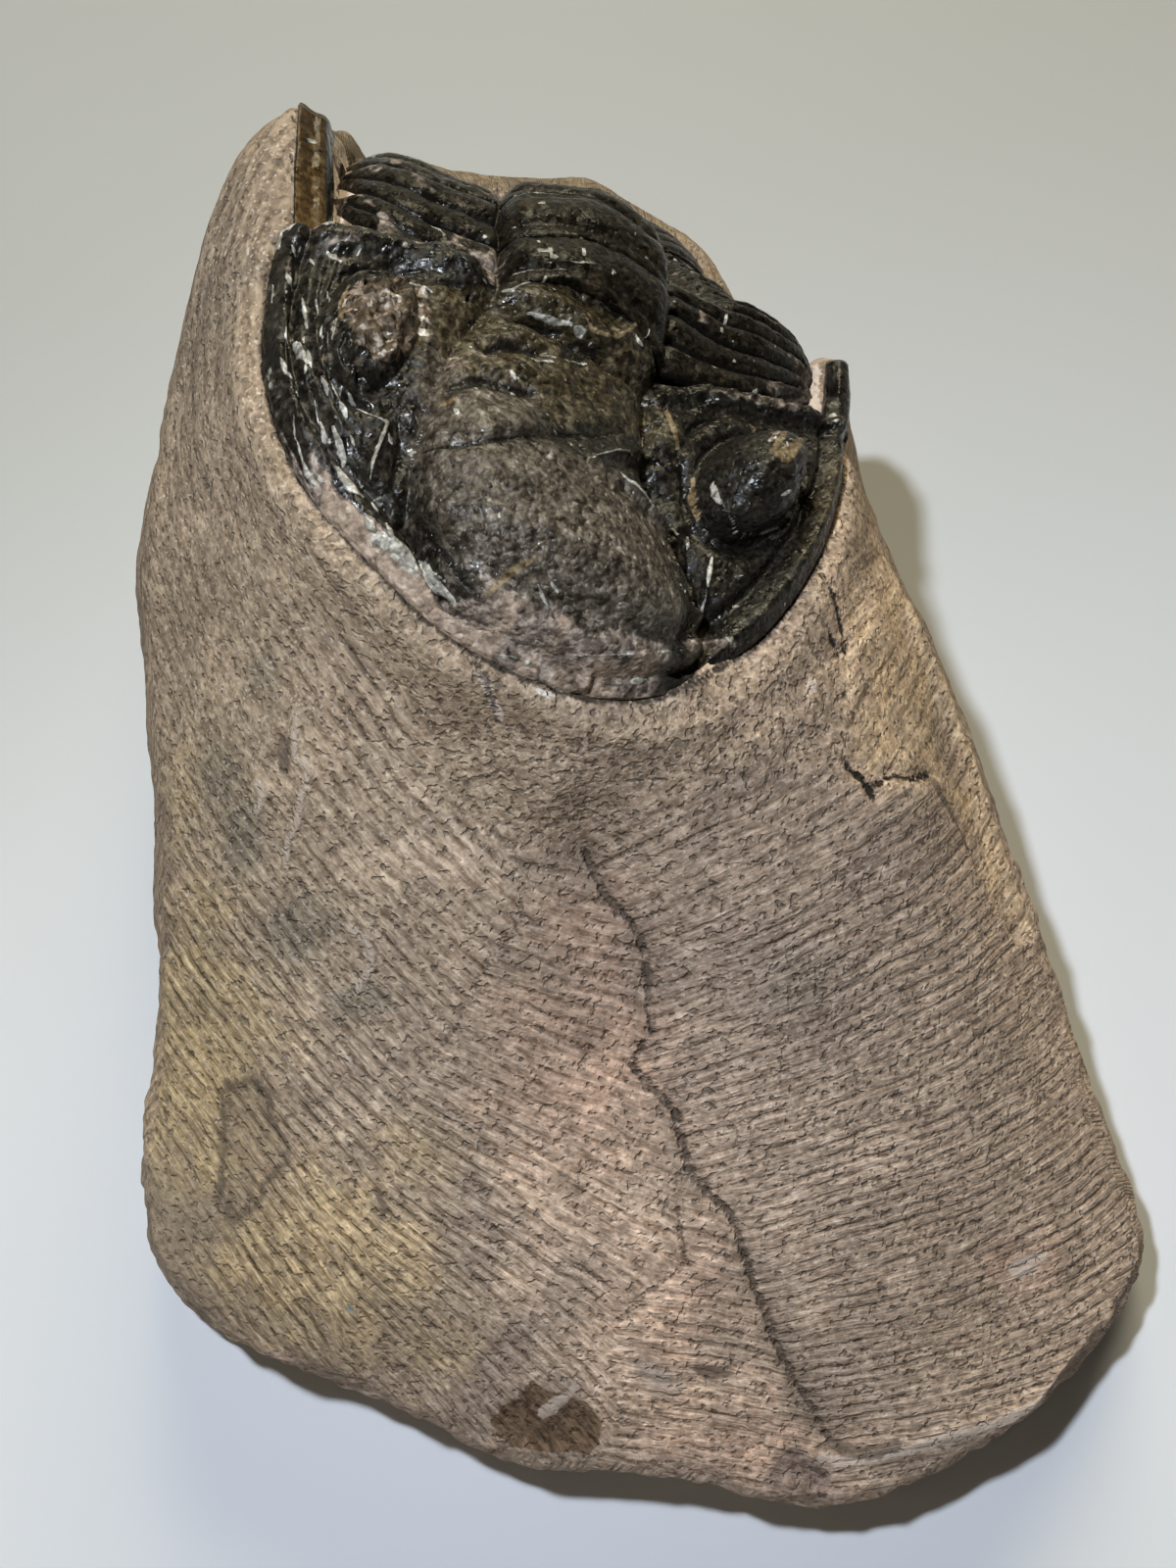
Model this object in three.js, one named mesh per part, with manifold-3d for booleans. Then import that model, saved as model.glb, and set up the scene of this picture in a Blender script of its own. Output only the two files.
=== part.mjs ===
// A trilobite fossil on its hand-carved wedge of limestone. Millimetres, +Z up, base on Z = 0.
// The long way of the block is Y: the head shield and the high end of the block are towards +Y,
// the low carved slope runs down to -Y. The thorax bends over the high end and the tail shield
// lies on a ledge at the back.
import * as THREE from "three";
import Module from "manifold-3d";

// ---- driving dimensions (mm unless said otherwise)
const HEAD_HALF_WIDTH = 20.4; // half the width of the head shield across the genal angles
const SHELL_DEPTH = 1.7; // depth of the head shield's rim in the rock
const SCLERITE_DEPTH = 1.3; // depth of a thoracic sclerite
const JOINT_GAP = 0.34; // gap between neighbouring sclerites, filled with matrix in the real thing
const SEAT_GAP = 0.36; // gap between a shell piece and the rock it lies in
const SEGMENTS = 11; // separate sclerites of the thorax
const AXIS_HALF = 0.31; // half-width of the axial lobe, as a part of the sclerite's half-width
const THORAX_HALF = 0.93; // half-width of the first sclerite, in head half-widths
const THORAX_TAPER = 0.36; // how much of that is lost by the last sclerite
const TAIL_LENGTH = 11.0;
const TAIL_SLOPE = 28; // degrees below the horizontal
// length of each sclerite along the axis, front to back
const PITCH = [3.9, 3.9, 3.7, 3.5, 3.2, 3.0, 2.8, 2.65, 2.5, 2.35, 2.2];
// slope of each sclerite below the horizontal, degrees, front to back
const SLOPE = [22, 30, 46, 61, 67, 68, 66, 62, 55, 46, 38];
// plan centre of the whole, moved onto the Z axis at the end
const PLAN_CENTRE = [-0.2317, 0.4721];

// ---- frame of the head shield: across (left to right), back along the axis, up out of the shell
const ACROSS = [0.86947, -0.19967, -0.45184];
const BACK = [0.11605, 0.97171, -0.2057];
const UP = [0.47989, 0.12654, 0.86815];
const ACROSS_THORAX = [0.86052, -0.25471, -0.44117];
const ACROSS_TAIL = [0.985, -0.03, -0.14];
const AXIS_START = [-6.091, 18.436, 41.998]; // middle of the head shield's hind edge

// ---- head shield control points: side and axial coordinate in half-widths, then x, y, z
const HEAD = [
  [-1, 0, -22.371, 21.576, 50.966],
  [-1, -0.2, -22.801, 16.638, 51.544],
  [-0.97, -0.53, -21.876, 9.8, 52.606],
  [-0.84, -0.8, -19.26, 4.327, 52.65],
  [-0.62, -1.015, -15.056, -0.162, 51.703],
  [-0.34, -1.147, -10.599, -3.539, 49.778],
  [0, -1.19, -4.443, -5.405, 46.924],
  [0.36, -1.144, 1.773, -4.178, 43.89],
  [0.62, -1.015, 6.45, -0.238, 41.607],
  [0.84, -0.8, 10.411, 5.689, 39.363],
  [0.97, -0.53, 12.201, 10.552, 37.043],
  [1, 0, 13.432, 17.465, 33.612],
  [-0.6, -0.42, -18.829, 14.249, 49.745],
  [0.6, -0.42, 4.302, 10.063, 38.872],
  [-0.27, 0, -10.989, 20.15, 44.652],
  [0.27, 0, -1.037, 16.994, 39.418],
  [-0.5, -0.8, -15.052, 6.345, 50.428],
  [0.5, -0.8, 1.412, 2.401, 41.245],
  [-0.52, -0.98, -13.92, 0.868, 50.834],
  [0.5, -0.98, 2.321, -0.854, 42.084],
  [0, -1.13, -4.591, -3.937, 46.747],
];
// ---- how the thorax is pushed out of a regular row of sclerites: side, row, then dx, dy, dz
const THORAX_SHIFT = [
  [-1, 0, 3.496, 1.114, 0.299],
  [-0.6, 0, 0.146, -0.847, -0.227],
  [-0.31, 0, 0.468, -0.526, -0.141],
  [-0.16, 0, -1.413, -0.154, -0.041],
  [0, 0, -1.182, 0.967, 0.259],
  [0.16, 0, -0.676, 0.249, 0.067],
  [0.31, 0, 0.042, -0.324, -0.087],
  [0.6, 0, 0.439, 0.641, 0.172],
  [1, 0, 3.285, 4.083, 1.094],
  [-1, 0.35, 2.626, 0.532, 0.142],
  [-0.6, 0.35, -0.392, -1.223, -0.328],
  [-0.31, 0.35, -0.138, -0.659, -0.177],
  [-0.16, 0.35, -2.127, -0.543, -0.146],
  [0, 0.35, -1.585, 0.654, 0.175],
  [0.16, 0.35, -0.834, 0.761, 0.204],
  [0.31, 0.35, 0.229, 1.073, 0.288],
  [0.6, 0.35, 0.618, 0.87, 0.233],
  [1, 0.35, 3.761, 3.828, 1.026],
  [-1, 0.7, 2.019, 0.524, 0.14],
  [-0.6, 0.7, -0.577, -1.043, -0.28],
  [-0.31, 0.7, -0.658, -0.222, -0.059],
  [-0.16, 0.7, -2.518, -0.621, -0.167],
  [0, 0.7, -1.684, 0.668, 0.179],
  [0.16, 0.7, -1.179, 0.777, 0.208],
  [0.31, 0.7, 0.06, 0.585, 0.157],
  [0.6, 0.7, 0.283, 1.394, 0.373],
  [1, 0.7, 3.799, 3.983, 1.067],
  [-1, 1.05, 2.064, 2.246, 0.602],
  [-0.6, 1.05, -0.689, -0.439, -0.118],
  [-0.31, 1.05, -0.599, -0.571, -0.153],
  [-0.16, 1.05, -1.997, -1.405, -0.377],
  [0, 1.05, -1.106, -0.393, -0.105],
  [0.16, 1.05, -0.877, -0.045, -0.012],
  [0.31, 1.05, -0.32, -0.582, -0.156],
  [0.6, 1.05, 0.322, -0.225, -0.06],
  [1, 1.05, 2.463, 3.159, 0.846],
  [-1, 1.4, 2.526, 3.328, 0.892],
  [-1, 2.1, 1.895, 2.496, 0.669],
  [-0.6, 1.4, -0.451, 0.171, 0.046],
  [-0.6, 2.1, -0.338, 0.129, 0.034],
  [-0.31, 1.4, -0.495, -0.404, -0.108],
  [-0.31, 2.1, -0.371, -0.303, -0.081],
  [-0.16, 1.4, -1.575, -1.674, -0.449],
  [-0.16, 2.1, -1.181, -1.256, -0.336],
  [0, 1.4, -0.53, -1.044, -0.28],
  [0, 2.1, -0.398, -0.783, -0.21],
  [0.16, 1.4, -0.556, -1.185, -0.318],
  [0.16, 2.1, -0.417, -0.889, -0.238],
  [0.31, 1.4, -0.667, -1.714, -0.459],
  [0.31, 2.1, -0.5, -1.285, -0.344],
  [0.6, 1.4, 0.252, -2.242, -0.601],
  [0.6, 2.1, 0.189, -1.681, -0.45],
  [1, 1.4, 0.913, 0.809, 0.217],
  [1, 2.1, 0.685, 0.607, 0.163],
  [-1, 3.15, 0, 0, 0],
  [-1, 3.85, 0, 0, 0],
  [-0.6, 3.15, 0, 0, 0],
  [-0.6, 3.85, 0, 0, 0],
  [-0.31, 3.15, 0, 0, 0],
  [-0.31, 3.85, 0, 0, 0],
  [-0.16, 3.15, 0, 0, 0],
  [-0.16, 3.85, 0, 0, 0],
  [0, 3.15, 0, 0, 0],
  [0, 3.85, 0, 0, 0],
  [0.16, 3.15, 0, 0, 0],
  [0.16, 3.85, 0, 0, 0],
  [0.31, 3.15, 0, 0, 0],
  [0.31, 3.85, 0, 0, 0],
  [0.6, 3.15, 0, 0, 0],
  [0.6, 3.85, 0, 0, 0],
  [1, 3.15, 0, 0, 0],
  [1, 3.85, 0, 0, 0],
];
// ---- rock: columns round the block, each from the upper rim down to the foot, x, y, z six times
const COLUMNS = [
  [-21.73, 31.37, 50, -23, 37.16, 40, -23.94, 41.42, 30, -24.76, 45.14, 20, -25.57, 48.81, 9, -26.05, 51.01, 0],
  [-20.33, 31.86, 47, -21.65, 37.83, 37.6, -22.62, 42.23, 28.2, -23.46, 46.08, 18.8, -24.3, 49.89, 8.46, -24.81, 52.19, 0],
  [-19.82, 33.71, 42, -20.43, 39.79, 33.6, -20.88, 44.27, 25.2, -21.27, 48.19, 16.8, -21.66, 52.06, 7.56, -21.89, 54.41, 0],
  [-19.17, 31.97, 40.84, -18.29, 35.71, 32.28, -17.59, 35.08, 24.04, -16.35, 37.63, 17.78, -19.57, 50.99, 14, -20.51, 52.59, 0],
  [-15.38, 29.27, 41.38, -15.11, 33.4, 33.29, -14.15, 34.54, 25.43, -12.58, 37.79, 19.33, -14.54, 50.49, 12.5, -15.18, 52.09, 0],
  [-11.17, 27.5, 39.86, -10.69, 30.79, 32.7, -10.01, 33.16, 25.23, -8.73, 37.41, 19.14, -8.77, 50.39, 11.5, -9.06, 51.99, 0],
  [-7.15, 26.33, 38.23, -5.81, 28.69, 31.96, -5.48, 32.23, 24.89, -4.93, 37.14, 18.78, -3.9, 50.98, 11, -3.9, 52.58, 0],
  [-0.83, 24.51, 36.43, -0.83, 26.63, 31.22, -0.76, 31.36, 24.58, -1.15, 36.84, 18.42, 0.56, 48.05, 11, 0.82, 49.65, 0],
  [4.53, 23.49, 34.58, 4.77, 24.77, 30.25, 4.13, 30.76, 24.07, 2.6, 36.65, 17.9, 5.36, 44.16, 11, 5.92, 45.76, 0],
  [10.21, 23.45, 30.87, 9.07, 24.07, 28.1, 8.35, 29.9, 22.15, 5.87, 35.47, 15.68, 9.96, 35.47, 12, 10.79, 35.47, 0],
  [11.93, 23.68, 31, 12.99, 27, 24.8, 13.77, 27.74, 18.6, 14.44, 28.48, 12.4, 15.1, 29.3, 5.58, 15.45, 29.97, 0],
  [12.57, 23.91, 32, 14.5, 26, 25.6, 15.79, 26.77, 19.2, 16.64, 27.54, 12.8, 17.15, 28.38, 5.76, 18.18, 29.07, 0],
  [14.12, 23.76, 32, 14.91, 24.8, 25.6, 15.75, 25.57, 19.2, 16.12, 26.34, 12.8, 17.09, 27.18, 5.76, 18.19, 27.87, 0],
  [13.85, 17.69, 33, 14.48, 17.91, 26.4, 16.88, 18.06, 19.8, 18.82, 18.19, 13.2, 19.99, 18.31, 5.94, 20.23, 18.33, 0],
  [13.92, 14.1, 33, 16.06, 14.1, 26.4, 17.63, 14.1, 19.8, 18.92, 14.1, 13.2, 20.1, 14.1, 5.94, 20.34, 14.1, 0],
  [16.35, 9.61, 31, 18.37, 9.61, 24.8, 19.85, 9.61, 18.6, 21.06, 9.61, 12.4, 22.16, 9.61, 5.58, 22.34, 9.61, 0],
  [19.23, 5.23, 28.5, 21.11, 5.23, 22.8, 22.47, 5.23, 17.1, 23.59, 5.23, 11.4, 24.58, 5.23, 5.13, 24.69, 5.23, 0],
  [22.38, -1.14, 25, 24.18, -1.14, 20, 25.48, -1.14, 15, 26.55, -1.14, 10, 27.49, -1.14, 4.5, 27.55, -1.14, 0],
  [25.7, -8.86, 21, 27.24, -8.86, 16.8, 28.36, -8.86, 12.6, 29.25, -8.86, 8.4, 30.02, -8.86, 3.78, 29.95, -8.86, 0],
  [28.09, -15.03, 18.5, 29.48, -15.03, 14.8, 30.48, -15.03, 11.1, 31.26, -15.03, 7.4, 31.92, -15.03, 3.33, 31.76, -15.03, 0],
  [31.05, -23.37, 15.5, 32.24, -23.37, 12.4, 33.1, -23.37, 9.3, 33.76, -23.37, 6.2, 34.29, -23.37, 2.79, 34.03, -23.37, 0],
  [33.71, -29.25, 12.5, 34.71, -29.35, 10, 35.42, -29.42, 7.5, 35.95, -29.47, 5, 36.35, -29.51, 2.25, 35.99, -29.48, 0],
  [35.99, -34.3, 10, 36.78, -34.38, 8, 37.34, -34.43, 6, 37.73, -34.47, 4, 37.98, -34.5, 1.8, 37.51, -34.45, 0],
  [34.89, -38.76, 10, 35.51, -38.94, 8, 35.94, -39.07, 6, 36.22, -39.15, 4, 36.37, -39.2, 1.8, 35.84, -39.04, 0],
  [31.41, -42.8, 10.5, 31.77, -43.16, 8.4, 32.02, -43.41, 6.3, 32.17, -43.55, 4.2, 32.21, -43.59, 1.89, 31.77, -43.15, 0],
  [27.02, -47.08, 11, 27.19, -47.4, 8.8, 27.3, -47.62, 6.6, 27.34, -47.72, 4.4, 27.33, -47.68, 1.98, 27.01, -47.06, 0],
  [20.67, -50.65, 11, 20.76, -50.95, 8.8, 20.82, -51.15, 6.6, 20.84, -51.22, 4.4, 20.82, -51.15, 1.98, 20.61, -50.45, 0],
  [15.34, -52.8, 11.5, 15.34, -53.06, 9.2, 15.34, -53.23, 6.9, 15.34, -53.26, 4.6, 15.34, -53.16, 2.07, 15.34, -52.4, 0],
  [8.93, -52.5, 12, 8.93, -52.7, 9.6, 8.93, -52.83, 7.2, 8.93, -52.83, 4.8, 8.93, -52.68, 2.16, 8.93, -51.9, 0],
  [4.22, -51.35, 12, 4.22, -51.55, 9.6, 4.22, -51.68, 7.2, 4.22, -51.68, 4.8, 4.22, -51.54, 2.16, 4.22, -50.75, 0],
  [-2.54, -50.58, 12, -2.54, -50.78, 9.6, -2.54, -50.91, 7.2, -2.54, -50.91, 4.8, -2.54, -50.77, 2.16, -2.54, -49.98, 0],
  [-9.33, -49.94, 12, -9.35, -50.14, 9.6, -9.36, -50.27, 7.2, -9.36, -50.27, 4.8, -9.35, -50.12, 2.16, -9.27, -49.34, 0],
  [-17.48, -46.01, 13, -17.57, -46.32, 10.4, -17.64, -46.53, 7.8, -17.66, -46.61, 5.2, -17.64, -46.56, 2.34, -17.44, -45.87, 0],
  [-27.07, -42.08, 13.5, -27.31, -42.56, 10.8, -27.48, -42.89, 8.1, -27.57, -43.08, 5.4, -27.61, -43.15, 2.43, -27.33, -42.6, 0],
  [-33.05, -37.48, 15.5, -33.74, -37.9, 12.4, -34.23, -38.19, 9.3, -34.58, -38.4, 6.2, -34.8, -38.54, 2.79, -34.4, -38.3, 0],
  [-34.13, -31.02, 18.5, -35.24, -31.02, 14.8, -36.03, -31.02, 11.1, -36.63, -31.02, 7.4, -37.1, -31.02, 3.33, -36.79, -31.02, 0],
  [-32.49, -21.68, 24, -33.87, -21.68, 19.2, -34.86, -21.68, 14.4, -35.64, -21.68, 9.6, -36.29, -21.68, 4.32, -36.12, -21.68, 0],
  [-31.75, -9.85, 31, -33.46, -9.85, 24.8, -34.71, -9.85, 18.6, -35.72, -9.85, 12.4, -36.6, -9.85, 5.58, -36.62, -9.85, 0],
  [-32.24, 1.89, 36, -34.02, 1.89, 28.8, -35.31, 1.89, 21.6, -36.36, 1.89, 14.4, -37.29, 1.89, 6.48, -37.34, 1.89, 0],
  [-32.56, 6.95, 38.5, -34.44, 6.95, 30.8, -35.82, 6.95, 23.1, -36.94, 6.95, 15.4, -37.95, 6.95, 6.93, -38.05, 6.95, 0],
  [-31.08, 13.02, 41.5, -33.1, 13.02, 33.2, -34.57, 13.02, 24.9, -35.78, 13.02, 16.6, -36.87, 13.02, 7.47, -37.05, 13.02, 0],
  [-29.55, 18.92, 44.5, -31.69, 19.14, 35.6, -33.26, 19.29, 26.7, -34.55, 19.42, 17.8, -35.72, 19.54, 8.01, -35.97, 19.57, 0],
  [-27.35, 26.36, 47.5, -29.54, 27.01, 38, -31.13, 27.49, 28.5, -32.46, 27.89, 19, -33.68, 28.26, 8.55, -33.98, 28.35, 0],
  [-24.56, 30.53, 49, -27.42, 33.8, 39.2, -29.52, 36.2, 29.4, -31.34, 38.28, 19.6, -33.1, 40.29, 8.82, -34.03, 41.36, 0],
  [-23.07, 31.44, 49.5, -24.56, 36.39, 39.6, -25.65, 40.05, 29.7, -26.61, 43.22, 19.8, -27.54, 46.34, 8.91, -28.08, 48.12, 0],
];
// ---- rock: points of the carved upper surface, x, y, z
const HEIGHTS = [
  [-6.2, -6.43, 45],
  [-10.69, -4.52, 47.5],
  [-14.04, -2.52, 48.6],
  [-18.46, 1.33, 50.3],
  [-21.33, 5.55, 51],
  [-23.08, 10.36, 51.2],
  [-23.53, 15.37, 51.2],
  [-23.06, 20.49, 51.2],
  [-22.53, 26.78, 50.6],
  [-25.58, 7.47, 46.6],
  [-25.55, 15.89, 49],
  [-24.88, 23.28, 49.8],
  [-26.13, -0.03, 41.5],
  [-19.48, -1.61, 46],
  [-15.44, -5.52, 45],
  [-26.64, -8.02, 36.5],
  [-20.63, -8.91, 39.8],
  [-14.54, -9.23, 41],
  [-9.78, -8.28, 42],
  [-6.28, -10.8, 40],
  [-3.9, -12.62, 37.3],
  [-1.57, -7.49, 43.5],
  [1.93, -6.31, 43.6],
  [6.87, -3.09, 41.2],
  [11.7, 3.31, 37.6],
  [14.31, 10.15, 34],
  [2.06, -10.14, 39.8],
  [8.26, -8.37, 37.8],
  [12.9, -4.02, 36],
  [15.24, -0.03, 33.8],
  [18.61, -6.55, 31],
  [14.19, -8.75, 34.4],
  [-26.17, -19.19, 29],
  [-19.43, -19.68, 32],
  [-13.1, -19.94, 33.6],
  [-6.36, -19.89, 33.3],
  [-0.03, -19.58, 31.4],
  [6.1, -19.55, 31.2],
  [15.34, -19.02, 28],
  [22.64, -18.3, 23.6],
  [-26.84, -31.23, 21.8],
  [-16.74, -31.41, 24.6],
  [-7.09, -31.46, 25.4],
  [2.8, -31, 24.2],
  [12.37, -31.29, 22.8],
  [22.91, -31.04, 18.8],
  [29.86, -30.79, 15],
  [-20.49, -40.74, 17.6],
  [-10.44, -40.73, 19.6],
  [-0.65, -40.72, 20.3],
  [8.29, -40.73, 18.6],
  [16.03, -40.74, 17.4],
  [24.7, -40.76, 14],
  [-8.7, -14.58, 37.8],
  [-14.72, -14.54, 37.6],
  [-22.39, -13.89, 34.6],
  [5.91, -14.02, 35.2],
  [13.07, -13.37, 32.2],
  [20.26, -12.34, 27.4],
  [-10.6, -46.57, 14.8],
  [-0.57, -47.18, 15.2],
  [12.28, -48.57, 13.3],
  [20.41, -46.62, 13.6],
  [-21.73, 31.37, 50],
  [-20.33, 31.86, 47],
  [-19.82, 33.71, 42],
  [11.93, 23.68, 31],
  [12.57, 23.91, 32],
  [14.12, 23.76, 32],
  [13.85, 17.69, 33],
  [13.92, 14.1, 33],
  [16.35, 9.61, 31],
  [19.23, 5.23, 28.5],
  [22.38, -1.14, 25],
  [25.7, -8.86, 21],
  [28.09, -15.03, 18.5],
  [31.05, -23.37, 15.5],
  [33.71, -29.25, 12.5],
  [35.99, -34.3, 10],
  [34.89, -38.76, 10],
  [31.41, -42.8, 10.5],
  [27.02, -47.08, 11],
  [20.67, -50.65, 11],
  [15.34, -52.8, 11.5],
  [8.93, -52.5, 12],
  [4.22, -51.35, 12],
  [-2.54, -50.58, 12],
  [-9.33, -49.94, 12],
  [-17.48, -46.01, 13],
  [-27.07, -42.08, 13.5],
  [-33.05, -37.48, 15.5],
  [-34.13, -31.02, 18.5],
  [-32.49, -21.68, 24],
  [-31.75, -9.85, 31],
  [-32.24, 1.89, 36],
  [-32.56, 6.95, 38.5],
  [-31.08, 13.02, 41.5],
  [-29.55, 18.92, 44.5],
  [-27.35, 26.36, 47.5],
  [-24.56, 30.53, 49],
  [-23.07, 31.44, 49.5],
  [-21.59, 15.42, 49.29],
  [-17.25, 10.65, 48.43],
  [-7.04, 1.19, 44.68],
  [-8.55, 9.6, 43.13],
  [0.85, 6.21, 39.11],
  [8, 12.53, 35.52],
  [-16.91, 18.59, 46.28],
  [2.24, 14, 36.92],
  [-7.28, 16.56, 41.19],
  [-19.17, 31.97, 40.84],
  [-15.38, 29.27, 41.38],
  [-11.17, 27.5, 39.86],
  [-7.15, 26.33, 38.23],
  [-0.83, 24.51, 36.43],
  [4.53, 23.49, 34.58],
  [10.21, 23.45, 30.87],
];
// ---- genal spines: ridge points in pairs, outer and inner edge, from the cheek to the tip
const SPINE_LEFT = [[-21.36, 22.41, 50.6], [-19.78, 23.36, 49.9], [-21.49, 26.85, 50.5], [-19.79, 27.3, 50.0], [-21.69, 31.37, 49.9], [-20.09, 30.73, 48.6]];
const SPINE_RIGHT = [[11.8, 17.51, 34.0], [13.72, 17.36, 33.4], [12.39, 20.5, 33.2], [13.99, 20.6, 32.7], [12.67, 23.73, 32.2], [14.12, 23.76, 32.0]];

// ---- small vector kit
const add = (a, b) => a.map((v, i) => v + b[i]);
const sub = (a, b) => a.map((v, i) => v - b[i]);
const mul = (a, k) => a.map((v) => v * k);
const dot = (a, b) => a.reduce((s, v, i) => s + v * b[i], 0);
const unit = (a) => mul(a, 1 / Math.hypot(...a));
const cross = (a, b) => [
  a[1] * b[2] - a[2] * b[1],
  a[2] * b[0] - a[0] * b[2],
  a[0] * b[1] - a[1] * b[0],
];
const mix = (a, b, f) => a.map((v, i) => v * (1 - f) + b[i] * f);
const rad = (d) => (d * Math.PI) / 180;
const bell = (x, w) => Math.exp(-((x / w) ** 2));

// ---- thin-plate surface through scattered points
function solve(A, B) {
  const n = A.length;
  for (let i = 0; i < n; i++) {
    let p = i;
    for (let r = i + 1; r < n; r++)
      if (Math.abs(A[r][i]) > Math.abs(A[p][i])) p = r;
    [A[i], A[p]] = [A[p], A[i]];
    [B[i], B[p]] = [B[p], B[i]];
    for (let r = i + 1; r < n; r++) {
      const k = A[r][i] / A[i][i];
      if (!k) continue;
      for (let c = i; c < n; c++) A[r][c] -= k * A[i][c];
      for (let c = 0; c < B[r].length; c++) B[r][c] -= k * B[i][c];
    }
  }
  for (let i = n - 1; i >= 0; i--)
    for (let c = 0; c < B[i].length; c++) {
      let s = B[i][c];
      for (let j = i + 1; j < n; j++) s -= A[i][j] * B[j][c];
      B[i][c] = s / A[i][i];
    }
  return B;
}
const kernel = (r2) => (r2 > 1e-18 ? 0.5 * r2 * Math.log(r2) : 0);
function plate(rows, give) {
  const X = rows.map((r) => r.slice(0, 2)),
    Y = rows.map((r) => r.slice(2)),
    n = X.length;
  const A = [],
    B = [];
  for (let i = 0; i < n; i++) {
    A.push([
      ...X.map((q, j) =>
        i === j ? give : kernel((X[i][0] - q[0]) ** 2 + (X[i][1] - q[1]) ** 2),
      ),
      1,
      X[i][0],
      X[i][1],
    ]);
    B.push([...Y[i]]);
  }
  for (let k = 0; k < 3; k++) {
    A.push([...X.map((q) => (k ? q[k - 1] : 1)), 0, 0, 0]);
    B.push(Y[0].map(() => 0));
  }
  const W = solve(A, B);
  return (x, y) =>
    Y[0].map((_, c) => {
      let s = W[n][c] + x * W[n + 1][c] + y * W[n + 2][c];
      for (let i = 0; i < n; i++)
        s += W[i][c] * kernel((x - X[i][0]) ** 2 + (y - X[i][1]) ** 2);
      return s;
    });
}
const headSheet = plate(HEAD, 0);
const shiftSheet = plate(THORAX_SHIFT, 0.01);
const rockSheet = plate(HEIGHTS, 0.5);

// ---- head shield
const frontEdge = (s) =>
  -(0.3 + 0.89 * Math.sqrt(Math.max(1 - Math.abs(s) ** 2.2, 0)));
const hindEdge = (s) =>
  0.02 - 0.05 * bell(Math.abs(s) - 0.3, 0.1) + 0.05 * Math.exp(-((s / 0.22) ** 4));
const GLABELLA = [
  [0.05, 0.27], [-0.12, 0.26], [-0.3, 0.29], [-0.5, 0.34], [-0.66, 0.41],
  [-0.8, 0.49], [-0.92, 0.535], [-1.02, 0.5], [-1.08, 0.42], [-1.12, 0.3],
  [-1.145, 0.13], [-1.16, 0.02],
];
const GLABELLA_HEIGHT = [
  [0.05, 0.15], [-0.06, 0.17], [-0.125, 0.1], [-0.2, 0.15], [-0.4, 0.19],
  [-0.7, 0.23], [-0.95, 0.235], [-1.05, 0.2], [-1.12, 0.13], [-1.16, 0.04],
];
function table(rows, t) {
  if (t >= rows[0][0]) return rows[0][1];
  for (let i = 1; i < rows.length; i++)
    if (t >= rows[i][0]) {
      const f = (t - rows[i - 1][0]) / (rows[i][0] - rows[i - 1][0]);
      return rows[i - 1][1] + f * (rows[i][1] - rows[i - 1][1]);
    }
  return rows.at(-1)[1];
}
// rough distance in from the margin
function inward(s, t) {
  const a = Math.abs(s),
    u = Math.max(-t - 0.3, 0) / 0.89;
  const G = 1 - a ** 2.2 - u * u;
  return Math.max(G, 0) / Math.hypot(2.2 * a ** 1.2 + 1e-3, (2 * u) / 0.89 + 0.12);
}
// height of the shell above the plane of its rim, in half-widths
function headHeight(s, t) {
  const a = Math.abs(s),
    m = inward(s, t);
  let h = 0.15 * (1 - Math.exp(-m / 0.16));
  h += 0.03 * bell(m - 0.05, 0.035) - 0.02 * bell(m - 0.125, 0.03);
  const g = table(GLABELLA, t),
    inside = 1 - (a / g) ** 2.6;
  if (inside > 0) h += table(GLABELLA_HEIGHT, t) * inside ** 0.55;
  if (t > -1.12 && t < -0.02) h -= 0.035 * bell(a - g, 0.035);
  const ex = (a - 0.625) / 0.155,
    ey = (t + 0.4) / 0.21,
    er = ex * ex + ey * ey;
  if (er < 1) h += 0.2 * Math.sqrt(1 - er) * (s > 0 ? 1 : 0.9);
  const p = hindEdge(s) - t;
  if (a > 0.32) h += 0.02 * bell(p - 0.04, 0.03) - 0.03 * bell(p - 0.11, 0.03);
  return h;
}
const headPoint = (s, t, h) => add(headSheet(s, t), mul(UP, h * HEAD_HALF_WIDTH));

// ---- thorax: a frame at every joint, then smooth steps between
const frames = (() => {
  const P = [AXIS_START],
    B = [];
  for (let i = 0; i < SEGMENTS; i++) {
    const f = i / (SEGMENTS - 1),
      h = unit([0.1 * (1 - f) - 0.02 * f, 0.995 * (1 - f) + f]),
      a = rad(SLOPE[i]);
    B.push([h[0] * Math.cos(a), h[1] * Math.cos(a), -Math.sin(a)]);
    P.push(add(P[i], mul(B[i], PITCH[i])));
  }
  return P.map((p, i) => {
    const along = unit(
      i === 0 ? mix(BACK, B[0], 0.5) : i === SEGMENTS ? B[i - 1] : mix(B[i - 1], B[i], 0.5),
    );
    const f = Math.min(1, Math.max(0, (i - 2) / 6));
    let across = mix(ACROSS_THORAX, ACROSS_TAIL, f);
    across = unit(sub(across, mul(along, dot(across, along))));
    return { p, along, across, up: cross(across, along) };
  });
})();
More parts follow.
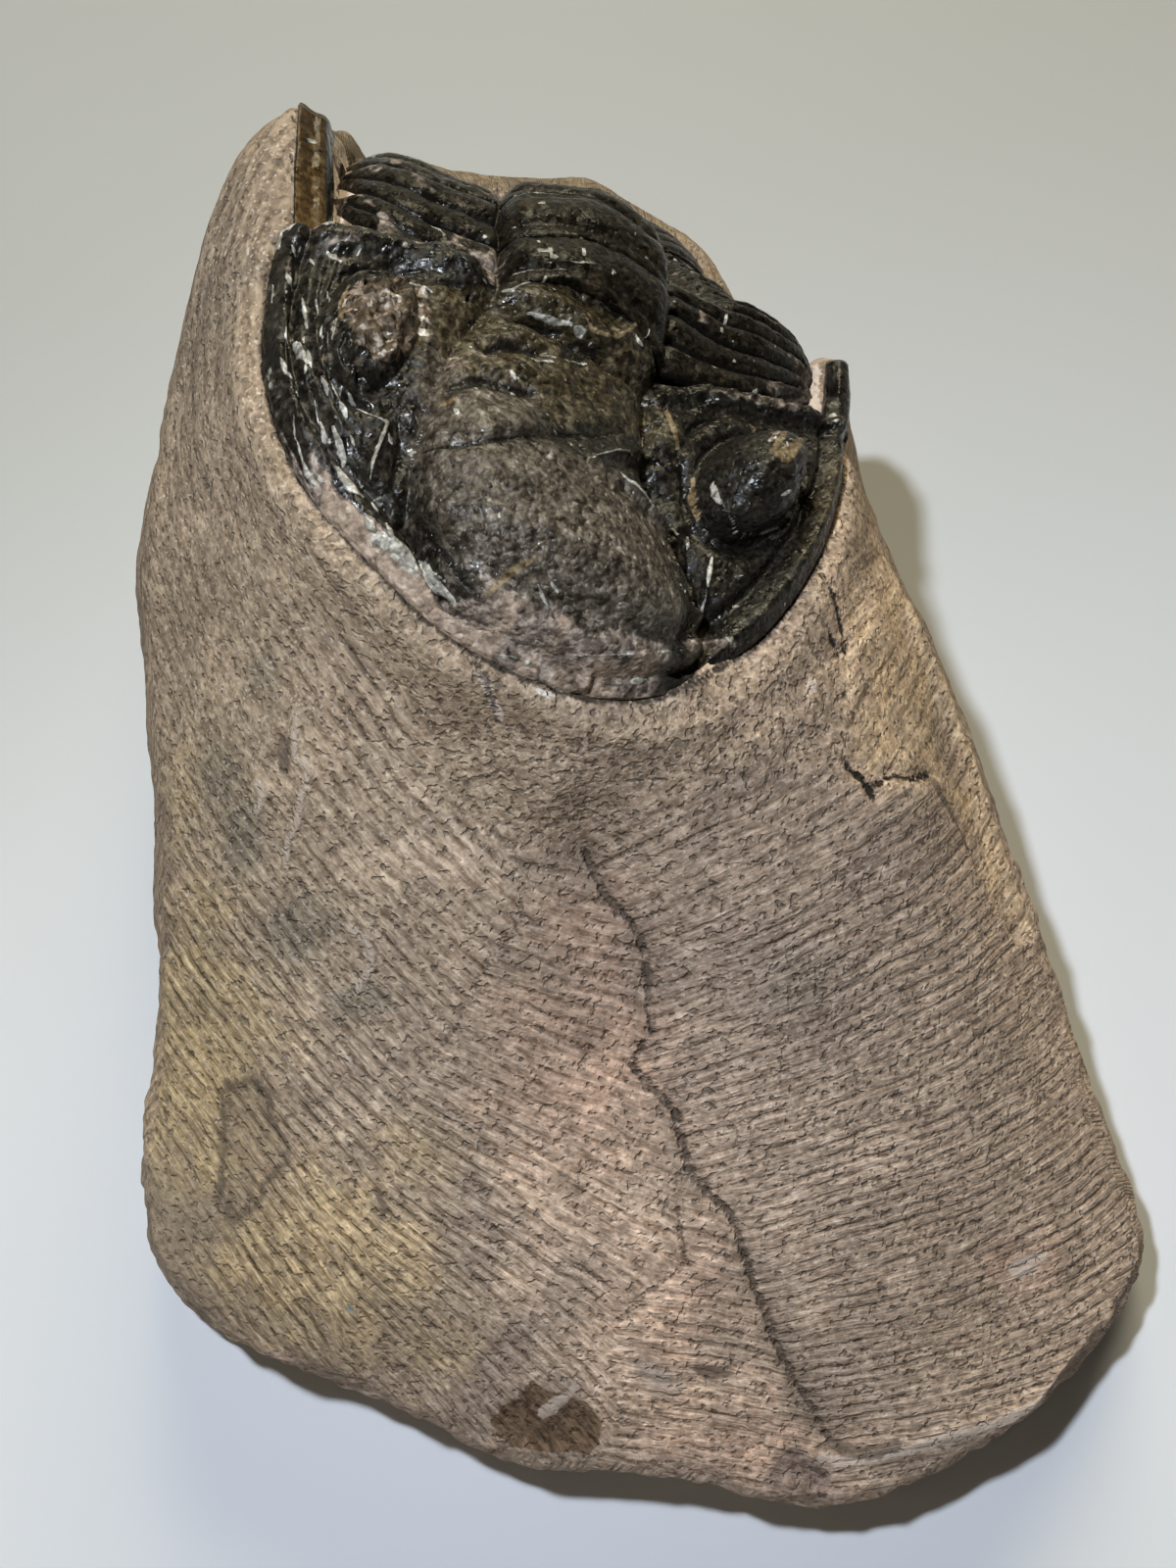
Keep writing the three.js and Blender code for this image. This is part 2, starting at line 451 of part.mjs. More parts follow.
function frameAt(row) {
  const r = Math.min(Math.max(row, 0), SEGMENTS),
    i = Math.min(Math.floor(r), SEGMENTS - 1),
    f = r - i,
    a = frames[i],
    b = frames[i + 1],
    L = PITCH[i];
  const w = [
    2 * f ** 3 - 3 * f ** 2 + 1,
    (f ** 3 - 2 * f ** 2 + f) * L,
    -2 * f ** 3 + 3 * f ** 2,
    (f ** 3 - f ** 2) * L,
  ];
  const p = add(add(mul(a.p, w[0]), mul(a.along, w[1])), add(mul(b.p, w[2]), mul(b.along, w[3])));
  return {
    p,
    across: unit(mix(a.across, b.across, f)),
    along: unit(mix(a.along, b.along, f)),
    up: unit(mix(a.up, b.up, f)),
  };
}
const halfWidth = (row) =>
  HEAD_HALF_WIDTH * (THORAX_HALF - THORAX_TAPER * (row / SEGMENTS) ** 1.4);
// arch of a sclerite: side -1..1 -> side, back, up in half-widths
function arch(q) {
  const a = Math.abs(q),
    d = Math.max(a - 0.6, 0) / 0.4;
  const ring = Math.sqrt(Math.max(1 - (a / AXIS_HALF) ** 2, 0));
  return [
    Math.sign(q) * (a - 0.04 * d * d),
    (0.04 * Math.max(a - 0.31, 0)) / 0.69 + 0.1 * d ** 1.6,
    (a < AXIS_HALF ? 0.19 + 0.17 * ring : 0.19 - (0.03 * (a - AXIS_HALF)) / 0.3) -
      0.3 * d ** 1.8,
  ];
}
function thoraxPoint(q, row, lift) {
  const f = frameAt(row),
    w = halfWidth(Math.min(Math.max(row, 0), SEGMENTS)),
    [x, y, z] = arch(Math.max(-1, Math.min(1, q))),
    spare = (Math.abs(q) > 1 ? q - Math.sign(q) : 0) * w;
  let p = add(f.p, mul(f.across, x * w + spare));
  p = add(p, mul(f.along, y * w));
  p = add(p, mul(f.up, z * w + lift));
  if (row < 0) p = add(p, mul(f.along, row * PITCH[0]));
  return add(p, shiftSheet(Math.max(-1, Math.min(1, q)), Math.max(row, 0) * 0.35));
}
// ---- tail shield: dome on a half-ellipse, side -1..1, length 0..1
function tailPoint(q, l, lift) {
  const f = frames[SEGMENTS],
    a = rad(TAIL_SLOPE),
    along = unit([-0.02 * Math.cos(a), Math.cos(a), -Math.sin(a)]),
    up = cross(f.across, along);
  const w0 = halfWidth(SEGMENTS),
    k = Math.min(Math.max(l, 0), 1),
    w = w0 * Math.sqrt(1 - 0.985 * k ** 2.2),
    c = Math.max(-1, Math.min(1, q)),
    [, y0, z] = arch(c);
  const high = (z + 0.11) * w0 * (1 - 0.8 * k ** 1.6) - 0.11 * w0;
  return add(
    add(f.p, mul(f.across, c * w + (q - c) * w0)),
    add(mul(along, l * TAIL_LENGTH + y0 * w0 * (1 - k) ** 2), mul(up, high + lift)),
  );
}

// ---- solids
const wasm = await Module();
wasm.setup();
const { Manifold, Mesh } = wasm;
function solid(verts, tris) {
  const m = new Mesh({
    numProp: 3,
    vertProperties: new Float32Array(verts.flat()),
    triVerts: new Uint32Array(tris.flat()),
  });
  m.merge();
  const made = new Manifold(m);
  if (made.volume() > 0) return made;
  return solid(verts, tris.map(([a, b, c]) => [a, c, b]));
}
// closed body between an upper and a lower sheet of points on the same rows and columns
function slab(upper, lower) {
  const r = upper.length,
    c = upper[0].length,
    v = [...upper.flat(), ...lower.flat()],
    t = [],
    at = (i, j) => i * c + j,
    low = r * c;
  const quad = (a, b, d, e) => t.push([a, b, d], [a, d, e]);
  for (let i = 0; i + 1 < r; i++)
    for (let j = 0; j + 1 < c; j++) {
      quad(at(i, j), at(i, j + 1), at(i + 1, j + 1), at(i + 1, j));
      quad(low + at(i, j), low + at(i + 1, j), low + at(i + 1, j + 1), low + at(i, j + 1));
    }
  for (let j = 0; j + 1 < c; j++) {
    quad(at(0, j), low + at(0, j), low + at(0, j + 1), at(0, j + 1));
    quad(at(r - 1, j), at(r - 1, j + 1), low + at(r - 1, j + 1), low + at(r - 1, j));
  }
  for (let i = 0; i + 1 < r; i++) {
    quad(at(i, 0), at(i + 1, 0), low + at(i + 1, 0), low + at(i, 0));
    quad(at(i, c - 1), low + at(i, c - 1), low + at(i + 1, c - 1), at(i + 1, c - 1));
  }
  return solid(v, t);
}
const span = (a, b, n) => Array.from({ length: n + 1 }, (_, i) => a + ((b - a) * i) / n);

// head shield grid: columns crowd towards the sides
const SIDES = span(-1, 1, 30).map((x) => Math.sin((x * Math.PI) / 2) * 0.35 + x * 0.65);
function headSlab(grow, up, down, plain, n) {
  const k = 1 + grow / HEAD_HALF_WIDTH;
  const sheet = (height) =>
    SIDES.map((s) => {
      const a = frontEdge(s) - grow / HEAD_HALF_WIDTH,
        b = hindEdge(s) + (plain ? 0.04 : 0);
      return span(0, 1, n).map((f) => {
        const t = a + (b - a) * (0.5 - 0.5 * Math.cos(f * Math.PI)) * 0.4 + (b - a) * f * 0.6;
        return height(s, t, k);
      });
    });
  return slab(
    sheet((s, t, k) => headPoint(s * k, t, (plain ? 0.1 : headHeight(s, t)) + up / HEAD_HALF_WIDTH)),
    sheet((s, t, k) =>
      headPoint(s * k, t, -(SHELL_DEPTH + down) / HEAD_HALF_WIDTH + 0.05 * (1 - Math.exp(-inward(s, t) / 0.2))),
    ),
  );
}
// a spine as a chain of bars along its ridge points
function spine(points, deep, grow) {
  const parts = [];
  const swell = (pts) => {
    const c = mul(pts.reduce(add, [0, 0, 0]), 1 / pts.length);
    return pts.map((p) => add(p, mul(unit(sub(p, c)), grow)));
  };
  for (let i = 0; i + 3 < points.length; i += 2) {
    const top = points.slice(i, i + 4),
      pts = [...top, ...top.map((p) => add(p, [0, 0.5, -deep]))];
    parts.push(Manifold.hull(grow ? swell(pts) : pts));
  }
  return Manifold.union(parts);
}
const QS = [-1, -0.88, -0.74, -0.55, -0.31, -0.26, -0.15, 0, 0.15, 0.26, 0.31, 0.55, 0.74, 0.88, 1];
// profile of one sclerite along its length: fore band, pleural furrow, hind band
const BANDS = [0, 0.3, 0.52, 0.74, 1];
const BAND_LIFT = [-0.12, 0.14, -0.16, 0.14, -0.14];
function sclerite(i) {
  const g = (0.5 * JOINT_GAP) / PITCH[i];
  const rows = BANDS.map((b) => i + g + (1 - 2 * g) * b);
  const lift = (q, k) => (Math.abs(q) < AXIS_HALF ? 0.5 * BAND_LIFT[k] + (k === 2 ? 0.2 : 0) : BAND_LIFT[k]);
  return slab(
    rows.map((r, k) => QS.map((q) => thoraxPoint(q, r, lift(q, k)))),
    [rows[0], rows[1], rows[2], rows[3], rows[4]].map((r) => QS.map((q) => thoraxPoint(q, r, -SCLERITE_DEPTH))),
  );
}
function tail(grow, up, down, from) {
  const ls = span(0, 1, 6).map((l) => from + (1 - from) * Math.sin((l * Math.PI) / 2));
  if (grow) ls.push(1 + grow / TAIL_LENGTH);
  const q = grow ? [-1 - grow / halfWidth(SEGMENTS), ...QS, 1 + grow / halfWidth(SEGMENTS)] : QS;
  return slab(
    ls.map((l) => q.map((x) => tailPoint(x, l, up))),
    ls.map((l) => q.map((x) => tailPoint(x, l, -SCLERITE_DEPTH - down))),
  );
}

// room kept clear round the thorax, open upwards
function thoraxRoom() {
  const rows = [-0.04, ...span(0.5, 10.5, 10), 11],
    e = 1 + (SEAT_GAP * 1.4) / (HEAD_HALF_WIDTH * 0.7),
    q = [-e, ...QS, e];
  return slab(
    rows.map((r) => q.map((x) => thoraxPoint(x, r, 3.2))),
    rows.map((r) => q.map((x) => thoraxPoint(x, r, -SCLERITE_DEPTH - 1.3 * SEAT_GAP))),
  );
}
const thoraxHead = (() => {
  // keeps the head shield clear of the first sclerite
  const rows = [-0.02, 0.5, 1, 1.5, 2, 2.5],
    q = [-1.04, ...QS, 1.04];
  return slab(
    rows.map((r) => q.map((x) => thoraxPoint(x, r, 2.2))),
    rows.map((r) => q.map((x) => thoraxPoint(x, r, -SCLERITE_DEPTH - 0.5))),
  );
})();

// ---- rock
const N_ROUND = 50;
const N_WALL = 7;
function curve(list, u) {
  const n = list.length,
    i = Math.floor(u),
    f = u - i,
    g = (k) => list[(((i + k) % n) + n) % n],
    [a, b, c, d] = [g(-1), g(0), g(1), g(2)];
  return b.map((_, k) => {
    const lo = Math.min(b[k], c[k]),
      hi = Math.max(b[k], c[k]),
      v =
        0.5 *
        (2 * b[k] +
          (c[k] - a[k]) * f +
          (2 * a[k] - 5 * b[k] + 4 * c[k] - d[k]) * f * f +
          (3 * b[k] - a[k] - 3 * c[k] + d[k]) * f ** 3);
    return Math.max(lo - 0.4, Math.min(hi + 0.4, v));
  });
}
function column(u) {
  const c = curve(COLUMNS, u),
    pts = [];
  for (let k = 0; k < 6; k++) pts.push(c.slice(3 * k, 3 * k + 3));
  pts[5][2] = 0;
  return pts;
}
function downColumn(pts, f) {
  const x = f * 5,
    i = Math.min(Math.floor(x), 4),
    t = x - i,
    a = pts[Math.max(i - 1, 0)],
    b = pts[i],
    c = pts[i + 1],
    d = pts[Math.min(i + 2, 5)];
  return b.map(
    (_, k) =>
      0.5 *
      (2 * b[k] +
        (c[k] - a[k]) * t +
        (2 * a[k] - 5 * b[k] + 4 * c[k] - d[k]) * t * t +
        (3 * b[k] - a[k] - 3 * c[k] + d[k]) * t ** 3),
  );
}
function rock() {
  const v = [],
    t = [],
    mid = [0, -3],
    rings = span(0, 1, 7).slice(1),
    us = span(0, COLUMNS.length, N_ROUND).slice(0, -1);
  const cols = us.map(column);
  v.push([mid[0], mid[1], rockSheet(...mid)[0]]);
  rings.forEach((r) =>
    cols.forEach((c) => {
      const [x, y] = [mid[0] + (c[0][0] - mid[0]) * r, mid[1] + (c[0][1] - mid[1]) * r];
      v.push(r === 1 ? [...c[0]] : [x, y, rockSheet(x, y)[0]]);
    }),
  );
  for (let k = 1; k <= N_WALL; k++)
    cols.forEach((c) => {
      const p = downColumn(c, k / N_WALL);
      v.push([p[0], p[1], k === N_WALL ? 0 : Math.max(p[2], 0.2)]);
    });
  const base = v.length;
  v.push([mid[0], mid[1], 0]);
  const rowsN = rings.length + N_WALL,
    at = (r, k) => 1 + r * N_ROUND + (k % N_ROUND);
  for (let k = 0; k < N_ROUND; k++) {
    t.push([0, at(0, k + 1), at(0, k)]);
    for (let r = 0; r + 1 < rowsN; r++) {
      t.push([at(r, k), at(r, k + 1), at(r + 1, k + 1)], [at(r, k), at(r + 1, k + 1), at(r + 1, k)]);
    }
    t.push([base, at(rowsN - 1, k), at(rowsN - 1, k + 1)]);
  }
  return solid(v, t);
}

// ---- put the pieces together
const pieces = new Map();
const headRaw = headSlab(0, 0, 0, false, 18);
const biggest = (m) => m.decompose().sort((a, b) => b.volume() - a.volume())[0];
const head = Manifold.union([
  biggest(headRaw.subtract(thoraxHead)),
  spine(SPINE_LEFT, 3.2, 0),
  spine(SPINE_RIGHT, 3.0, 0),
]);
pieces.set("cephalon", biggest(head));
for (let i = 0; i < SEGMENTS; i++)
  pieces.set("thoracic_segment_" + String(i + 1).padStart(2, "0"), sclerite(i));
pieces.set("pygidium", tail(0, 0, 0, 0.075));
let block = rock();
block = block.subtract(headSlab(SEAT_GAP, 7, SEAT_GAP, true, 6));
block = block.subtract(spine(SPINE_LEFT, 3.2, SEAT_GAP * 1.5));
block = block.subtract(spine(SPINE_RIGHT, 3.0, SEAT_GAP * 1.5));
block = block.subtract(thoraxRoom());
block = block.subtract(tail(1.6 * SEAT_GAP, 4, 1.4 * SEAT_GAP, -0.05));
pieces.set("matrix", biggest(block));

const COLOURS = {
  matrix: 0x9b8273,
  cephalon: 0x2f2a24,
  sclerite: 0x26231f,
};
const group = new THREE.Group();
for (const [name, made] of pieces) {
  const m = made.getMesh(),
    k = m.numProp,
    pos = new Float32Array(m.numVert * 3);
  for (let i = 0; i < m.numVert; i++) {
    pos[3 * i] = m.vertProperties[i * k] - PLAN_CENTRE[0];
    pos[3 * i + 1] = m.vertProperties[i * k + 1] - PLAN_CENTRE[1];
    pos[3 * i + 2] = m.vertProperties[i * k + 2];
  }
  const g = new THREE.BufferGeometry();
  g.setAttribute("position", new THREE.BufferAttribute(pos, 3));
  g.setIndex(new THREE.BufferAttribute(new Uint32Array(m.triVerts), 1));
  g.computeVertexNormals();
  const mesh = new THREE.Mesh(
    g,
    new THREE.MeshStandardMaterial({
      color: COLOURS[name] ?? COLOURS.sclerite,
      roughness: name === "matrix" ? 0.9 : 0.45,
    }),
  );
  mesh.name = name;
  group.add(mesh);
}
export default group;
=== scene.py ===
import math

import bpy
import numpy as np
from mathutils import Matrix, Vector
from mathutils.bvhtree import BVHTree


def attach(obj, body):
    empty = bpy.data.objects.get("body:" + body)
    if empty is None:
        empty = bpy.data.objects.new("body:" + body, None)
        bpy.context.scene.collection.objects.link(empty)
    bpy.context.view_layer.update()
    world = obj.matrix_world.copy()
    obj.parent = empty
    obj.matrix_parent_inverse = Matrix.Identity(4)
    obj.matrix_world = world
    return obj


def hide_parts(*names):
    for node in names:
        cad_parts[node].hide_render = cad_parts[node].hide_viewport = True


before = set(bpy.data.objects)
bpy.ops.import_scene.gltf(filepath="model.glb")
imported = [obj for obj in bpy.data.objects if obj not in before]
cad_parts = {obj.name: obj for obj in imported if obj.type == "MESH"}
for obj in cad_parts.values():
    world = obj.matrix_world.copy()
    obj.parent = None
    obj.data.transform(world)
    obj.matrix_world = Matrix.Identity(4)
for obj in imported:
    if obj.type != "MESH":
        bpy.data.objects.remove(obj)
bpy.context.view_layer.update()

MM = 0.001

# ---- sizes of the fossil and its block, millimetres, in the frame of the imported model
HEAD_HALF_WIDTH = 20.4
SEGMENTS = 11
AXIS_HALF = 0.31
THORAX_HALF = 0.93
THORAX_TAPER = 0.36
TAIL_LENGTH = 11.0
TAIL_SLOPE = 28.0
PITCH = [3.9, 3.9, 3.7, 3.5, 3.2, 3.0, 2.8, 2.65, 2.5, 2.35, 2.2]
SLOPE = [22, 30, 46, 61, 67, 68, 66, 62, 55, 46, 38]
ACROSS = np.array([0.86947, -0.19967, -0.45184])
BACK = np.array([0.11605, 0.97171, -0.2057])
UP = np.array([0.47989, 0.12654, 0.86815])
ACROSS_THORAX = np.array([0.86052, -0.25471, -0.44117])
ACROSS_TAIL = np.array([0.985, -0.03, -0.14])
AXIS_START = np.array([-5.859, 17.964, 41.998])
# head shield: side and axial coordinate in half-widths, then x, y, z
HEAD = [
    [-1, 0, -22.139, 21.104, 50.966], [-1, -0.2, -22.569, 16.166, 51.544],
    [-0.97, -0.53, -21.644, 9.328, 52.606], [-0.84, -0.8, -19.028, 3.855, 52.65],
    [-0.62, -1.015, -14.824, -0.634, 51.703], [-0.34, -1.147, -10.367, -4.011, 49.778],
    [0, -1.19, -4.211, -5.877, 46.924], [0.36, -1.144, 2.005, -4.65, 43.89],
    [0.62, -1.015, 6.682, -0.71, 41.607], [0.84, -0.8, 10.643, 5.217, 39.363],
    [0.97, -0.53, 12.433, 10.08, 37.043], [1, 0, 13.664, 16.993, 33.612],
    [-0.6, -0.42, -18.597, 13.777, 49.745], [0.6, -0.42, 4.534, 9.591, 38.872],
    [-0.27, 0, -10.757, 19.678, 44.652], [0.27, 0, -0.805, 16.522, 39.418],
    [-0.5, -0.8, -14.82, 5.873, 50.428], [0.5, -0.8, 1.644, 1.929, 41.245],
    [-0.52, -0.98, -13.688, 0.396, 50.834], [0.5, -0.98, 2.553, -1.326, 42.084],
    [0, -1.13, -4.359, -4.409, 46.747],
]
# push of the thorax out of a regular row: side, row, then dx, dy, dz
THORAX_SHIFT = [
    [-1, 0, 3.496, 1.114, 0.299], [-0.6, 0, 0.146, -0.847, -0.227], [-0.31, 0, 0.468, -0.526, -0.141],
    [-0.16, 0, -1.413, -0.154, -0.041], [0, 0, -1.182, 0.967, 0.259], [0.16, 0, -0.676, 0.249, 0.067],
    [0.31, 0, 0.042, -0.324, -0.087], [0.6, 0, 0.439, 0.641, 0.172], [1, 0, 3.285, 4.083, 1.094],
    [-1, 0.35, 2.626, 0.532, 0.142], [-0.6, 0.35, -0.392, -1.223, -0.328],
    [-0.31, 0.35, -0.138, -0.659, -0.177], [-0.16, 0.35, -2.127, -0.543, -0.146],
    [0, 0.35, -1.585, 0.654, 0.175], [0.16, 0.35, -0.834, 0.761, 0.204], [0.31, 0.35, 0.229, 1.073, 0.288],
    [0.6, 0.35, 0.618, 0.87, 0.233], [1, 0.35, 3.761, 3.828, 1.026], [-1, 0.7, 2.019, 0.524, 0.14],
    [-0.6, 0.7, -0.577, -1.043, -0.28], [-0.31, 0.7, -0.658, -0.222, -0.059],
    [-0.16, 0.7, -2.518, -0.621, -0.167], [0, 0.7, -1.684, 0.668, 0.179], [0.16, 0.7, -1.179, 0.777, 0.208],
    [0.31, 0.7, 0.06, 0.585, 0.157], [0.6, 0.7, 0.283, 1.394, 0.373], [1, 0.7, 3.799, 3.983, 1.067],
    [-1, 1.05, 2.064, 2.246, 0.602], [-0.6, 1.05, -0.689, -0.439, -0.118],
    [-0.31, 1.05, -0.599, -0.571, -0.153], [-0.16, 1.05, -1.997, -1.405, -0.377],
    [0, 1.05, -1.106, -0.393, -0.105], [0.16, 1.05, -0.877, -0.045, -0.012],
    [0.31, 1.05, -0.32, -0.582, -0.156], [0.6, 1.05, 0.322, -0.225, -0.06], [1, 1.05, 2.463, 3.159, 0.846],
    [-1, 1.4, 2.526, 3.328, 0.892], [-1, 2.1, 1.895, 2.496, 0.669], [-0.6, 1.4, -0.451, 0.171, 0.046],
    [-0.6, 2.1, -0.338, 0.129, 0.034], [-0.31, 1.4, -0.495, -0.404, -0.108],
    [-0.31, 2.1, -0.371, -0.303, -0.081], [-0.16, 1.4, -1.575, -1.674, -0.449],
    [-0.16, 2.1, -1.181, -1.256, -0.336], [0, 1.4, -0.53, -1.044, -0.28], [0, 2.1, -0.398, -0.783, -0.21],
    [0.16, 1.4, -0.556, -1.185, -0.318], [0.16, 2.1, -0.417, -0.889, -0.238],
    [0.31, 1.4, -0.667, -1.714, -0.459], [0.31, 2.1, -0.5, -1.285, -0.344],
    [0.6, 1.4, 0.252, -2.242, -0.601], [0.6, 2.1, 0.189, -1.681, -0.45], [1, 1.4, 0.913, 0.809, 0.217],
    [1, 2.1, 0.685, 0.607, 0.163], [-1, 3.15, 0, 0, 0], [-1, 3.85, 0, 0, 0], [-0.6, 3.15, 0, 0, 0],
    [-0.6, 3.85, 0, 0, 0], [-0.31, 3.15, 0, 0, 0], [-0.31, 3.85, 0, 0, 0], [-0.16, 3.15, 0, 0, 0],
    [-0.16, 3.85, 0, 0, 0], [0, 3.15, 0, 0, 0], [0, 3.85, 0, 0, 0], [0.16, 3.15, 0, 0, 0],
    [0.16, 3.85, 0, 0, 0], [0.31, 3.15, 0, 0, 0], [0.31, 3.85, 0, 0, 0], [0.6, 3.15, 0, 0, 0],
    [0.6, 3.85, 0, 0, 0], [1, 3.15, 0, 0, 0], [1, 3.85, 0, 0, 0],
]
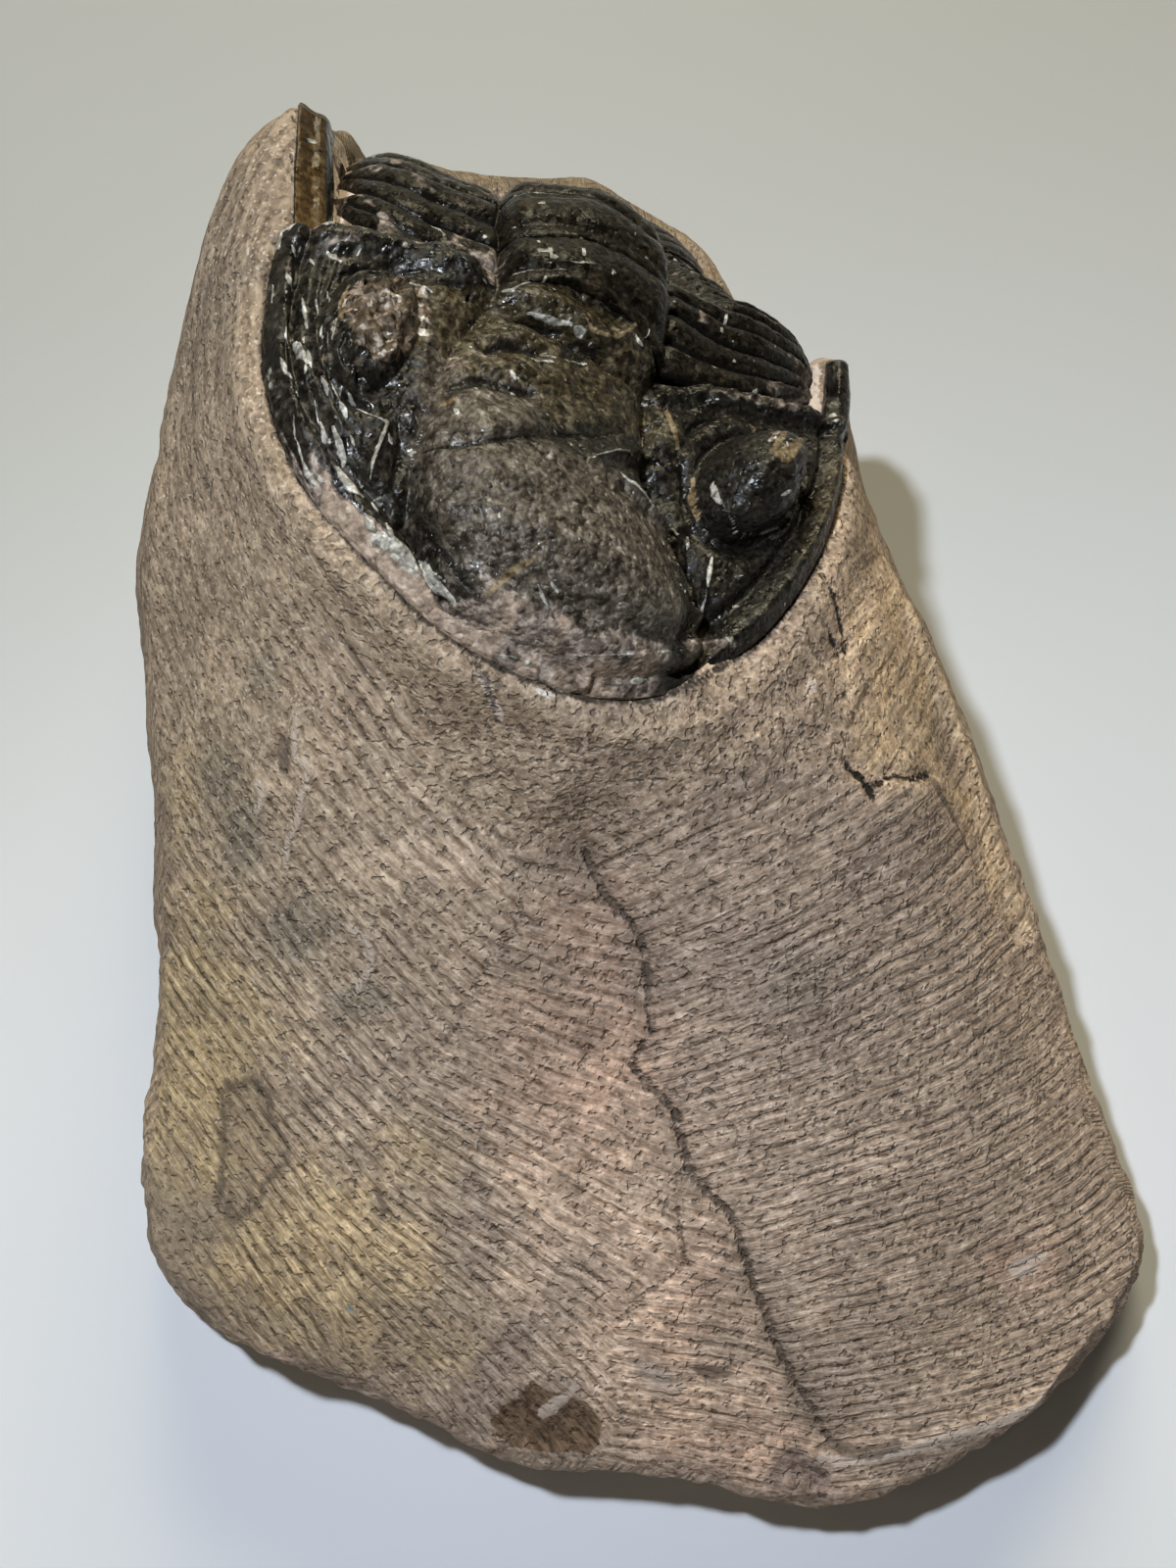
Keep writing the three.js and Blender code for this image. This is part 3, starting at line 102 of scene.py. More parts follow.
# columns round the block, from the upper rim down to the foot: x, y, z six times
COLUMNS = [

    [-21.498, 30.898, 50, -22.768, 36.688, 40, -23.708, 40.948, 30, -24.528, 44.668, 20, -25.338, 48.338, 9, -25.818, 50.538, 0],
    [-20.098, 31.388, 47, -21.418, 37.358, 37.6, -22.388, 41.758, 28.2, -23.228, 45.608, 18.8, -24.068, 49.418, 8.46, -24.578, 51.718, 0],
    [-19.588, 33.238, 42, -20.198, 39.318, 33.6, -20.648, 43.798, 25.2, -21.038, 47.718, 16.8, -21.428, 51.588, 7.56, -21.658, 53.938, 0],
    [-18.938, 31.498, 40.84, -18.058, 35.238, 32.28, -17.358, 34.608, 24.04, -16.118, 37.158, 17.78, -19.338, 50.518, 14, -20.278, 52.118, 0],
    [-15.148, 28.798, 41.38, -14.878, 32.928, 33.29, -13.918, 34.068, 25.43, -12.348, 37.318, 19.33, -14.308, 50.018, 12.5, -14.948, 51.618, 0],
    [-10.938, 27.028, 39.86, -10.458, 30.318, 32.7, -9.778, 32.688, 25.23, -8.498, 36.938, 19.14, -8.538, 49.918, 11.5, -8.828, 51.518, 0],
    [-6.918, 25.858, 38.23, -5.578, 28.218, 31.96, -5.248, 31.758, 24.89, -4.698, 36.668, 18.78, -3.668, 50.508, 11, -3.668, 52.108, 0],
    [-0.598, 24.038, 36.43, -0.598, 26.158, 31.22, -0.528, 30.888, 24.58, -0.918, 36.368, 18.42, 0.792, 47.578, 11, 1.052, 49.178, 0],
    [4.762, 23.018, 34.58, 5.002, 24.298, 30.25, 4.362, 30.288, 24.07, 2.832, 36.178, 17.9, 5.592, 43.688, 11, 6.152, 45.288, 0],
    [10.442, 22.978, 30.87, 9.302, 23.598, 28.1, 8.582, 29.428, 22.15, 6.102, 35, 15.68, 10.192, 35, 12, 11.022, 35, 0],
    [12.162, 23.208, 31, 13.222, 26.524, 24.8, 14.002, 27.268, 18.6, 14.672, 28.012, 12.4, 15.332, 28.83, 5.58, 15.682, 29.5, 0],
    [12.802, 23.438, 32, 14.732, 25.528, 25.6, 16.026, 26.296, 19.2, 16.871, 27.064, 12.8, 17.384, 27.909, 5.76, 18.408, 28.6, 0],
    [14.352, 23.288, 32, 15.139, 24.328, 25.6, 15.984, 25.096, 19.2, 16.355, 25.864, 12.8, 17.321, 26.709, 5.76, 18.42, 27.4, 0],
    [14.082, 17.218, 33, 14.713, 17.438, 26.4, 17.112, 17.588, 19.8, 19.052, 17.718, 13.2, 20.222, 17.838, 5.94, 20.462, 17.858, 0],
    [14.152, 13.628, 33, 16.292, 13.628, 26.4, 17.862, 13.628, 19.8, 19.152, 13.628, 13.2, 20.332, 13.628, 5.94, 20.572, 13.628, 0],
    [16.582, 9.138, 31, 18.602, 9.138, 24.8, 20.082, 9.138, 18.6, 21.292, 9.138, 12.4, 22.392, 9.138, 5.58, 22.572, 9.138, 0],
    [19.462, 4.758, 28.5, 21.342, 4.758, 22.8, 22.702, 4.758, 17.1, 23.822, 4.758, 11.4, 24.812, 4.758, 5.13, 24.922, 4.758, 0],
    [22.612, -1.612, 25, 24.412, -1.612, 20, 25.712, -1.612, 15, 26.782, -1.612, 10, 27.722, -1.612, 4.5, 27.782, -1.612, 0],
    [25.932, -9.332, 21, 27.472, -9.332, 16.8, 28.592, -9.332, 12.6, 29.482, -9.332, 8.4, 30.252, -9.332, 3.78, 30.182, -9.332, 0],
    [28.322, -15.502, 18.5, 29.712, -15.502, 14.8, 30.712, -15.502, 11.1, 31.492, -15.502, 7.4, 32.152, -15.502, 3.33, 31.992, -15.502, 0],
    [31.282, -23.842, 15.5, 32.472, -23.842, 12.4, 33.332, -23.842, 9.3, 33.992, -23.842, 6.2, 34.522, -23.842, 2.79, 34.262, -23.842, 0],
    [33.942, -29.722, 12.5, 34.942, -29.822, 10, 35.652, -29.892, 7.5, 36.182, -29.942, 5, 36.582, -29.982, 2.25, 36.222, -29.952, 0],
    [36.222, -34.772, 10, 37.012, -34.852, 8, 37.572, -34.902, 6, 37.962, -34.942, 4, 38.212, -34.972, 1.8, 37.742, -34.922, 0],
    [35.122, -39.232, 10, 35.742, -39.412, 8, 36.172, -39.542, 6, 36.452, -39.622, 4, 36.602, -39.672, 1.8, 36.072, -39.512, 0],
    [31.642, -43.272, 10.5, 32.002, -43.632, 8.4, 32.252, -43.882, 6.3, 32.402, -44.022, 4.2, 32.442, -44.062, 1.89, 32.002, -43.622, 0],
    [27.252, -47.552, 11, 27.422, -47.872, 8.8, 27.532, -48.092, 6.6, 27.572, -48.192, 4.4, 27.562, -48.152, 1.98, 27.242, -47.532, 0],
    [20.902, -51.122, 11, 20.992, -51.422, 8.8, 21.052, -51.622, 6.6, 21.072, -51.692, 4.4, 21.052, -51.622, 1.98, 20.842, -50.922, 0],
    [15.572, -53.272, 11.5, 15.572, -53.532, 9.2, 15.572, -53.702, 6.9, 15.572, -53.732, 4.6, 15.572, -53.632, 2.07, 15.572, -52.872, 0],
    [9.162, -52.972, 12, 9.162, -53.172, 9.6, 9.162, -53.302, 7.2, 9.162, -53.302, 4.8, 9.162, -53.152, 2.16, 9.162, -52.372, 0],
    [4.452, -51.822, 12, 4.452, -52.022, 9.6, 4.452, -52.152, 7.2, 4.452, -52.152, 4.8, 4.452, -52.012, 2.16, 4.452, -51.222, 0],
    [-2.308, -51.052, 12, -2.308, -51.252, 9.6, -2.308, -51.382, 7.2, -2.308, -51.382, 4.8, -2.308, -51.242, 2.16, -2.308, -50.452, 0],
    [-9.098, -50.412, 12, -9.118, -50.612, 9.6, -9.128, -50.742, 7.2, -9.128, -50.742, 4.8, -9.118, -50.592, 2.16, -9.038, -49.812, 0],
    [-17.248, -46.482, 13, -17.338, -46.792, 10.4, -17.408, -47.002, 7.8, -17.428, -47.082, 5.2, -17.408, -47.032, 2.34, -17.208, -46.342, 0],
    [-26.838, -42.552, 13.5, -27.078, -43.032, 10.8, -27.248, -43.362, 8.1, -27.338, -43.552, 5.4, -27.378, -43.622, 2.43, -27.098, -43.072, 0],
    [-32.818, -37.952, 15.5, -33.508, -38.372, 12.4, -33.998, -38.662, 9.3, -34.348, -38.872, 6.2, -34.568, -39.012, 2.79, -34.168, -38.772, 0],
    [-33.898, -31.492, 18.5, -35.008, -31.492, 14.8, -35.798, -31.492, 11.1, -36.398, -31.492, 7.4, -36.868, -31.492, 3.33, -36.558, -31.492, 0],
    [-32.258, -22.152, 24, -33.638, -22.152, 19.2, -34.628, -22.152, 14.4, -35.408, -22.152, 9.6, -36.058, -22.152, 4.32, -35.888, -22.152, 0],
    [-31.518, -10.322, 31, -33.228, -10.322, 24.8, -34.478, -10.322, 18.6, -35.488, -10.322, 12.4, -36.368, -10.322, 5.58, -36.388, -10.322, 0],
    [-32.008, 1.418, 36, -33.788, 1.418, 28.8, -35.078, 1.418, 21.6, -36.128, 1.418, 14.4, -37.058, 1.418, 6.48, -37.108, 1.418, 0],
    [-32.328, 6.478, 38.5, -34.208, 6.478, 30.8, -35.588, 6.478, 23.1, -36.708, 6.478, 15.4, -37.718, 6.478, 6.93, -37.818, 6.478, 0],
    [-30.848, 12.548, 41.5, -32.868, 12.548, 33.2, -34.338, 12.548, 24.9, -35.548, 12.548, 16.6, -36.638, 12.548, 7.47, -36.818, 12.548, 0],
    [-29.318, 18.448, 44.5, -31.458, 18.668, 35.6, -33.028, 18.818, 26.7, -34.318, 18.948, 17.8, -35.488, 19.068, 8.01, -35.738, 19.098, 0],
    [-27.118, 25.888, 47.5, -29.308, 26.538, 38, -30.898, 27.018, 28.5, -32.228, 27.418, 19, -33.448, 27.788, 8.55, -33.748, 27.878, 0],
    [-24.328, 30.058, 49, -27.188, 33.328, 39.2, -29.288, 35.728, 29.4, -31.108, 37.808, 19.6, -32.868, 39.818, 8.82, -33.798, 40.888, 0],
    [-22.838, 30.968, 49.5, -24.328, 35.918, 39.6, -25.418, 39.578, 29.7, -26.378, 42.748, 19.8, -27.308, 45.868, 8.91, -27.848, 47.648, 0],
]
# points of the carved upper surface
HEIGHTS = [
    [-5.968, -6.902, 45], [-10.458, -4.992, 47.5], [-13.808, -2.992, 48.6], [-18.228, 0.858, 50.3],
    [-21.098, 5.078, 51], [-22.848, 9.888, 51.2], [-23.298, 14.898, 51.2], [-22.828, 20.018, 51.2],
    [-22.298, 26.308, 50.6], [-25.348, 6.998, 46.6], [-25.318, 15.418, 49], [-24.648, 22.808, 49.8],
    [-25.898, -0.502, 41.5], [-19.248, -2.082, 46], [-15.208, -5.992, 45], [-26.408, -8.492, 36.5],
    [-20.398, -9.382, 39.8], [-14.308, -9.702, 41], [-9.548, -8.752, 42], [-6.048, -11.272, 40],
    [-3.668, -13.092, 37.3], [-1.338, -7.962, 43.5], [2.162, -6.782, 43.6], [7.102, -3.562, 41.2],
    [11.932, 2.838, 37.6], [14.542, 9.678, 34], [2.292, -10.612, 39.8], [8.492, -8.842, 37.8],
    [13.132, -4.492, 36], [15.472, -0.502, 33.8], [18.842, -7.022, 31], [14.422, -9.222, 34.4],
    [-25.938, -19.662, 29], [-19.198, -20.152, 32], [-12.868, -20.412, 33.6], [-6.128, -20.362, 33.3],
    [0.202, -20.052, 31.4], [6.332, -20.022, 31.2], [15.572, -19.492, 28], [22.872, -18.772, 23.6],
    [-26.608, -31.702, 21.8], [-16.508, -31.882, 24.6], [-6.858, -31.932, 25.4], [3.032, -31.472, 24.2],
    [12.602, -31.762, 22.8], [23.142, -31.512, 18.8], [30.092, -31.262, 15], [-20.258, -41.212, 17.6],
    [-10.208, -41.202, 19.6], [-0.418, -41.192, 20.3], [8.522, -41.202, 18.6], [16.262, -41.212, 17.4],
    [24.932, -41.232, 14], [-8.468, -15.052, 37.8], [-14.488, -15.012, 37.6], [-22.158, -14.362, 34.6],
    [6.142, -14.492, 35.2], [13.302, -13.842, 32.2], [20.492, -12.812, 27.4], [-10.368, -47.042, 14.8],
    [-0.338, -47.652, 15.2], [12.512, -49.042, 13.3], [20.642, -47.092, 13.6], [-21.498, 30.898, 50],
    [-20.098, 31.388, 47], [-19.588, 33.238, 42], [12.162, 23.208, 31], [12.802, 23.438, 32],
    [14.352, 23.288, 32], [14.082, 17.218, 33], [14.152, 13.628, 33], [16.582, 9.138, 31],
    [19.462, 4.758, 28.5], [22.612, -1.612, 25], [25.932, -9.332, 21], [28.322, -15.502, 18.5],
    [31.282, -23.842, 15.5], [33.942, -29.722, 12.5], [36.222, -34.772, 10], [35.122, -39.232, 10],
    [31.642, -43.272, 10.5], [27.252, -47.552, 11], [20.902, -51.122, 11], [15.572, -53.272, 11.5],
    [9.162, -52.972, 12], [4.452, -51.822, 12], [-2.308, -51.052, 12], [-9.098, -50.412, 12],
    [-17.248, -46.482, 13], [-26.838, -42.552, 13.5], [-32.818, -37.952, 15.5], [-33.898, -31.492, 18.5],
    [-32.258, -22.152, 24], [-31.518, -10.322, 31], [-32.008, 1.418, 36], [-32.328, 6.478, 38.5],
    [-30.848, 12.548, 41.5], [-29.318, 18.448, 44.5], [-27.118, 25.888, 47.5], [-24.328, 30.058, 49],
    [-22.838, 30.968, 49.5], [-21.358, 14.948, 49.29], [-17.018, 10.178, 48.43], [-6.808, 0.718, 44.68],
    [-8.318, 9.128, 43.13], [1.082, 5.738, 39.11], [8.232, 12.058, 35.52], [-16.678, 18.118, 46.28],
    [2.472, 13.528, 36.92], [-7.048, 16.088, 41.19], [-18.938, 31.498, 40.84], [-15.148, 28.798, 41.38],
    [-10.938, 27.028, 39.86], [-6.918, 25.858, 38.23], [-0.598, 24.038, 36.43], [4.762, 23.018, 34.58],
    [10.442, 22.978, 30.87],
]
# ridges of the genal spines, outer and inner edge in turn
SPINE_LEFT = [
    [-21.2, 20.3, 51.5], [-19.35, 21.2, 50.0], [-21.30, 26.378, 51.3], [-19.558, 26.828, 50.0],
    [-21.458, 31.6, 50.1], [-19.858, 31.2, 48.9],
]
SPINE_RIGHT = [
    [12.032, 17.038, 34.0], [13.952, 16.888, 33.4], [12.622, 20.028, 33.2], [14.222, 20.128, 32.7],
    [12.902, 23.258, 32.2], [14.352, 23.288, 32.0],
]

# ---- tool marks: for each worked face, the degree and coefficients of the smooth count of marks across
# and of the way along them, over x/40 and y/40
MARKS = {
    'L': (3, [-18.614, 18.862, 10.121, -16.849, 2.912, 1.392, 13.893, 0.857, -2.53],
          [-62.479, -4.929, 2.898, 26.164, -1.708, -5.426, 1.224, 19.74, -13.297]),
    'M': (3, [-29.652, 11.093, 7.896, 4.351, 15.594, -6.75, 7.716, -9.658, -11.392],
          [-6.161, 8.494, -1.054, 50.288, -7.14, -13.141, -4.457, -7.671, -3.592]),
    'R': (3, [-28.58, 22.228, 4.926, 18.609, 6.863, -1.231, 10.719, 12.27, 6.376],
          [25.524, -7.136, -5.225, 43.972, -9.265, -0.547, -4.014, -0.438, -4.569]),
    'S': (2, [-14.378, 7.63, 19.139, -2.93, 10.347],
          [26.671, -4.514, 1.704, 6.375, 3.483]),
    'B': (2, [-10.598, 15.421, 0.573, 6.318, -6.894],
          [-2.042, 1.749, 29.793, -14.92, 1.362]),
}
MARK_M = [
    (-9.62, -11.96), (-6.07, -13.17), (-3.91, -12.91), (-2.75, -15.01), (-1.02, -16.54), (-0.01,
    -18.44), (0.28, -21.14), (0.49, -22.99), (-0.95, -24.89), (0.91, -26.68), (2.14, -28.04), (3.03,
    -31.48), (2.13, -32.16), (2.82, -37.43), (-0.1, -39.62), (-1.72, -41.19), (-2.48, -44.38), (-1,
    -47.66), (-3.67, -51.06), (-6.43, -55.23), (-24.94, -55.65), (-21.27, -44.5), (-17.99, -36.79),
    (-15.81, -30.68), (-14.69, -26.57), (-13.67, -24.86), (-12.04, -23.19), (-9.75, -19.09), (-8.21,
    -17.71), (-7.21, -14.48),
]
MARK_B = [
    (3.03, -31.48), (2.13, -32.16), (2.82, -37.43), (-0.1, -39.62), (-1.72, -41.19), (-2.48, -44.38),
    (-1, -47.66), (-3.67, -51.06), (-6.43, -55.23), (14.07, -57.71), (13.21, -51.01), (13.05, -49.11),
    (12.41, -47.91), (10.17, -44.43), (7.95, -39.81), (5.73, -33.99), (3.69, -32.33),
]
MARK_R = [
    (-1.28, -11.18), (-3.91, -12.91), (-2.75, -15.01), (-1.02, -16.54), (-0.01, -18.44), (0.28, -21.14),
    (0.49, -22.99), (-0.95, -24.89), (0.91, -26.68), (2.14, -28.04), (3.03, -31.48), (3.69, -32.33),
    (5.73, -33.99), (7.95, -39.81), (10.17, -44.43), (12.41, -47.91), (13.05, -49.11), (13.21, -51.01),
    (14.18, -60.47), (47.58, -61.81), (50.92, 26.42), (2.77, 14.81),
]
MARK_S = [
    (15.5, 11.78), (15.38, 6.53), (16.07, 3.19), (14.02, 0.93), (13.19, -1.95), (12.56, -4.95), (13.2,
    -7), (14.63, -7.99), (15.84, -7.13), (18.46, -6.8), (19.75, -6.01), (21.77, -9.29), (23.47, -12.09),
    (26.37, -15.52), (45.33, -12.94), (32.72, 18.45),
]
STIPPLE = [
    (-22.85, 9.36), (-21.45, 4.18), (-18.9, 0.34), (-15.62, -3.7), (-12.84, -6.19), (-13.09, -9.25),
    (-9.62, -12.07), (-6.07, -13.17), (-3.67, -12.61), (-1.28, -11.41), (2.27, -10.14), (5.93, -9.25),
    (11.07, -7.92), (12.94, -6.43), (12.62, -2.12), (11.85, 0.82), (13.5, 4.89), (14.16, 9.53), (13.74,
    17.19), (2.85, 18.57), (-21.17, 18.08),
]
BUTTRESS = [
    (-10.52, -6.05), (-12.15, -8.35), (-12.53, -9.74), (-9.62, -12.07), (-6.07, -13.17), (-3.67,
    -12.13), (-1.29, -10.72), (-1.34, -8.43), (-3.67, -7.06), (-7.12, -6.65),
]
RUST = [
    (-10.38, -47.71), (-9.34, -46.5), (-8.32, -46.03), (-7.84, -45.3), (-7.3, -44.91), (-6.65, -45.56),
    (-5.52, -45.69), (-4.79, -45.16), (-4.99, -46.01), (-3.67, -46.47), (-2.8, -47.66), (-2.8, -49.01),
    (-3.67, -49.96), (-5.36, -49.97), (-6.37, -50.11), (-7.72, -49.71), (-9.07, -49.38), (-9.87, -48.71),
]
RUST_PALE = [
    (-4.39, -44.71), (-4.2, -45.42), (-5.13, -46.47), (-6, -47.34), (-7.01, -47.68), (-7.13, -46.88),
    (-6.32, -46.22), (-5.32, -45.69),
]
CRUST = [
    (9.46, -50.33), (9.79, -49.54), (10.81, -49.55), (11.85, -50.35), (12.87, -51.01), (13.22, -52),
    (14.6, -52.99), (11.88, -52.98), (9.15, -52.31), (8.14, -51.98),
]
CHIP = [
    (-27.59, -26), (-25.45, -25.62), (-24.41, -26.87), (-24.68, -28.07), (-23.66, -29.63), (-23.94,
    -31.15), (-25.23, -32.04), (-25.88, -33.58), (-27.86, -34.49), (-28.7, -33.21), (-28, -31.04),
    (-28.15, -28.55),
]
WORN = [
    (-37.57, -29.44), (-31.26, -30.94), (-27.48, -34.18), (-26.89, -35.76), (-30.56, -37), (-28.06,
    -40.58), (-38.76, -44.65),
]
PALE_SPOT = [
    (25.56, -37.29), (26.68, -36.62), (28.44, -36.4), (28.45, -37.06), (27.84, -37.27), (27.71, -37.93),
    (26.35, -38.27), (25.44, -37.95),
]
GREY_SMEAR = [
    (-1.04, -43.73), (0.26, -43.1), (2.26, -44.39), (2.95, -45.36), (1.64, -46.34), (0.63, -45.68),
    (-0.71, -44.7),
]
SMUDGE = [
    (2.92, -44.13), (3.24, -43.43), (5.58, -43.76), (6.74, -44.41), (5.62, -45.18), (3.95, -45.17),
]
DARK_SPOT = [
    (-22.7, -6.56), (-22.15, -6.28), (-21.74, -7.13), (-21.89, -8.41), (-22.32, -8.87), (-22.79, -8.02),
]
DARK_SPOT2 = [
    (-18.04, -32.6), (-17.17, -32.36), (-17.07, -33.22), (-16.45, -34.2), (-16.86, -34.69), (-17.48,
    -33.7),
]
WHITE_CRYSTAL = [
    (-6.82, -5.84), (-6.42, -5.73), (-5.85, -5.91), (-5.33, -6.14), (-5.28, -6.34), (-5.97, -6.31),
    (-6.59, -6.13),
]
TAN_CRYSTAL = [
    (-5.56, -5.1), (-5.16, -4.55), (-4.24, -4.29), (-4.07, -4.98), (-4.59, -5.68), (-5.16, -6.03),
    (-5.45, -5.73),
]
GREY_CRYSTAL = [
    (-4.24, -5.16), (-3.67, -4.89), (-3.32, -5.21), (-3.84, -5.69), (-4.36, -5.93),
]
YELLOW_SPOT = [
    (9.87, -2.27), (10.55, -1.96), (10.8, -2.94), (10.12, -3.55), (9.72, -3.04),
]
BACK_PALE = [
    (-12.76, 39.8), (-7.89, 38.97), (-2.25, 40.03), (1.96, 36.83), (7.31, 29), (2.97, 24.18), (-3.67,
    29.51), (-11.92, 35.13),
]
SPINE_PALE_L = [
    (-20.95, 37.19), (-20.04, 37.24), (-18.84, 36.56), (-16.02, 38.28), (-17.14, 35.57), (-18.4, 27.61),
    (-18.87, 23.66), (-19.55, 23.28), (-19.79, 27.7),
]
SPINE_PALE_R = [
    (10, 24.09), (11.92, 25.45), (12.52, 23.8), (12.24, 18.82), (11.38, 18.08), (9.81, 20.6),
]
TURQ = [
    (-20.03, -39.93), (-19.36, -40.06), (-19.4, -40.63), (-20.01, -40.63),
]
BACK_SPOT = [
    (2.15, 33.59), (2.98, 33.31), (2.81, 32.27), (2.12, 32.36),
]
CREASE = [
    (-3.91, -12.91), (-3.3, -13.86), (-2.75, -15.01), (-1.95, -15.8), (-1.02, -16.54), (-0.01, -18.44),
    (0.28, -21.14), (0.49, -22.99), (-0.2, -24), (-0.95, -24.89), (-0.19, -25.76), (0.91, -26.68),
    (2.14, -28.04), (2.55, -29.72), (3.03, -31.48), (3.69, -32.33), (5.73, -33.99), (6.76, -36.79),
    (7.95, -39.81), (8.88, -42.16), (10.17, -44.43), (12.41, -47.91), (13.05, -49.11),
]
CRACK_A = [
    (10.8, 5.18), (11.33, 4.11), (11.83, 3.38), (12.25, 2.13), (12.63, 0.95), (12.82, 0.24),
]
CRACK_A2 = [
    (11.39, 1.34), (11.71, 0.65), (12.24, -0.28),
]
CRACK_A3 = [
    (12.82, 0.24), (13.15, -0.88), (12.6, -2.76), (12.37, -4.25), (12.4, -6.1), (12.8, -7.25),
]
CRACK_B = [
    (12.8, -7.25), (13.74, -7.83), (14.42, -8.81), (14.63, -7.99), (15.33, -7.48), (16.2, -7.05), (17.3,
    -7.05), (18.83, -6.06),
]
# path of a shadow band along a step of the right facet: a slight dip, with painted shadow in its colour
STEP_SHADOW_BAND = [
    (18.83, -6.06), (19.67, -7.07), (20.66, -8.03), (21.78, -9.16), (23.07, -10.87),
]
CRACK_D = [
    (-19.54, -29.06), (-18.78, -31.37), (-19.14, -33.75), (-19.9, -34.42), (-19.23, -36.1), (-20.64,
    -38.66),
]
CRACK_E = [
    (1.57, -10.74), (1.76, -12.58), (1.59, -14.87),
]
CRACK_F = [
    (-10.99, -3.08), (-10.44, -4), (-10.06, -4.68), (-9.48, -5.72), (-8.97, -6.9),
]
CRACK_G = [
    (-10.05, -4.08), (-9.05, -4.06), (-8.22, -4.27), (-7.38, -4.7), (-6.64, -5.28), (-5.62, -5.69),
]
CRACK_H = [
    (-9.81, -5.39), (-9.12, -6.39), (-8.75, -6.99),
]
JOIN_LM = [
    (-9.62, -11.96), (-7.21, -14.48), (-8.21, -17.71), (-9.75, -19.09), (-12.04, -23.19), (-13.67,
    -24.86),
]
JOIN_MB = [
    (2.13, -32.16), (2.82, -37.43), (-0.1, -39.62), (-1.72, -41.19),
]
EDGE_L = [
    (-22.25, -13.93), (-20.56, -15.34), (-18.88, -16.86), (-17.66, -18.15), (-17.41, -19.42), (-18.24,
    -20.49),
]
SCAR_A = [
    (-21.19, -5.65), (-21.53, -6.9), (-21.47, -7.95), (-20.54, -8.69), (-21.22, -9.89), (-21.6, -11.28),
    (-22.43, -12.33), (-22.68, -13.56),
]
SCAR_B = [
    (-24.2, -8.86), (-23.72, -9.56), (-24.34, -10.42),
]
SCAR_C = [
    (-18.7, -17.2), (-17.34, -18.17), (-17.34, -19.43), (-18.32, -20.76),
]
LIP = [
    (12.39, -50.22), (13.89, -50.55), (15.93, -50.17), (18.34, -49.73), (20.77, -49.1), (24.32, -48.16),
    (27.99, -46.7), (30.26, -44.59),
]
LIP_DARK = [
    (13.33, -49.3), (14.15, -49.7), (15.24, -49.97), (16.46, -49.78), (17.62, -49.32),
]
FACET = [
    (15.5, 11.78), (15.38, 6.53), (16.07, 3.19), (14.02, 0.93), (13.19, -1.95), (12.56, -4.95),
]
OLIVE = [(-29.8, -24.8, 6.3, 10.6, 1), (-22.1, -37.4, 10.0, 7.1, 1), (-28.6, -16.5, 3.5, 4.1, 0.6), (-14.5, -30.7, 4.5, 3.6, 0.6), (-30.2, -8.9, 2.3, 5.1, 0.5), (17.8, -0.3, 6.6, 8.4, 0.55), (1.6, -6.8, 5.6, 1.9, 0.35), (-14.9, -42.5, 6.0, 4.0, 0.6)]
PINK = [(-4.3, -24.8, 7.0, 7.7, 0.9), (-3.7, -18.0, 5.0, 5.1, 0.8), (-1.1, -33.7, 6.5, 7.5, 0.4), (7.1, -49.7, 7.5, 4.0, 0.7), (-19.5, -5.4, 5.5, 4.0, 0.4), (2.8, -39.9, 5.3, 7.7, 0.6), (26.3, -37.3, 3.9, 2.0, 0.8)]
BLUE = [(-26.7, -7.9, 2.1, 2.4, 0.8), (-25.6, -11.3, 1.7, 2.4, 0.9), (-22.3, -17.1, 3.3, 2.3, 0.9), (-18.0, -21.3, 2.6, 1.2, 1), (-23.3, -3.2, 1.7, 1.3, 0.7), (10.9, -21.0, 6.1, 4.1, 0.4), (2.1, -33.7, 2.0, 4.4, 0.35), (24.5, -23.7, 2.4, 2.6, 0.5), (-0.5, -32.8, 1.9, 1.8, 0.5)]
# DARK and LIGHT patches: partly the stone's own darker and paler tone, partly painted shade on the steep upper-left
# strip and painted light on the lower and right slopes
DARK = [(-26.6, 19.2, 3.8, 7.7, 1.1), (-24.5, -12.0, 4.6, 4.3, 0.4), (-18.1, -3.7, 5.4, 6.8, 0.35), (-0.6, -17.3, 1.9, 4.5, 0.6), (8.9, -19.4, 9.5, 4.6, 0.45), (19.3, -26.6, 12.6, 8.8, 0.35), (27.2, -43.2, 9.4, 5.3, 0.3), (-2.4, -14.6, 3.7, 2.2, 0.4), (-15.9, -18.1, 4.9, 2.7, 0.35), (22.9, -18.8, 5.1, 7.6, 0.4)]
LIGHT = [(-21.4, -36.8, 8.6, 5.8, 0.45), (-6.3, -45.7, 7.9, 4.0, 0.5), (-1.1, -25.9, 5.7, 5.4, 0.5), (-11.5, -15.1, 3.6, 2.7, 0.4), (-1.1, -43.1, 5.9, 6.6, 0.9), (4.6, -7.4, 7.2, 3.0, 0.4), (-3.0, -32.5, 7.8, 8.7, 0.75), (3.0, -46.3, 7.4, 4.7, 0.8), (9.5, -39.9, 6.1, 3.8, 0.35), (15.7, 3.0, 4.7, 8.3, 0.9), (24.2, -7.1, 3.0, 8.3, 0.7)]

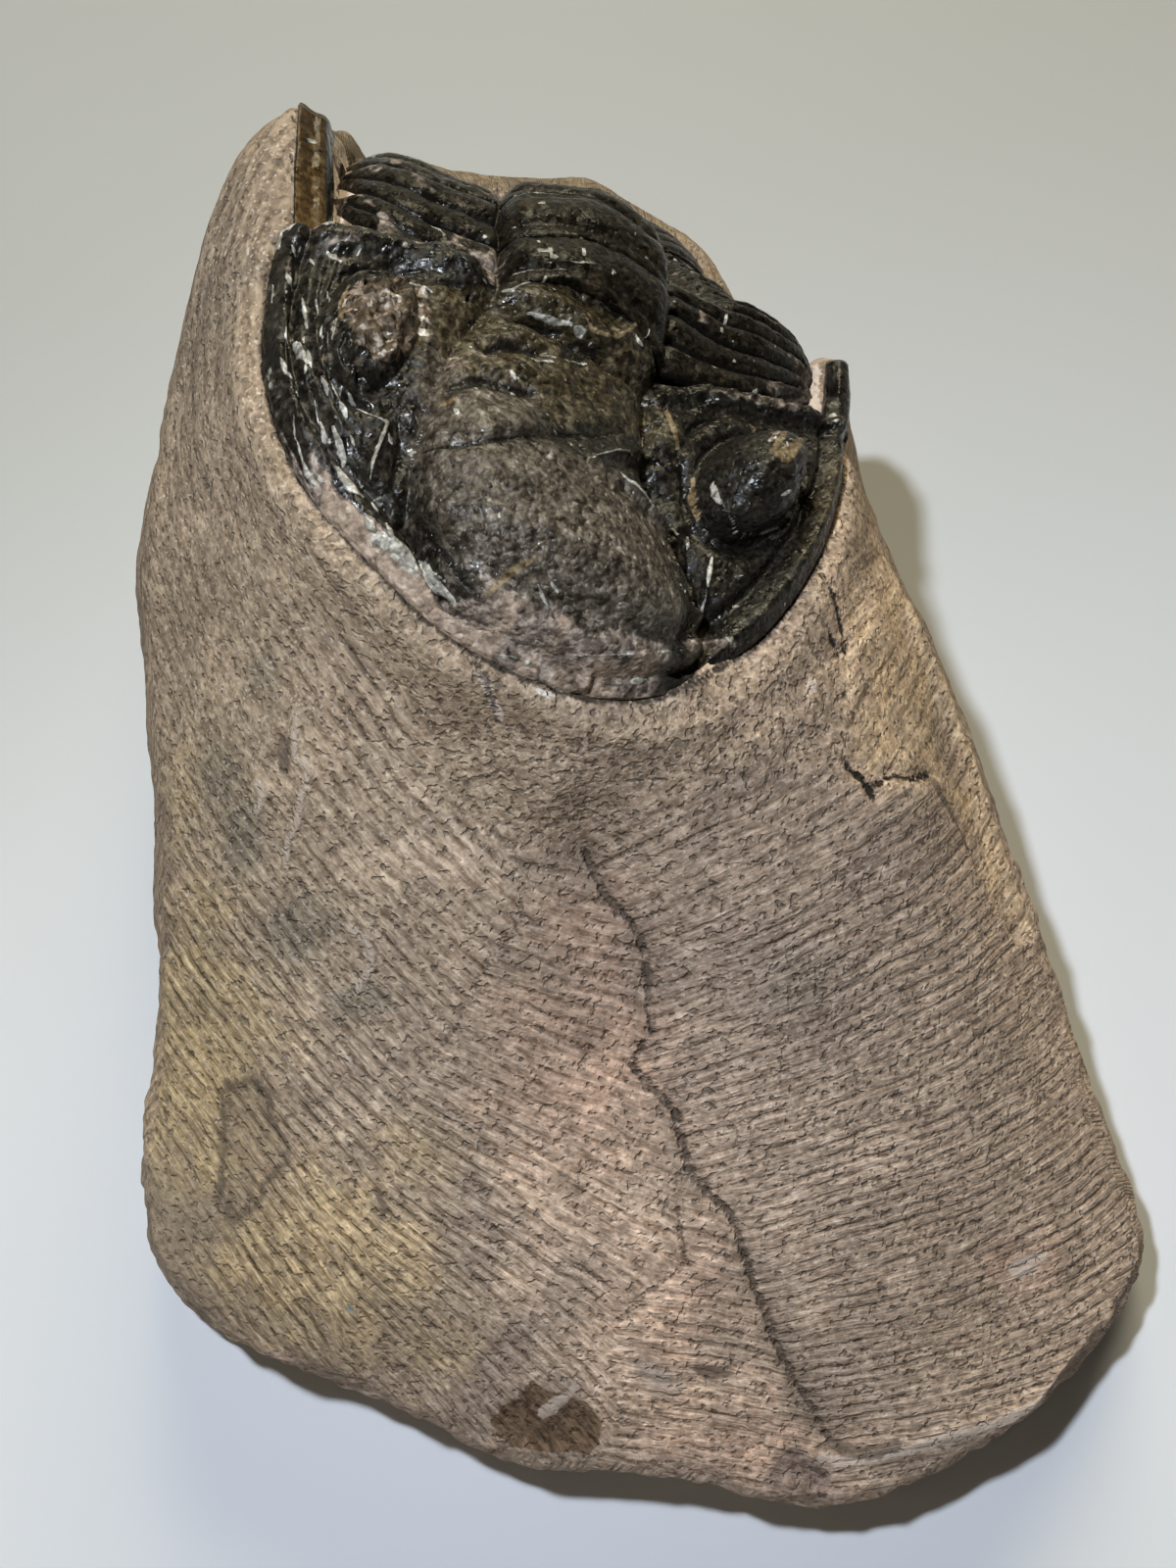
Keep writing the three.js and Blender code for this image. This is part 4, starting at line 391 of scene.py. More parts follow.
# ---- marks on the shell: paths as (side, axial) in half-widths, and their width in mm; patches as outlines
STREAKS = [
    ([(-0.67, -0.944), (-0.64, -0.959), (-0.6, -0.979), (-0.56, -0.995), (-0.5, -1.006), (-0.465, -1.04), (-0.425, -1.067)], 1.35),
    ([(-0.64, -0.939), (-0.585, -0.97), (-0.51, -0.979), (-0.48, -1.019), (-0.45, -1.038)], 0.24),
    ([(-0.63, -0.657), (-0.59, -0.682), (-0.56, -0.708), (-0.585, -0.733), (-0.62, -0.762), (-0.645, -0.786), (-0.655, -0.817)], 0.26),
    ([(-0.465, -0.666), (-0.435, -0.687), (-0.445, -0.729), (-0.47, -0.766), (-0.49, -0.8)], 0.2),
    ([(-0.805, -0.579), (-0.805, -0.605), (-0.8, -0.636)], 0.22),
    ([(-0.79, -0.639), (-0.785, -0.664), (-0.78, -0.689)], 0.36),
    ([(-0.915, -0.589), (-0.91, -0.619), (-0.905, -0.648)], 0.14),
    ([(-0.755, -0.667), (-0.74, -0.71), (-0.725, -0.749), (-0.74, -0.775)], 0.38),
    ([(-0.765, -0.769), (-0.745, -0.799), (-0.72, -0.827), (-0.695, -0.843)], 0.95),
    ([(-0.715, -0.616), (-0.705, -0.641), (-0.7, -0.663)], 0.36),
    ([(-0.64, -0.642), (-0.63, -0.657), (-0.615, -0.671)], 0.29),
    ([(-0.7, -0.709), (-0.695, -0.722), (-0.69, -0.735)], 0.18),
    ([(-0.88, -0.713), (-0.865, -0.742), (-0.845, -0.771)], 0.43),
    ([(-0.84, -0.758), (-0.83, -0.772), (-0.82, -0.781)], 0.29),
    ([(-0.9, -0.654), (-0.89, -0.684), (-0.88, -0.713)], 0.18),
    ([(-0.705, -0.9), (-0.69, -0.916), (-0.68, -0.927)], 0.5),
    ([(-0.635, -0.918), (-0.63, -0.928), (-0.625, -0.942)], 0.36),
    ([(-0.65, -0.861), (-0.645, -0.874), (-0.64, -0.884)], 0.29),
    ([(-0.56, -0.737), (-0.555, -0.742), (-0.55, -0.751)], 0.4),
    ([(-0.965, 0.02), (-0.97, 0.02), (-0.98, 0.02)], 0.43),
    ([(-0.96, 0.02), (-0.96, 0.02), (-0.965, 0.02)], 0.2),
    ([(-1.0, 0.02), (-1.0, 0.007), (-0.995, -0.03)], 0.54),
    ([(-0.985, 0.02), (-0.99, 0.02), (-0.995, 0.02)], 0.29),
    ([(-0.86, 0.02), (-0.845, 0.02), (-0.825, 0.012)], 0.4),
    ([(-0.805, -0.078), (-0.775, -0.091), (-0.745, -0.108)], 0.4),
    ([(-0.955, -0.127), (-0.935, -0.155), (-0.91, -0.177)], 0.4),
    ([(-0.865, -0.221), (-0.845, -0.282), (-0.825, -0.34)], 0.32),
    ([(-0.81, -0.256), (-0.795, -0.282), (-0.785, -0.31)], 0.23),
    ([(-0.76, -0.231), (-0.75, -0.259), (-0.75, -0.29)], 0.25),
    ([(-0.77, -0.353), (-0.77, -0.383), (-0.765, -0.416)], 0.25),
    ([(-0.755, -0.365), (-0.75, -0.435), (-0.735, -0.521)], 0.16),
    ([(-0.725, -0.384), (-0.73, -0.423), (-0.735, -0.449)], 0.25),
    ([(-0.87, -0.369), (-0.85, -0.416), (-0.83, -0.457)], 0.68),
    ([(-0.82, -0.424), (-0.815, -0.454), (-0.81, -0.48)], 0.29),
    ([(-0.95, -0.405), (-0.94, -0.435), (-0.935, -0.461)], 0.32),
    ([(-0.925, -0.465), (-0.91, -0.478), (-0.89, -0.49)], 0.32),
    ([(-0.88, -0.502), (-0.885, -0.524), (-0.885, -0.544)], 0.18),
    ([(-0.775, -0.528), (-0.765, -0.559), (-0.76, -0.587)], 0.16),
    ([(-0.73, -0.559), (-0.72, -0.584), (-0.71, -0.612)], 0.18),
    ([(-0.665, -0.6), (-0.65, -0.617), (-0.635, -0.634)], 0.18),
    ([(-0.93, -0.311), (-0.92, -0.338), (-0.915, -0.365)], 0.18),
    ([(-0.955, -0.048), (-0.94, -0.061), (-0.925, -0.07)], 0.22),
    ([(-0.865, -0.082), (-0.855, -0.1), (-0.845, -0.119)], 0.22),
    ([(-0.99, -0.135), (-0.985, -0.164), (-0.985, -0.19)], 0.16),
    ([(0.48, -0.993), (0.53, -0.912), (0.53, -0.868), (0.53, -0.839)], 0.26),
    ([(0.535, -0.815), (0.54, -0.773), (0.545, -0.717)], 0.3),
    ([(0.53, -0.588), (0.565, -0.631), (0.6, -0.66), (0.635, -0.668), (0.685, -0.662), (0.73, -0.648)], 0.24),
    ([(0.49, -0.474), (0.5, -0.516), (0.52, -0.562)], 0.5),
    ([(0.78, -0.3), (0.715, -0.529), (0.81, -0.514), (0.79, -0.583), (0.765, -0.644)], 0.13),
    ([(0.665, -0.59), (0.675, -0.585), (0.69, -0.577)], 0.4),
    ([(0.76, -0.605), (0.77, -0.595), (0.78, -0.587)], 0.4),
    ([(0.735, -0.194), (0.64, -0.379), (0.645, -0.398)], 0.35),
    ([(0.425, -0.611), (0.44, -0.622), (0.45, -0.622)], 0.5),
    ([(0.485, -0.627), (0.485, -0.646), (0.49, -0.663)], 0.3),
    ([(0.35, -0.604), (0.36, -0.631), (0.37, -0.657)], 0.45),
    ([(0.37, -0.778), (0.455, -0.711), (0.385, -0.799)], 0.4),
    ([(0.375, -0.874), (0.485, -0.794), (0.395, -0.885)], 0.4),
    ([(0.135, -0.633), (0.185, -0.636), (0.225, -0.645), (0.275, -0.662)], 0.24),
    ([(0.03, -0.648), (0.1, -0.568), (0.16, -0.512), (0.225, -0.46), (0.315, -0.362)], 0.14),
    ([(-0.38, -0.059), (-0.31, -0.04), (-0.255, -0.055), (-0.235, -0.058), (-0.21, -0.004), (-0.165, 0.048)], 0.26),
    ([(-0.165, 0.048), (-0.12, 0.064), (-0.07, 0.069)], 0.14),
    ([(-0.165, -0.107), (-0.125, -0.104), (-0.085, -0.099), (-0.05, -0.094)], 0.4),
    ([(-0.425, -0.197), (-0.49, -0.159), (-0.555, -0.278)], 0.22),
    ([(-0.485, -0.241), (-0.435, -0.281), (-0.405, -0.381)], 0.35),
    ([(-0.545, -0.45), (-0.525, -0.458), (-0.51, -0.465)], 0.7),
    ([(-0.605, -0.364), (-0.58, -0.374), (-0.56, -0.382)], 0.36),
    ([(-0.65, -0.461), (-0.64, -0.485), (-0.625, -0.508)], 0.32),
    ([(-0.28, -1.159), (-0.22, -1.158), (-0.15, -1.162)], 0.14),
    ([(-0.16, -1.141), (-0.095, -1.146), (-0.035, -1.144), (0.08, -1.13), (0.235, -1.093), (0.335, -1.063)], 0.2),
    ([(0.15, -1.154), (0.18, -1.147), (0.21, -1.14)], 0.5),
    ([(0.065, -1.164), (0.095, -1.162), (0.125, -1.16)], 0.3),
    ([(-0.18, -0.436), (-0.17, -0.445), (-0.16, -0.451)], 0.3),
    ([(-0.17, -0.502), (-0.165, -0.509), (-0.16, -0.512)], 0.3),
    ([(-0.37, -0.676), (-0.365, -0.682), (-0.365, -0.693)], 0.35),
    ([(-0.095, -0.271), (-0.075, -0.266), (-0.06, -0.262)], 0.3),
    ([(-0.12, -0.324), (-0.095, -0.313), (-0.065, -0.295)], 0.3),
    ([(-0.015, -0.245), (0.01, -0.228), (0.03, -0.211)], 0.22),
    ([(0.14, 0.009), (0.155, -0.001), (0.175, -0.002)], 0.25),
    ([(-0.205, -1.048), (-0.185, -1.066), (-0.17, -1.087)], 0.22),
    ([(-0.175, -1.042), (-0.16, -1.051), (-0.15, -1.055)], 0.2),
]
# dark lines: partly dark shell, partly painted shade along the sunken furrows they follow
DARKLINES = [
    ([(-0.235, -0.355), (-0.205, -0.313), (-0.175, -0.295), (-0.135, -0.288), (-0.1, -0.272)], 0.75),
    ([(-0.2, -0.162), (-0.155, -0.124), (-0.115, -0.119), (-0.06, -0.107)], 0.5),
    ([(-0.35, -0.593), (-0.31, -0.562), (-0.26, -0.518), (-0.205, -0.505), (-0.15, -0.49), (-0.11, -0.464)], 0.95),
    ([(-0.46, -0.78), (-0.425, -0.792), (-0.385, -0.787), (-0.335, -0.774), (-0.27, -0.745), (-0.16, -0.681)], 0.32),
    ([(-0.16, -0.681), (-0.015, -0.564), (0.095, -0.485), (0.2, -0.374)], 0.2),
    ([(0.49, -0.67), (0.505, -0.761), (0.475, -0.857), (0.4, -0.97), (0.34, -1.05)], 0.42),
    ([(0.41, -0.24), (0.435, -0.18), (0.46, -0.148), (0.515, -0.105)], 0.4),
    ([(0.555, -0.634), (0.605, -0.672), (0.655, -0.696), (0.7, -0.706), (0.75, -0.689)], 0.5),
    ([(-0.5, -0.685), (-0.505, -0.739), (-0.535, -0.797), (-0.575, -0.844), (-0.55, -0.877), (-0.51, -0.924)], 0.5),
    ([(-0.51, -0.924), (-0.485, -0.957), (-0.455, -0.995), (-0.42, -1.039), (-0.385, -1.066)], 0.4),
    ([(-0.68, -0.602), (-0.63, -0.64), (-0.585, -0.684)], 0.5),
    ([(-0.66, -0.545), (-0.61, -0.582), (-0.545, -0.598)], 0.55),
    ([(-0.175, -1.14), (-0.1, -1.141), (-0.01, -1.14), (0.11, -1.12), (0.285, -1.074)], 0.2),
    ([(-0.12, -1.173), (-0.005, -1.169), (0.13, -1.143)], 0.22),
    ([(0.2, -0.539), (0.33, -0.367), (0.4, -0.398)], 0.5),
    ([(0.29, -0.556), (0.395, -0.539), (0.445, -0.616)], 0.6),
    ([(0.385, -0.294), (0.43, -0.392), (0.47, -0.497)], 0.35),
    ([(0.74, -0.324), (0.71, -0.496), (0.845, -0.526), (0.805, -0.683)], 0.55),
    ([(-0.48, -0.09), (-0.56, -0.113), (-0.655, -0.132), (-0.74, -0.158)], 0.4),
    ([(-0.44, -0.164), (-0.405, -0.128), (-0.365, -0.107)], 0.6),
    ([(-0.59, -0.149), (-0.54, -0.266), (-0.46, -0.167)], 0.4),
    ([(-0.62, -0.475), (-0.64, -0.448), (-0.66, -0.458)], 0.5),
]
TANLINES = [
    ([(-0.345, -1.079), (-0.32, -1.059), (-0.285, -1.037), (-0.255, -1.021), (-0.23, -1.011)], 0.55),
    ([(0.295, -0.088), (0.325, -0.117), (0.34, -0.195), (0.365, -0.249), (0.39, -0.296)], 0.5),
    ([(0.465, -0.409), (0.48, -0.495), (0.5, -0.571)], 0.4),
    ([(-0.035, -0.052), (0.005, -0.077), (0.045, -0.073), (0.085, -0.049), (0.12, 0.014), (0.13, 0.061), (0.105, 0.066)], 0.35),
    ([(0.605, -0.221), (0.645, -0.204), (0.685, -0.184)], 0.5),
    ([(-0.385, -0.652), (-0.37, -0.646), (-0.35, -0.634)], 0.5),
    ([(0.17, 0.046), (0.18, 0.04), (0.195, 0.03)], 0.35),
    ([(-0.7, -0.266), (-0.715, -0.343), (-0.705, -0.404)], 0.5),
]
# folds of the shell: path, width and height in mm
FOLDS = [
    ([(-0.46, -0.78), (-0.385, -0.787), (-0.27, -0.745), (-0.16, -0.681), (0.06, -0.505), (0.2, -0.366)], 0.45, -0.3),
    ([(-0.35, -0.593), (-0.31, -0.562), (-0.26, -0.518), (-0.205, -0.505), (-0.13, -0.479)], 0.85, -0.55),
    ([(-0.235, -0.355), (-0.175, -0.295), (-0.1, -0.272)], 0.7, -0.55),
    ([(-0.2, -0.162), (-0.135, -0.127), (-0.06, -0.107)], 0.5, -0.4),
    ([(-0.165, -0.107), (-0.105, -0.101), (-0.05, -0.09)], 0.5, 0.35),
    ([(-0.24, -0.302), (-0.19, -0.249), (-0.145, -0.233)], 1.3, 0.4),
    ([(-0.385, -0.689), (-0.28, -0.692), (-0.125, -0.586)], 1.3, 0.45),
    ([(-0.215, -0.452), (-0.135, -0.384), (-0.04, -0.333)], 1.1, 0.4),
    ([(0.035, -0.631), (0.16, -0.508), (0.315, -0.358)], 0.45, 0.4),
    ([(0.085, -0.639), (0.165, -0.62), (0.225, -0.645), (0.31, -0.656), (0.425, -0.638)], 0.75, 0.75),
    ([(0.275, -0.479), (0.39, -0.499), (0.45, -0.6)], 1.6, -0.95),
    ([(-0.035, -0.052), (0.005, -0.077), (0.05, -0.073), (0.105, -0.017), (0.13, 0.061), (0.105, 0.066)], 0.4, 0.35),
    ([(0.065, 0.069), (0.14, 0.059), (0.19, 0.034)], 1.4, 0.35),
    ([(0.485, -0.616), (0.505, -0.761), (0.475, -0.857), (0.395, -0.987), (0.315, -1.064)], 0.75, -0.85),
    ([(0.42, -1.027), (0.53, -0.846), (0.54, -0.723)], 0.35, 0.3),
    ([(0.53, -0.588), (0.565, -0.631), (0.635, -0.668), (0.73, -0.648)], 0.3, 0.28),
    ([(0.565, -0.645), (0.65, -0.708), (0.755, -0.701)], 0.7, -0.45),
    ([(0.41, -0.24), (0.435, -0.18), (0.46, -0.148), (0.515, -0.105)], 0.4, -0.45),
    ([(-0.78, -0.234), (-0.765, -0.349), (-0.755, -0.442), (-0.73, -0.527), (-0.69, -0.594)], 0.28, 0.26),
    ([(-0.735, -0.364), (-0.735, -0.449), (-0.71, -0.522), (-0.655, -0.591), (-0.59, -0.646)], 0.28, 0.26),
    ([(-0.82, -0.223), (-0.785, -0.375), (-0.77, -0.48), (-0.75, -0.578), (-0.735, -0.663), (-0.725, -0.74)], 0.26, 0.26),
    ([(-0.88, -0.19), (-0.865, -0.339), (-0.845, -0.464), (-0.825, -0.567), (-0.815, -0.682), (-0.795, -0.761)], 0.3, 0.3),
    ([(-0.965, -0.089), (-0.935, -0.255), (-0.91, -0.424), (-0.905, -0.583), (-0.865, -0.705)], 0.35, 0.26),
    ([(-0.63, -0.657), (-0.56, -0.708), (-0.6, -0.747), (-0.65, -0.797), (-0.655, -0.821)], 0.35, 0.4),
    ([(-0.505, -0.687), (-0.515, -0.754), (-0.55, -0.809), (-0.575, -0.855), (-0.52, -0.894)], 0.75, -0.65),
    ([(-0.465, -0.663), (-0.445, -0.725), (-0.495, -0.805)], 0.35, 0.35),
    ([(-0.675, -0.841), (-0.62, -0.89), (-0.53, -0.927), (-0.49, -0.988), (-0.425, -1.055), (-0.35, -1.096)], 0.6, -0.4),
    ([(-0.51, -0.924), (-0.455, -0.995), (-0.385, -1.062)], 0.6, -0.35),
    ([(-0.68, -0.602), (-0.585, -0.684)], 0.5, -0.45),
    ([(-0.66, -0.545), (-0.545, -0.598)], 0.5, -0.4),
    ([(-0.785, -0.042), (-0.6, -0.029), (-0.44, -0.07)], 1.2, 0.15),
    ([(-0.74, -0.158), (-0.56, -0.113), (-0.475, -0.116), (-0.385, -0.14)], 0.55, -0.4),
    ([(0.8, -0.187), (0.71, -0.496), (0.845, -0.526), (0.795, -0.702)], 0.6, -0.5),
    ([(0.58, -0.058), (0.705, -0.074), (0.825, -0.07)], 0.9, -0.45),
    ([(0.39, -0.307), (0.435, -0.432), (0.475, -0.533)], 0.6, -0.35),
    ([(0.285, -0.068), (0.345, -0.193), (0.395, -0.305)], 0.9, 0.3),
    ([(0.905, -0.404), (0.895, -0.638), (0.84, -0.791)], 1.2, 0.2),
    ([(-0.18, -1.139), (-0.035, -1.144), (0.285, -1.074)], 0.3, -0.25),
    ([(-0.545, -0.341), (-0.46, -0.212), (-0.41, -0.36)], 0.6, 0.35),
]
EYE_CRUST = [(-0.715, -0.359), (-0.705, -0.297), (-0.665, -0.285), (-0.595, -0.268), (-0.51, -0.161), (-0.46, -0.182), (-0.415, -0.272), (-0.395, -0.377), (-0.405, -0.475), (-0.465, -0.525), (-0.55, -0.55), (-0.63, -0.516), (-0.675, -0.472)]
CREAM = [(-0.105, 0.066), (-0.075, 0.069), (-0.035, 0.07), (-0.02, 0.07), (-0.055, 0.07), (-0.09, 0.068)]
CREAM2 = [(-0.04, -0.094), (-0.025, -0.081), (0.0, -0.085), (-0.005, -0.102), (-0.025, -0.106)]
PINKISH_EYE = [(0.67, -0.2), (0.69, -0.21), (0.615, -0.407), (0.755, -0.248), (0.67, -0.457), (0.655, -0.48), (0.63, -0.471), (0.605, -0.452), (0.585, -0.418)]
ORANGE_EYE = [(0.6, -0.099), (0.635, -0.144), (0.6, -0.302), (0.7, -0.188), (0.585, -0.372), (0.645, -0.181), (0.605, -0.158)]
SNOUT_MATRIX = [(-0.445, -1.059), (-0.41, -1.072), (-0.36, -1.089), (-0.33, -1.102), (-0.295, -1.114), (-0.24, -1.132), (-0.225, -1.146), (-0.265, -1.158), (-0.305, -1.157), (-0.35, -1.133), (-0.395, -1.112), (-0.43, -1.087)]
SNOUT_MATRIX2 = [(0.36, -1.029), (0.525, -0.947), (0.54, -0.991), (0.585, -1.019), (0.565, -1.042), (0.505, -1.044), (0.365, -1.076)]
BAND_MATRIX = [(-0.85, -0.02), (-0.745, -0.011), (-0.625, -0.014), (-0.53, -0.013), (-0.445, -0.057), (-0.4, -0.085), (-0.48, -0.09), (-0.58, -0.097), (-0.735, -0.118), (-0.815, -0.086)]
BAND_R = [(0.335, -0.024), (0.43, 0.011), (0.56, 0.02), (0.7, 0.02), (0.81, 0.02), (0.76, -0.029), (0.635, -0.035), (0.5, -0.025), (0.37, -0.048)]
BROWN_R = [(0.22, -0.067), (0.37, -0.011), (0.565, -0.012), (0.62, -0.108), (0.525, -0.188), (0.395, -0.174), (0.345, -0.238)]
GREY_LOBE = [(-0.46, -0.754), (-0.245, -0.747), (0.035, -0.64), (0.18, -0.647), (0.44, -0.652), (0.41, -0.865), (0.33, -1.012), (0.075, -1.121), (-0.15, -1.134), (-0.36, -1.082), (-0.48, -0.974), (-0.5, -0.855)]
GREY_BACK = [(-0.385, -0.396), (-0.315, -0.257), (-0.145, -0.199), (-0.12, -0.282), (-0.175, -0.426), (-0.065, -0.451), (-0.135, -0.649), (-0.3, -0.751), (-0.445, -0.774), (-0.44, -0.682), (-0.415, -0.543)]
OLIVE_TOP = [(-0.445, -0.14), (-0.28, -0.066), (-0.155, 0.053), (0.065, 0.069), (0.26, -0.015), (0.39, -0.27), (0.2, -0.374), (-0.075, -0.564), (-0.095, -0.451), (-0.315, -0.52), (-0.39, -0.375)]
RIM_R = [(0.98, -0.041), (1.0, -0.209), (0.945, -0.604), (0.855, -0.757), (0.775, -0.829), (0.785, -0.756), (0.86, -0.577), (0.91, -0.335)]
MARGIN_MATRIX = [(-0.945, -0.602), (-0.9, -0.705), (-0.855, -0.781), (-0.805, -0.848), (-0.755, -0.904), (-0.7, -0.95), (-0.64, -0.99), (-0.58, -1.022), (-0.52, -1.052), (-0.445, -1.078), (-0.395, -1.115), (-0.315, -1.154), (-0.195, -1.178), (-0.31, -1.155), (-0.525, -1.075), (-0.72, -0.938), (-0.86, -0.773)]
SNOUT_RIM = [(-0.285, -1.146), (-0.225, -1.153), (-0.155, -1.154), (-0.08, -1.151), (-0.025, -1.152), (0.095, -1.137), (0.24, -1.1), (0.33, -1.072), (0.37, -1.135), (0.155, -1.183), (0.04, -1.19), (-0.12, -1.186), (-0.245, -1.17)]
BLUE_SPOT = [(-0.055, -0.149), (-0.01, -0.102), (0.05, -0.09), (0.07, -0.115), (0.01, -0.228), (-0.05, -0.253)]


# ---- small kit: everything below is worked out in millimetres and turned into metres when a mesh is made
def unit(v):
    v = np.asarray(v, float)
    return v / np.linalg.norm(v, axis=-1, keepdims=True)


def bell(x, w):
    return np.exp(-((x / w) ** 2))


def smooth(lo, hi, x):
    k = np.clip((x - lo) / (hi - lo), 0, 1)
    return k * k * (3 - 2 * k)


def plate(rows, give):
    """thin-plate surface through scattered rows of (x, y, values...)"""
    rows = np.array(rows, float)
    X, Y = rows[:, :2], rows[:, 2:]
    n = len(X)

    def kern(A, B):
        r2 = ((A[:, None] - B[None]) ** 2).sum(-1)
        return np.where(r2 > 1e-18, 0.5 * r2 * np.log(np.maximum(r2, 1e-18)), 0)

    P = np.c_[np.ones(n), X]
    A = np.block([[kern(X, X) + give * np.eye(n), P], [P.T, np.zeros((3, 3))]])
    W = np.linalg.solve(A, np.vstack([Y, np.zeros((3, Y.shape[1]))]))

    def at(x, y):
        x, y = np.broadcast_arrays(np.asarray(x, float), np.asarray(y, float))
        Q = np.stack([x.ravel(), y.ravel()], -1)
        out = np.empty((len(Q), Y.shape[1]))
        for k in range(0, len(Q), 20000):
            q = Q[k : k + 20000]
            out[k : k + 20000] = kern(q, X) @ W[:n] + W[n] + q @ W[n + 1 :]
        return out.reshape(*x.shape, Y.shape[1])

    return at


head_sheet = plate(HEAD, 0)
shift_sheet = plate(THORAX_SHIFT, 0.01)
rock_sheet = plate(HEIGHTS, 0.5)


# ---- noise on a hashed lattice, seeded, smooth, range about -1..1
def noise3(P, scale, seed=0):
    P = np.asarray(P, float) / scale + 1000.5
    i = np.floor(P).astype(np.int64)
    f = P - i
    f = f * f * f * (f * (f * 6 - 15) + 10)
    out = 0
    for dx in (0, 1):
        for dy in (0, 1):
            for dz in (0, 1):
                h = (
                    (i[..., 0] + dx) * 73856093
                    ^ (i[..., 1] + dy) * 19349663
                    ^ (i[..., 2] + dz) * 83492791
                    ^ (seed * 2654435761)
                ) & 0xFFFFFFFF
                h = (h ^ (h >> 13)) * 1274126177 & 0xFFFFFFFF
                h = (h ^ (h >> 16)) * 2246822519 & 0xFFFFFFFF
                h = (h ^ (h >> 13)) & 0xFFFFFFFF
                v = h / 2147483648.0 - 1
                w = (
                    (f[..., 0] if dx else 1 - f[..., 0])
                    * (f[..., 1] if dy else 1 - f[..., 1])
                    * (f[..., 2] if dz else 1 - f[..., 2])
                )
                out = out + v * w
    return out


def fbm(P, scale, octaves=3, seed=0):
    a, s, k = 0.0, 1.0, 0.0
    for o in range(octaves):
        a = a + s * noise3(P, scale / 2**o, seed + o)
        k += s
        s *= 0.5
    return a / k


def line_distance(P, line, closed=False):
    """distance from points to a polyline, and how far along it (0..1) the nearest point is"""
    line = np.asarray(line, float)
    if closed:
        line = np.vstack([line, line[:1]])
    P = np.asarray(P, float)
    best = np.full(P.shape[:-1], 1e9)
    along = np.zeros(P.shape[:-1])
    seg = np.linalg.norm(np.diff(line, axis=0), axis=1)
    at = np.r_[0, np.cumsum(seg)]
    for k in range(len(line) - 1):
        a, b = line[k], line[k + 1]
        d = b - a
        t = np.clip(((P - a) @ d) / max(d @ d, 1e-12), 0, 1)
        r = np.linalg.norm(P - a - t[..., None] * d, axis=-1)
        hit = r < best
        best = np.where(hit, r, best)
        along = np.where(hit, (at[k] + t * seg[k]) / at[-1], along)
    return best, along


def inside(P, poly):
    """True inside a closed outline"""
    poly = np.asarray(poly, float)
    x, y = P[..., 0], P[..., 1]
    hit = np.zeros(x.shape, bool)
    for k in range(len(poly)):
        (x0, y0), (x1, y1) = poly[k], poly[(k + 1) % len(poly)]
        if y0 == y1:
            continue
        cross = ((y0 > y) != (y1 > y)) & (x < (x1 - x0) * (y - y0) / (y1 - y0) + x0)
        hit ^= cross
    return hit


def depth_in(P, poly):
    """signed distance to a closed outline, positive inside"""
    d, _ = line_distance(P, poly, True)
    return np.where(inside(P, poly), d, -d)


# ---- head shield
def front_edge(s):
    return -(0.3 + 0.89 * np.sqrt(np.maximum(1 - np.abs(s) ** 2.2, 0)))


def hind_edge(s):
    return 0.02 - 0.05 * bell(np.abs(s) - 0.3, 0.1) + 0.05 * np.exp(-((s / 0.22) ** 4))


GLABELLA = np.array([
    [0.05, 0.27], [-0.12, 0.26], [-0.3, 0.29], [-0.5, 0.34], [-0.66, 0.41],
    [-0.8, 0.49], [-0.92, 0.535], [-1.02, 0.5], [-1.08, 0.42], [-1.12, 0.3],
    [-1.145, 0.13], [-1.16, 0.02],
])[::-1]
GLABELLA_HEIGHT = np.array([
    [0.05, 0.15], [-0.06, 0.17], [-0.125, 0.1], [-0.2, 0.15], [-0.4, 0.19],
    [-0.7, 0.23], [-0.95, 0.235], [-1.05, 0.2], [-1.12, 0.13], [-1.16, 0.04],
])[::-1]


def inward(s, t):
    a = np.abs(s)
    u = np.maximum(-t - 0.3, 0) / 0.89
    G = 1 - a**2.2 - u * u
    return np.maximum(G, 0) / np.hypot(2.2 * a**1.2 + 1e-3, (2 * u) / 0.89 + 0.12)


def head_height(s, t):
    a, m = np.abs(s), inward(s, t)
    h = 0.15 * (1 - np.exp(-m / 0.16))
    h = h + 0.03 * bell(m - 0.05, 0.035) - 0.02 * bell(m - 0.125, 0.03)
    g = np.interp(t, GLABELLA[:, 0], GLABELLA[:, 1])
    gh = np.interp(t, GLABELLA_HEIGHT[:, 0], GLABELLA_HEIGHT[:, 1])
    ins = 1 - (a / g) ** 2.6
    h = h + np.where(ins > 0, gh * np.maximum(ins, 1e-9) ** 0.55, 0)
    h = h - np.where((t > -1.12) & (t < -0.02), 0.035 * bell(a - g, 0.035), 0)
    er = ((a - 0.625) / 0.155) ** 2 + ((t + 0.4) / 0.21) ** 2
    h = h + np.where(er < 1, 0.2 * np.sqrt(np.maximum(1 - er, 0)) * np.where(s > 0, 1, 0.9), 0)
    p = hind_edge(s) - t
    h = h + np.where(a > 0.32, 0.02 * bell(p - 0.04, 0.03) - 0.03 * bell(p - 0.11, 0.03), 0)
    return h


def head_point(s, t, h):
    return head_sheet(s, t) + UP * (np.asarray(h)[..., None] * HEAD_HALF_WIDTH)


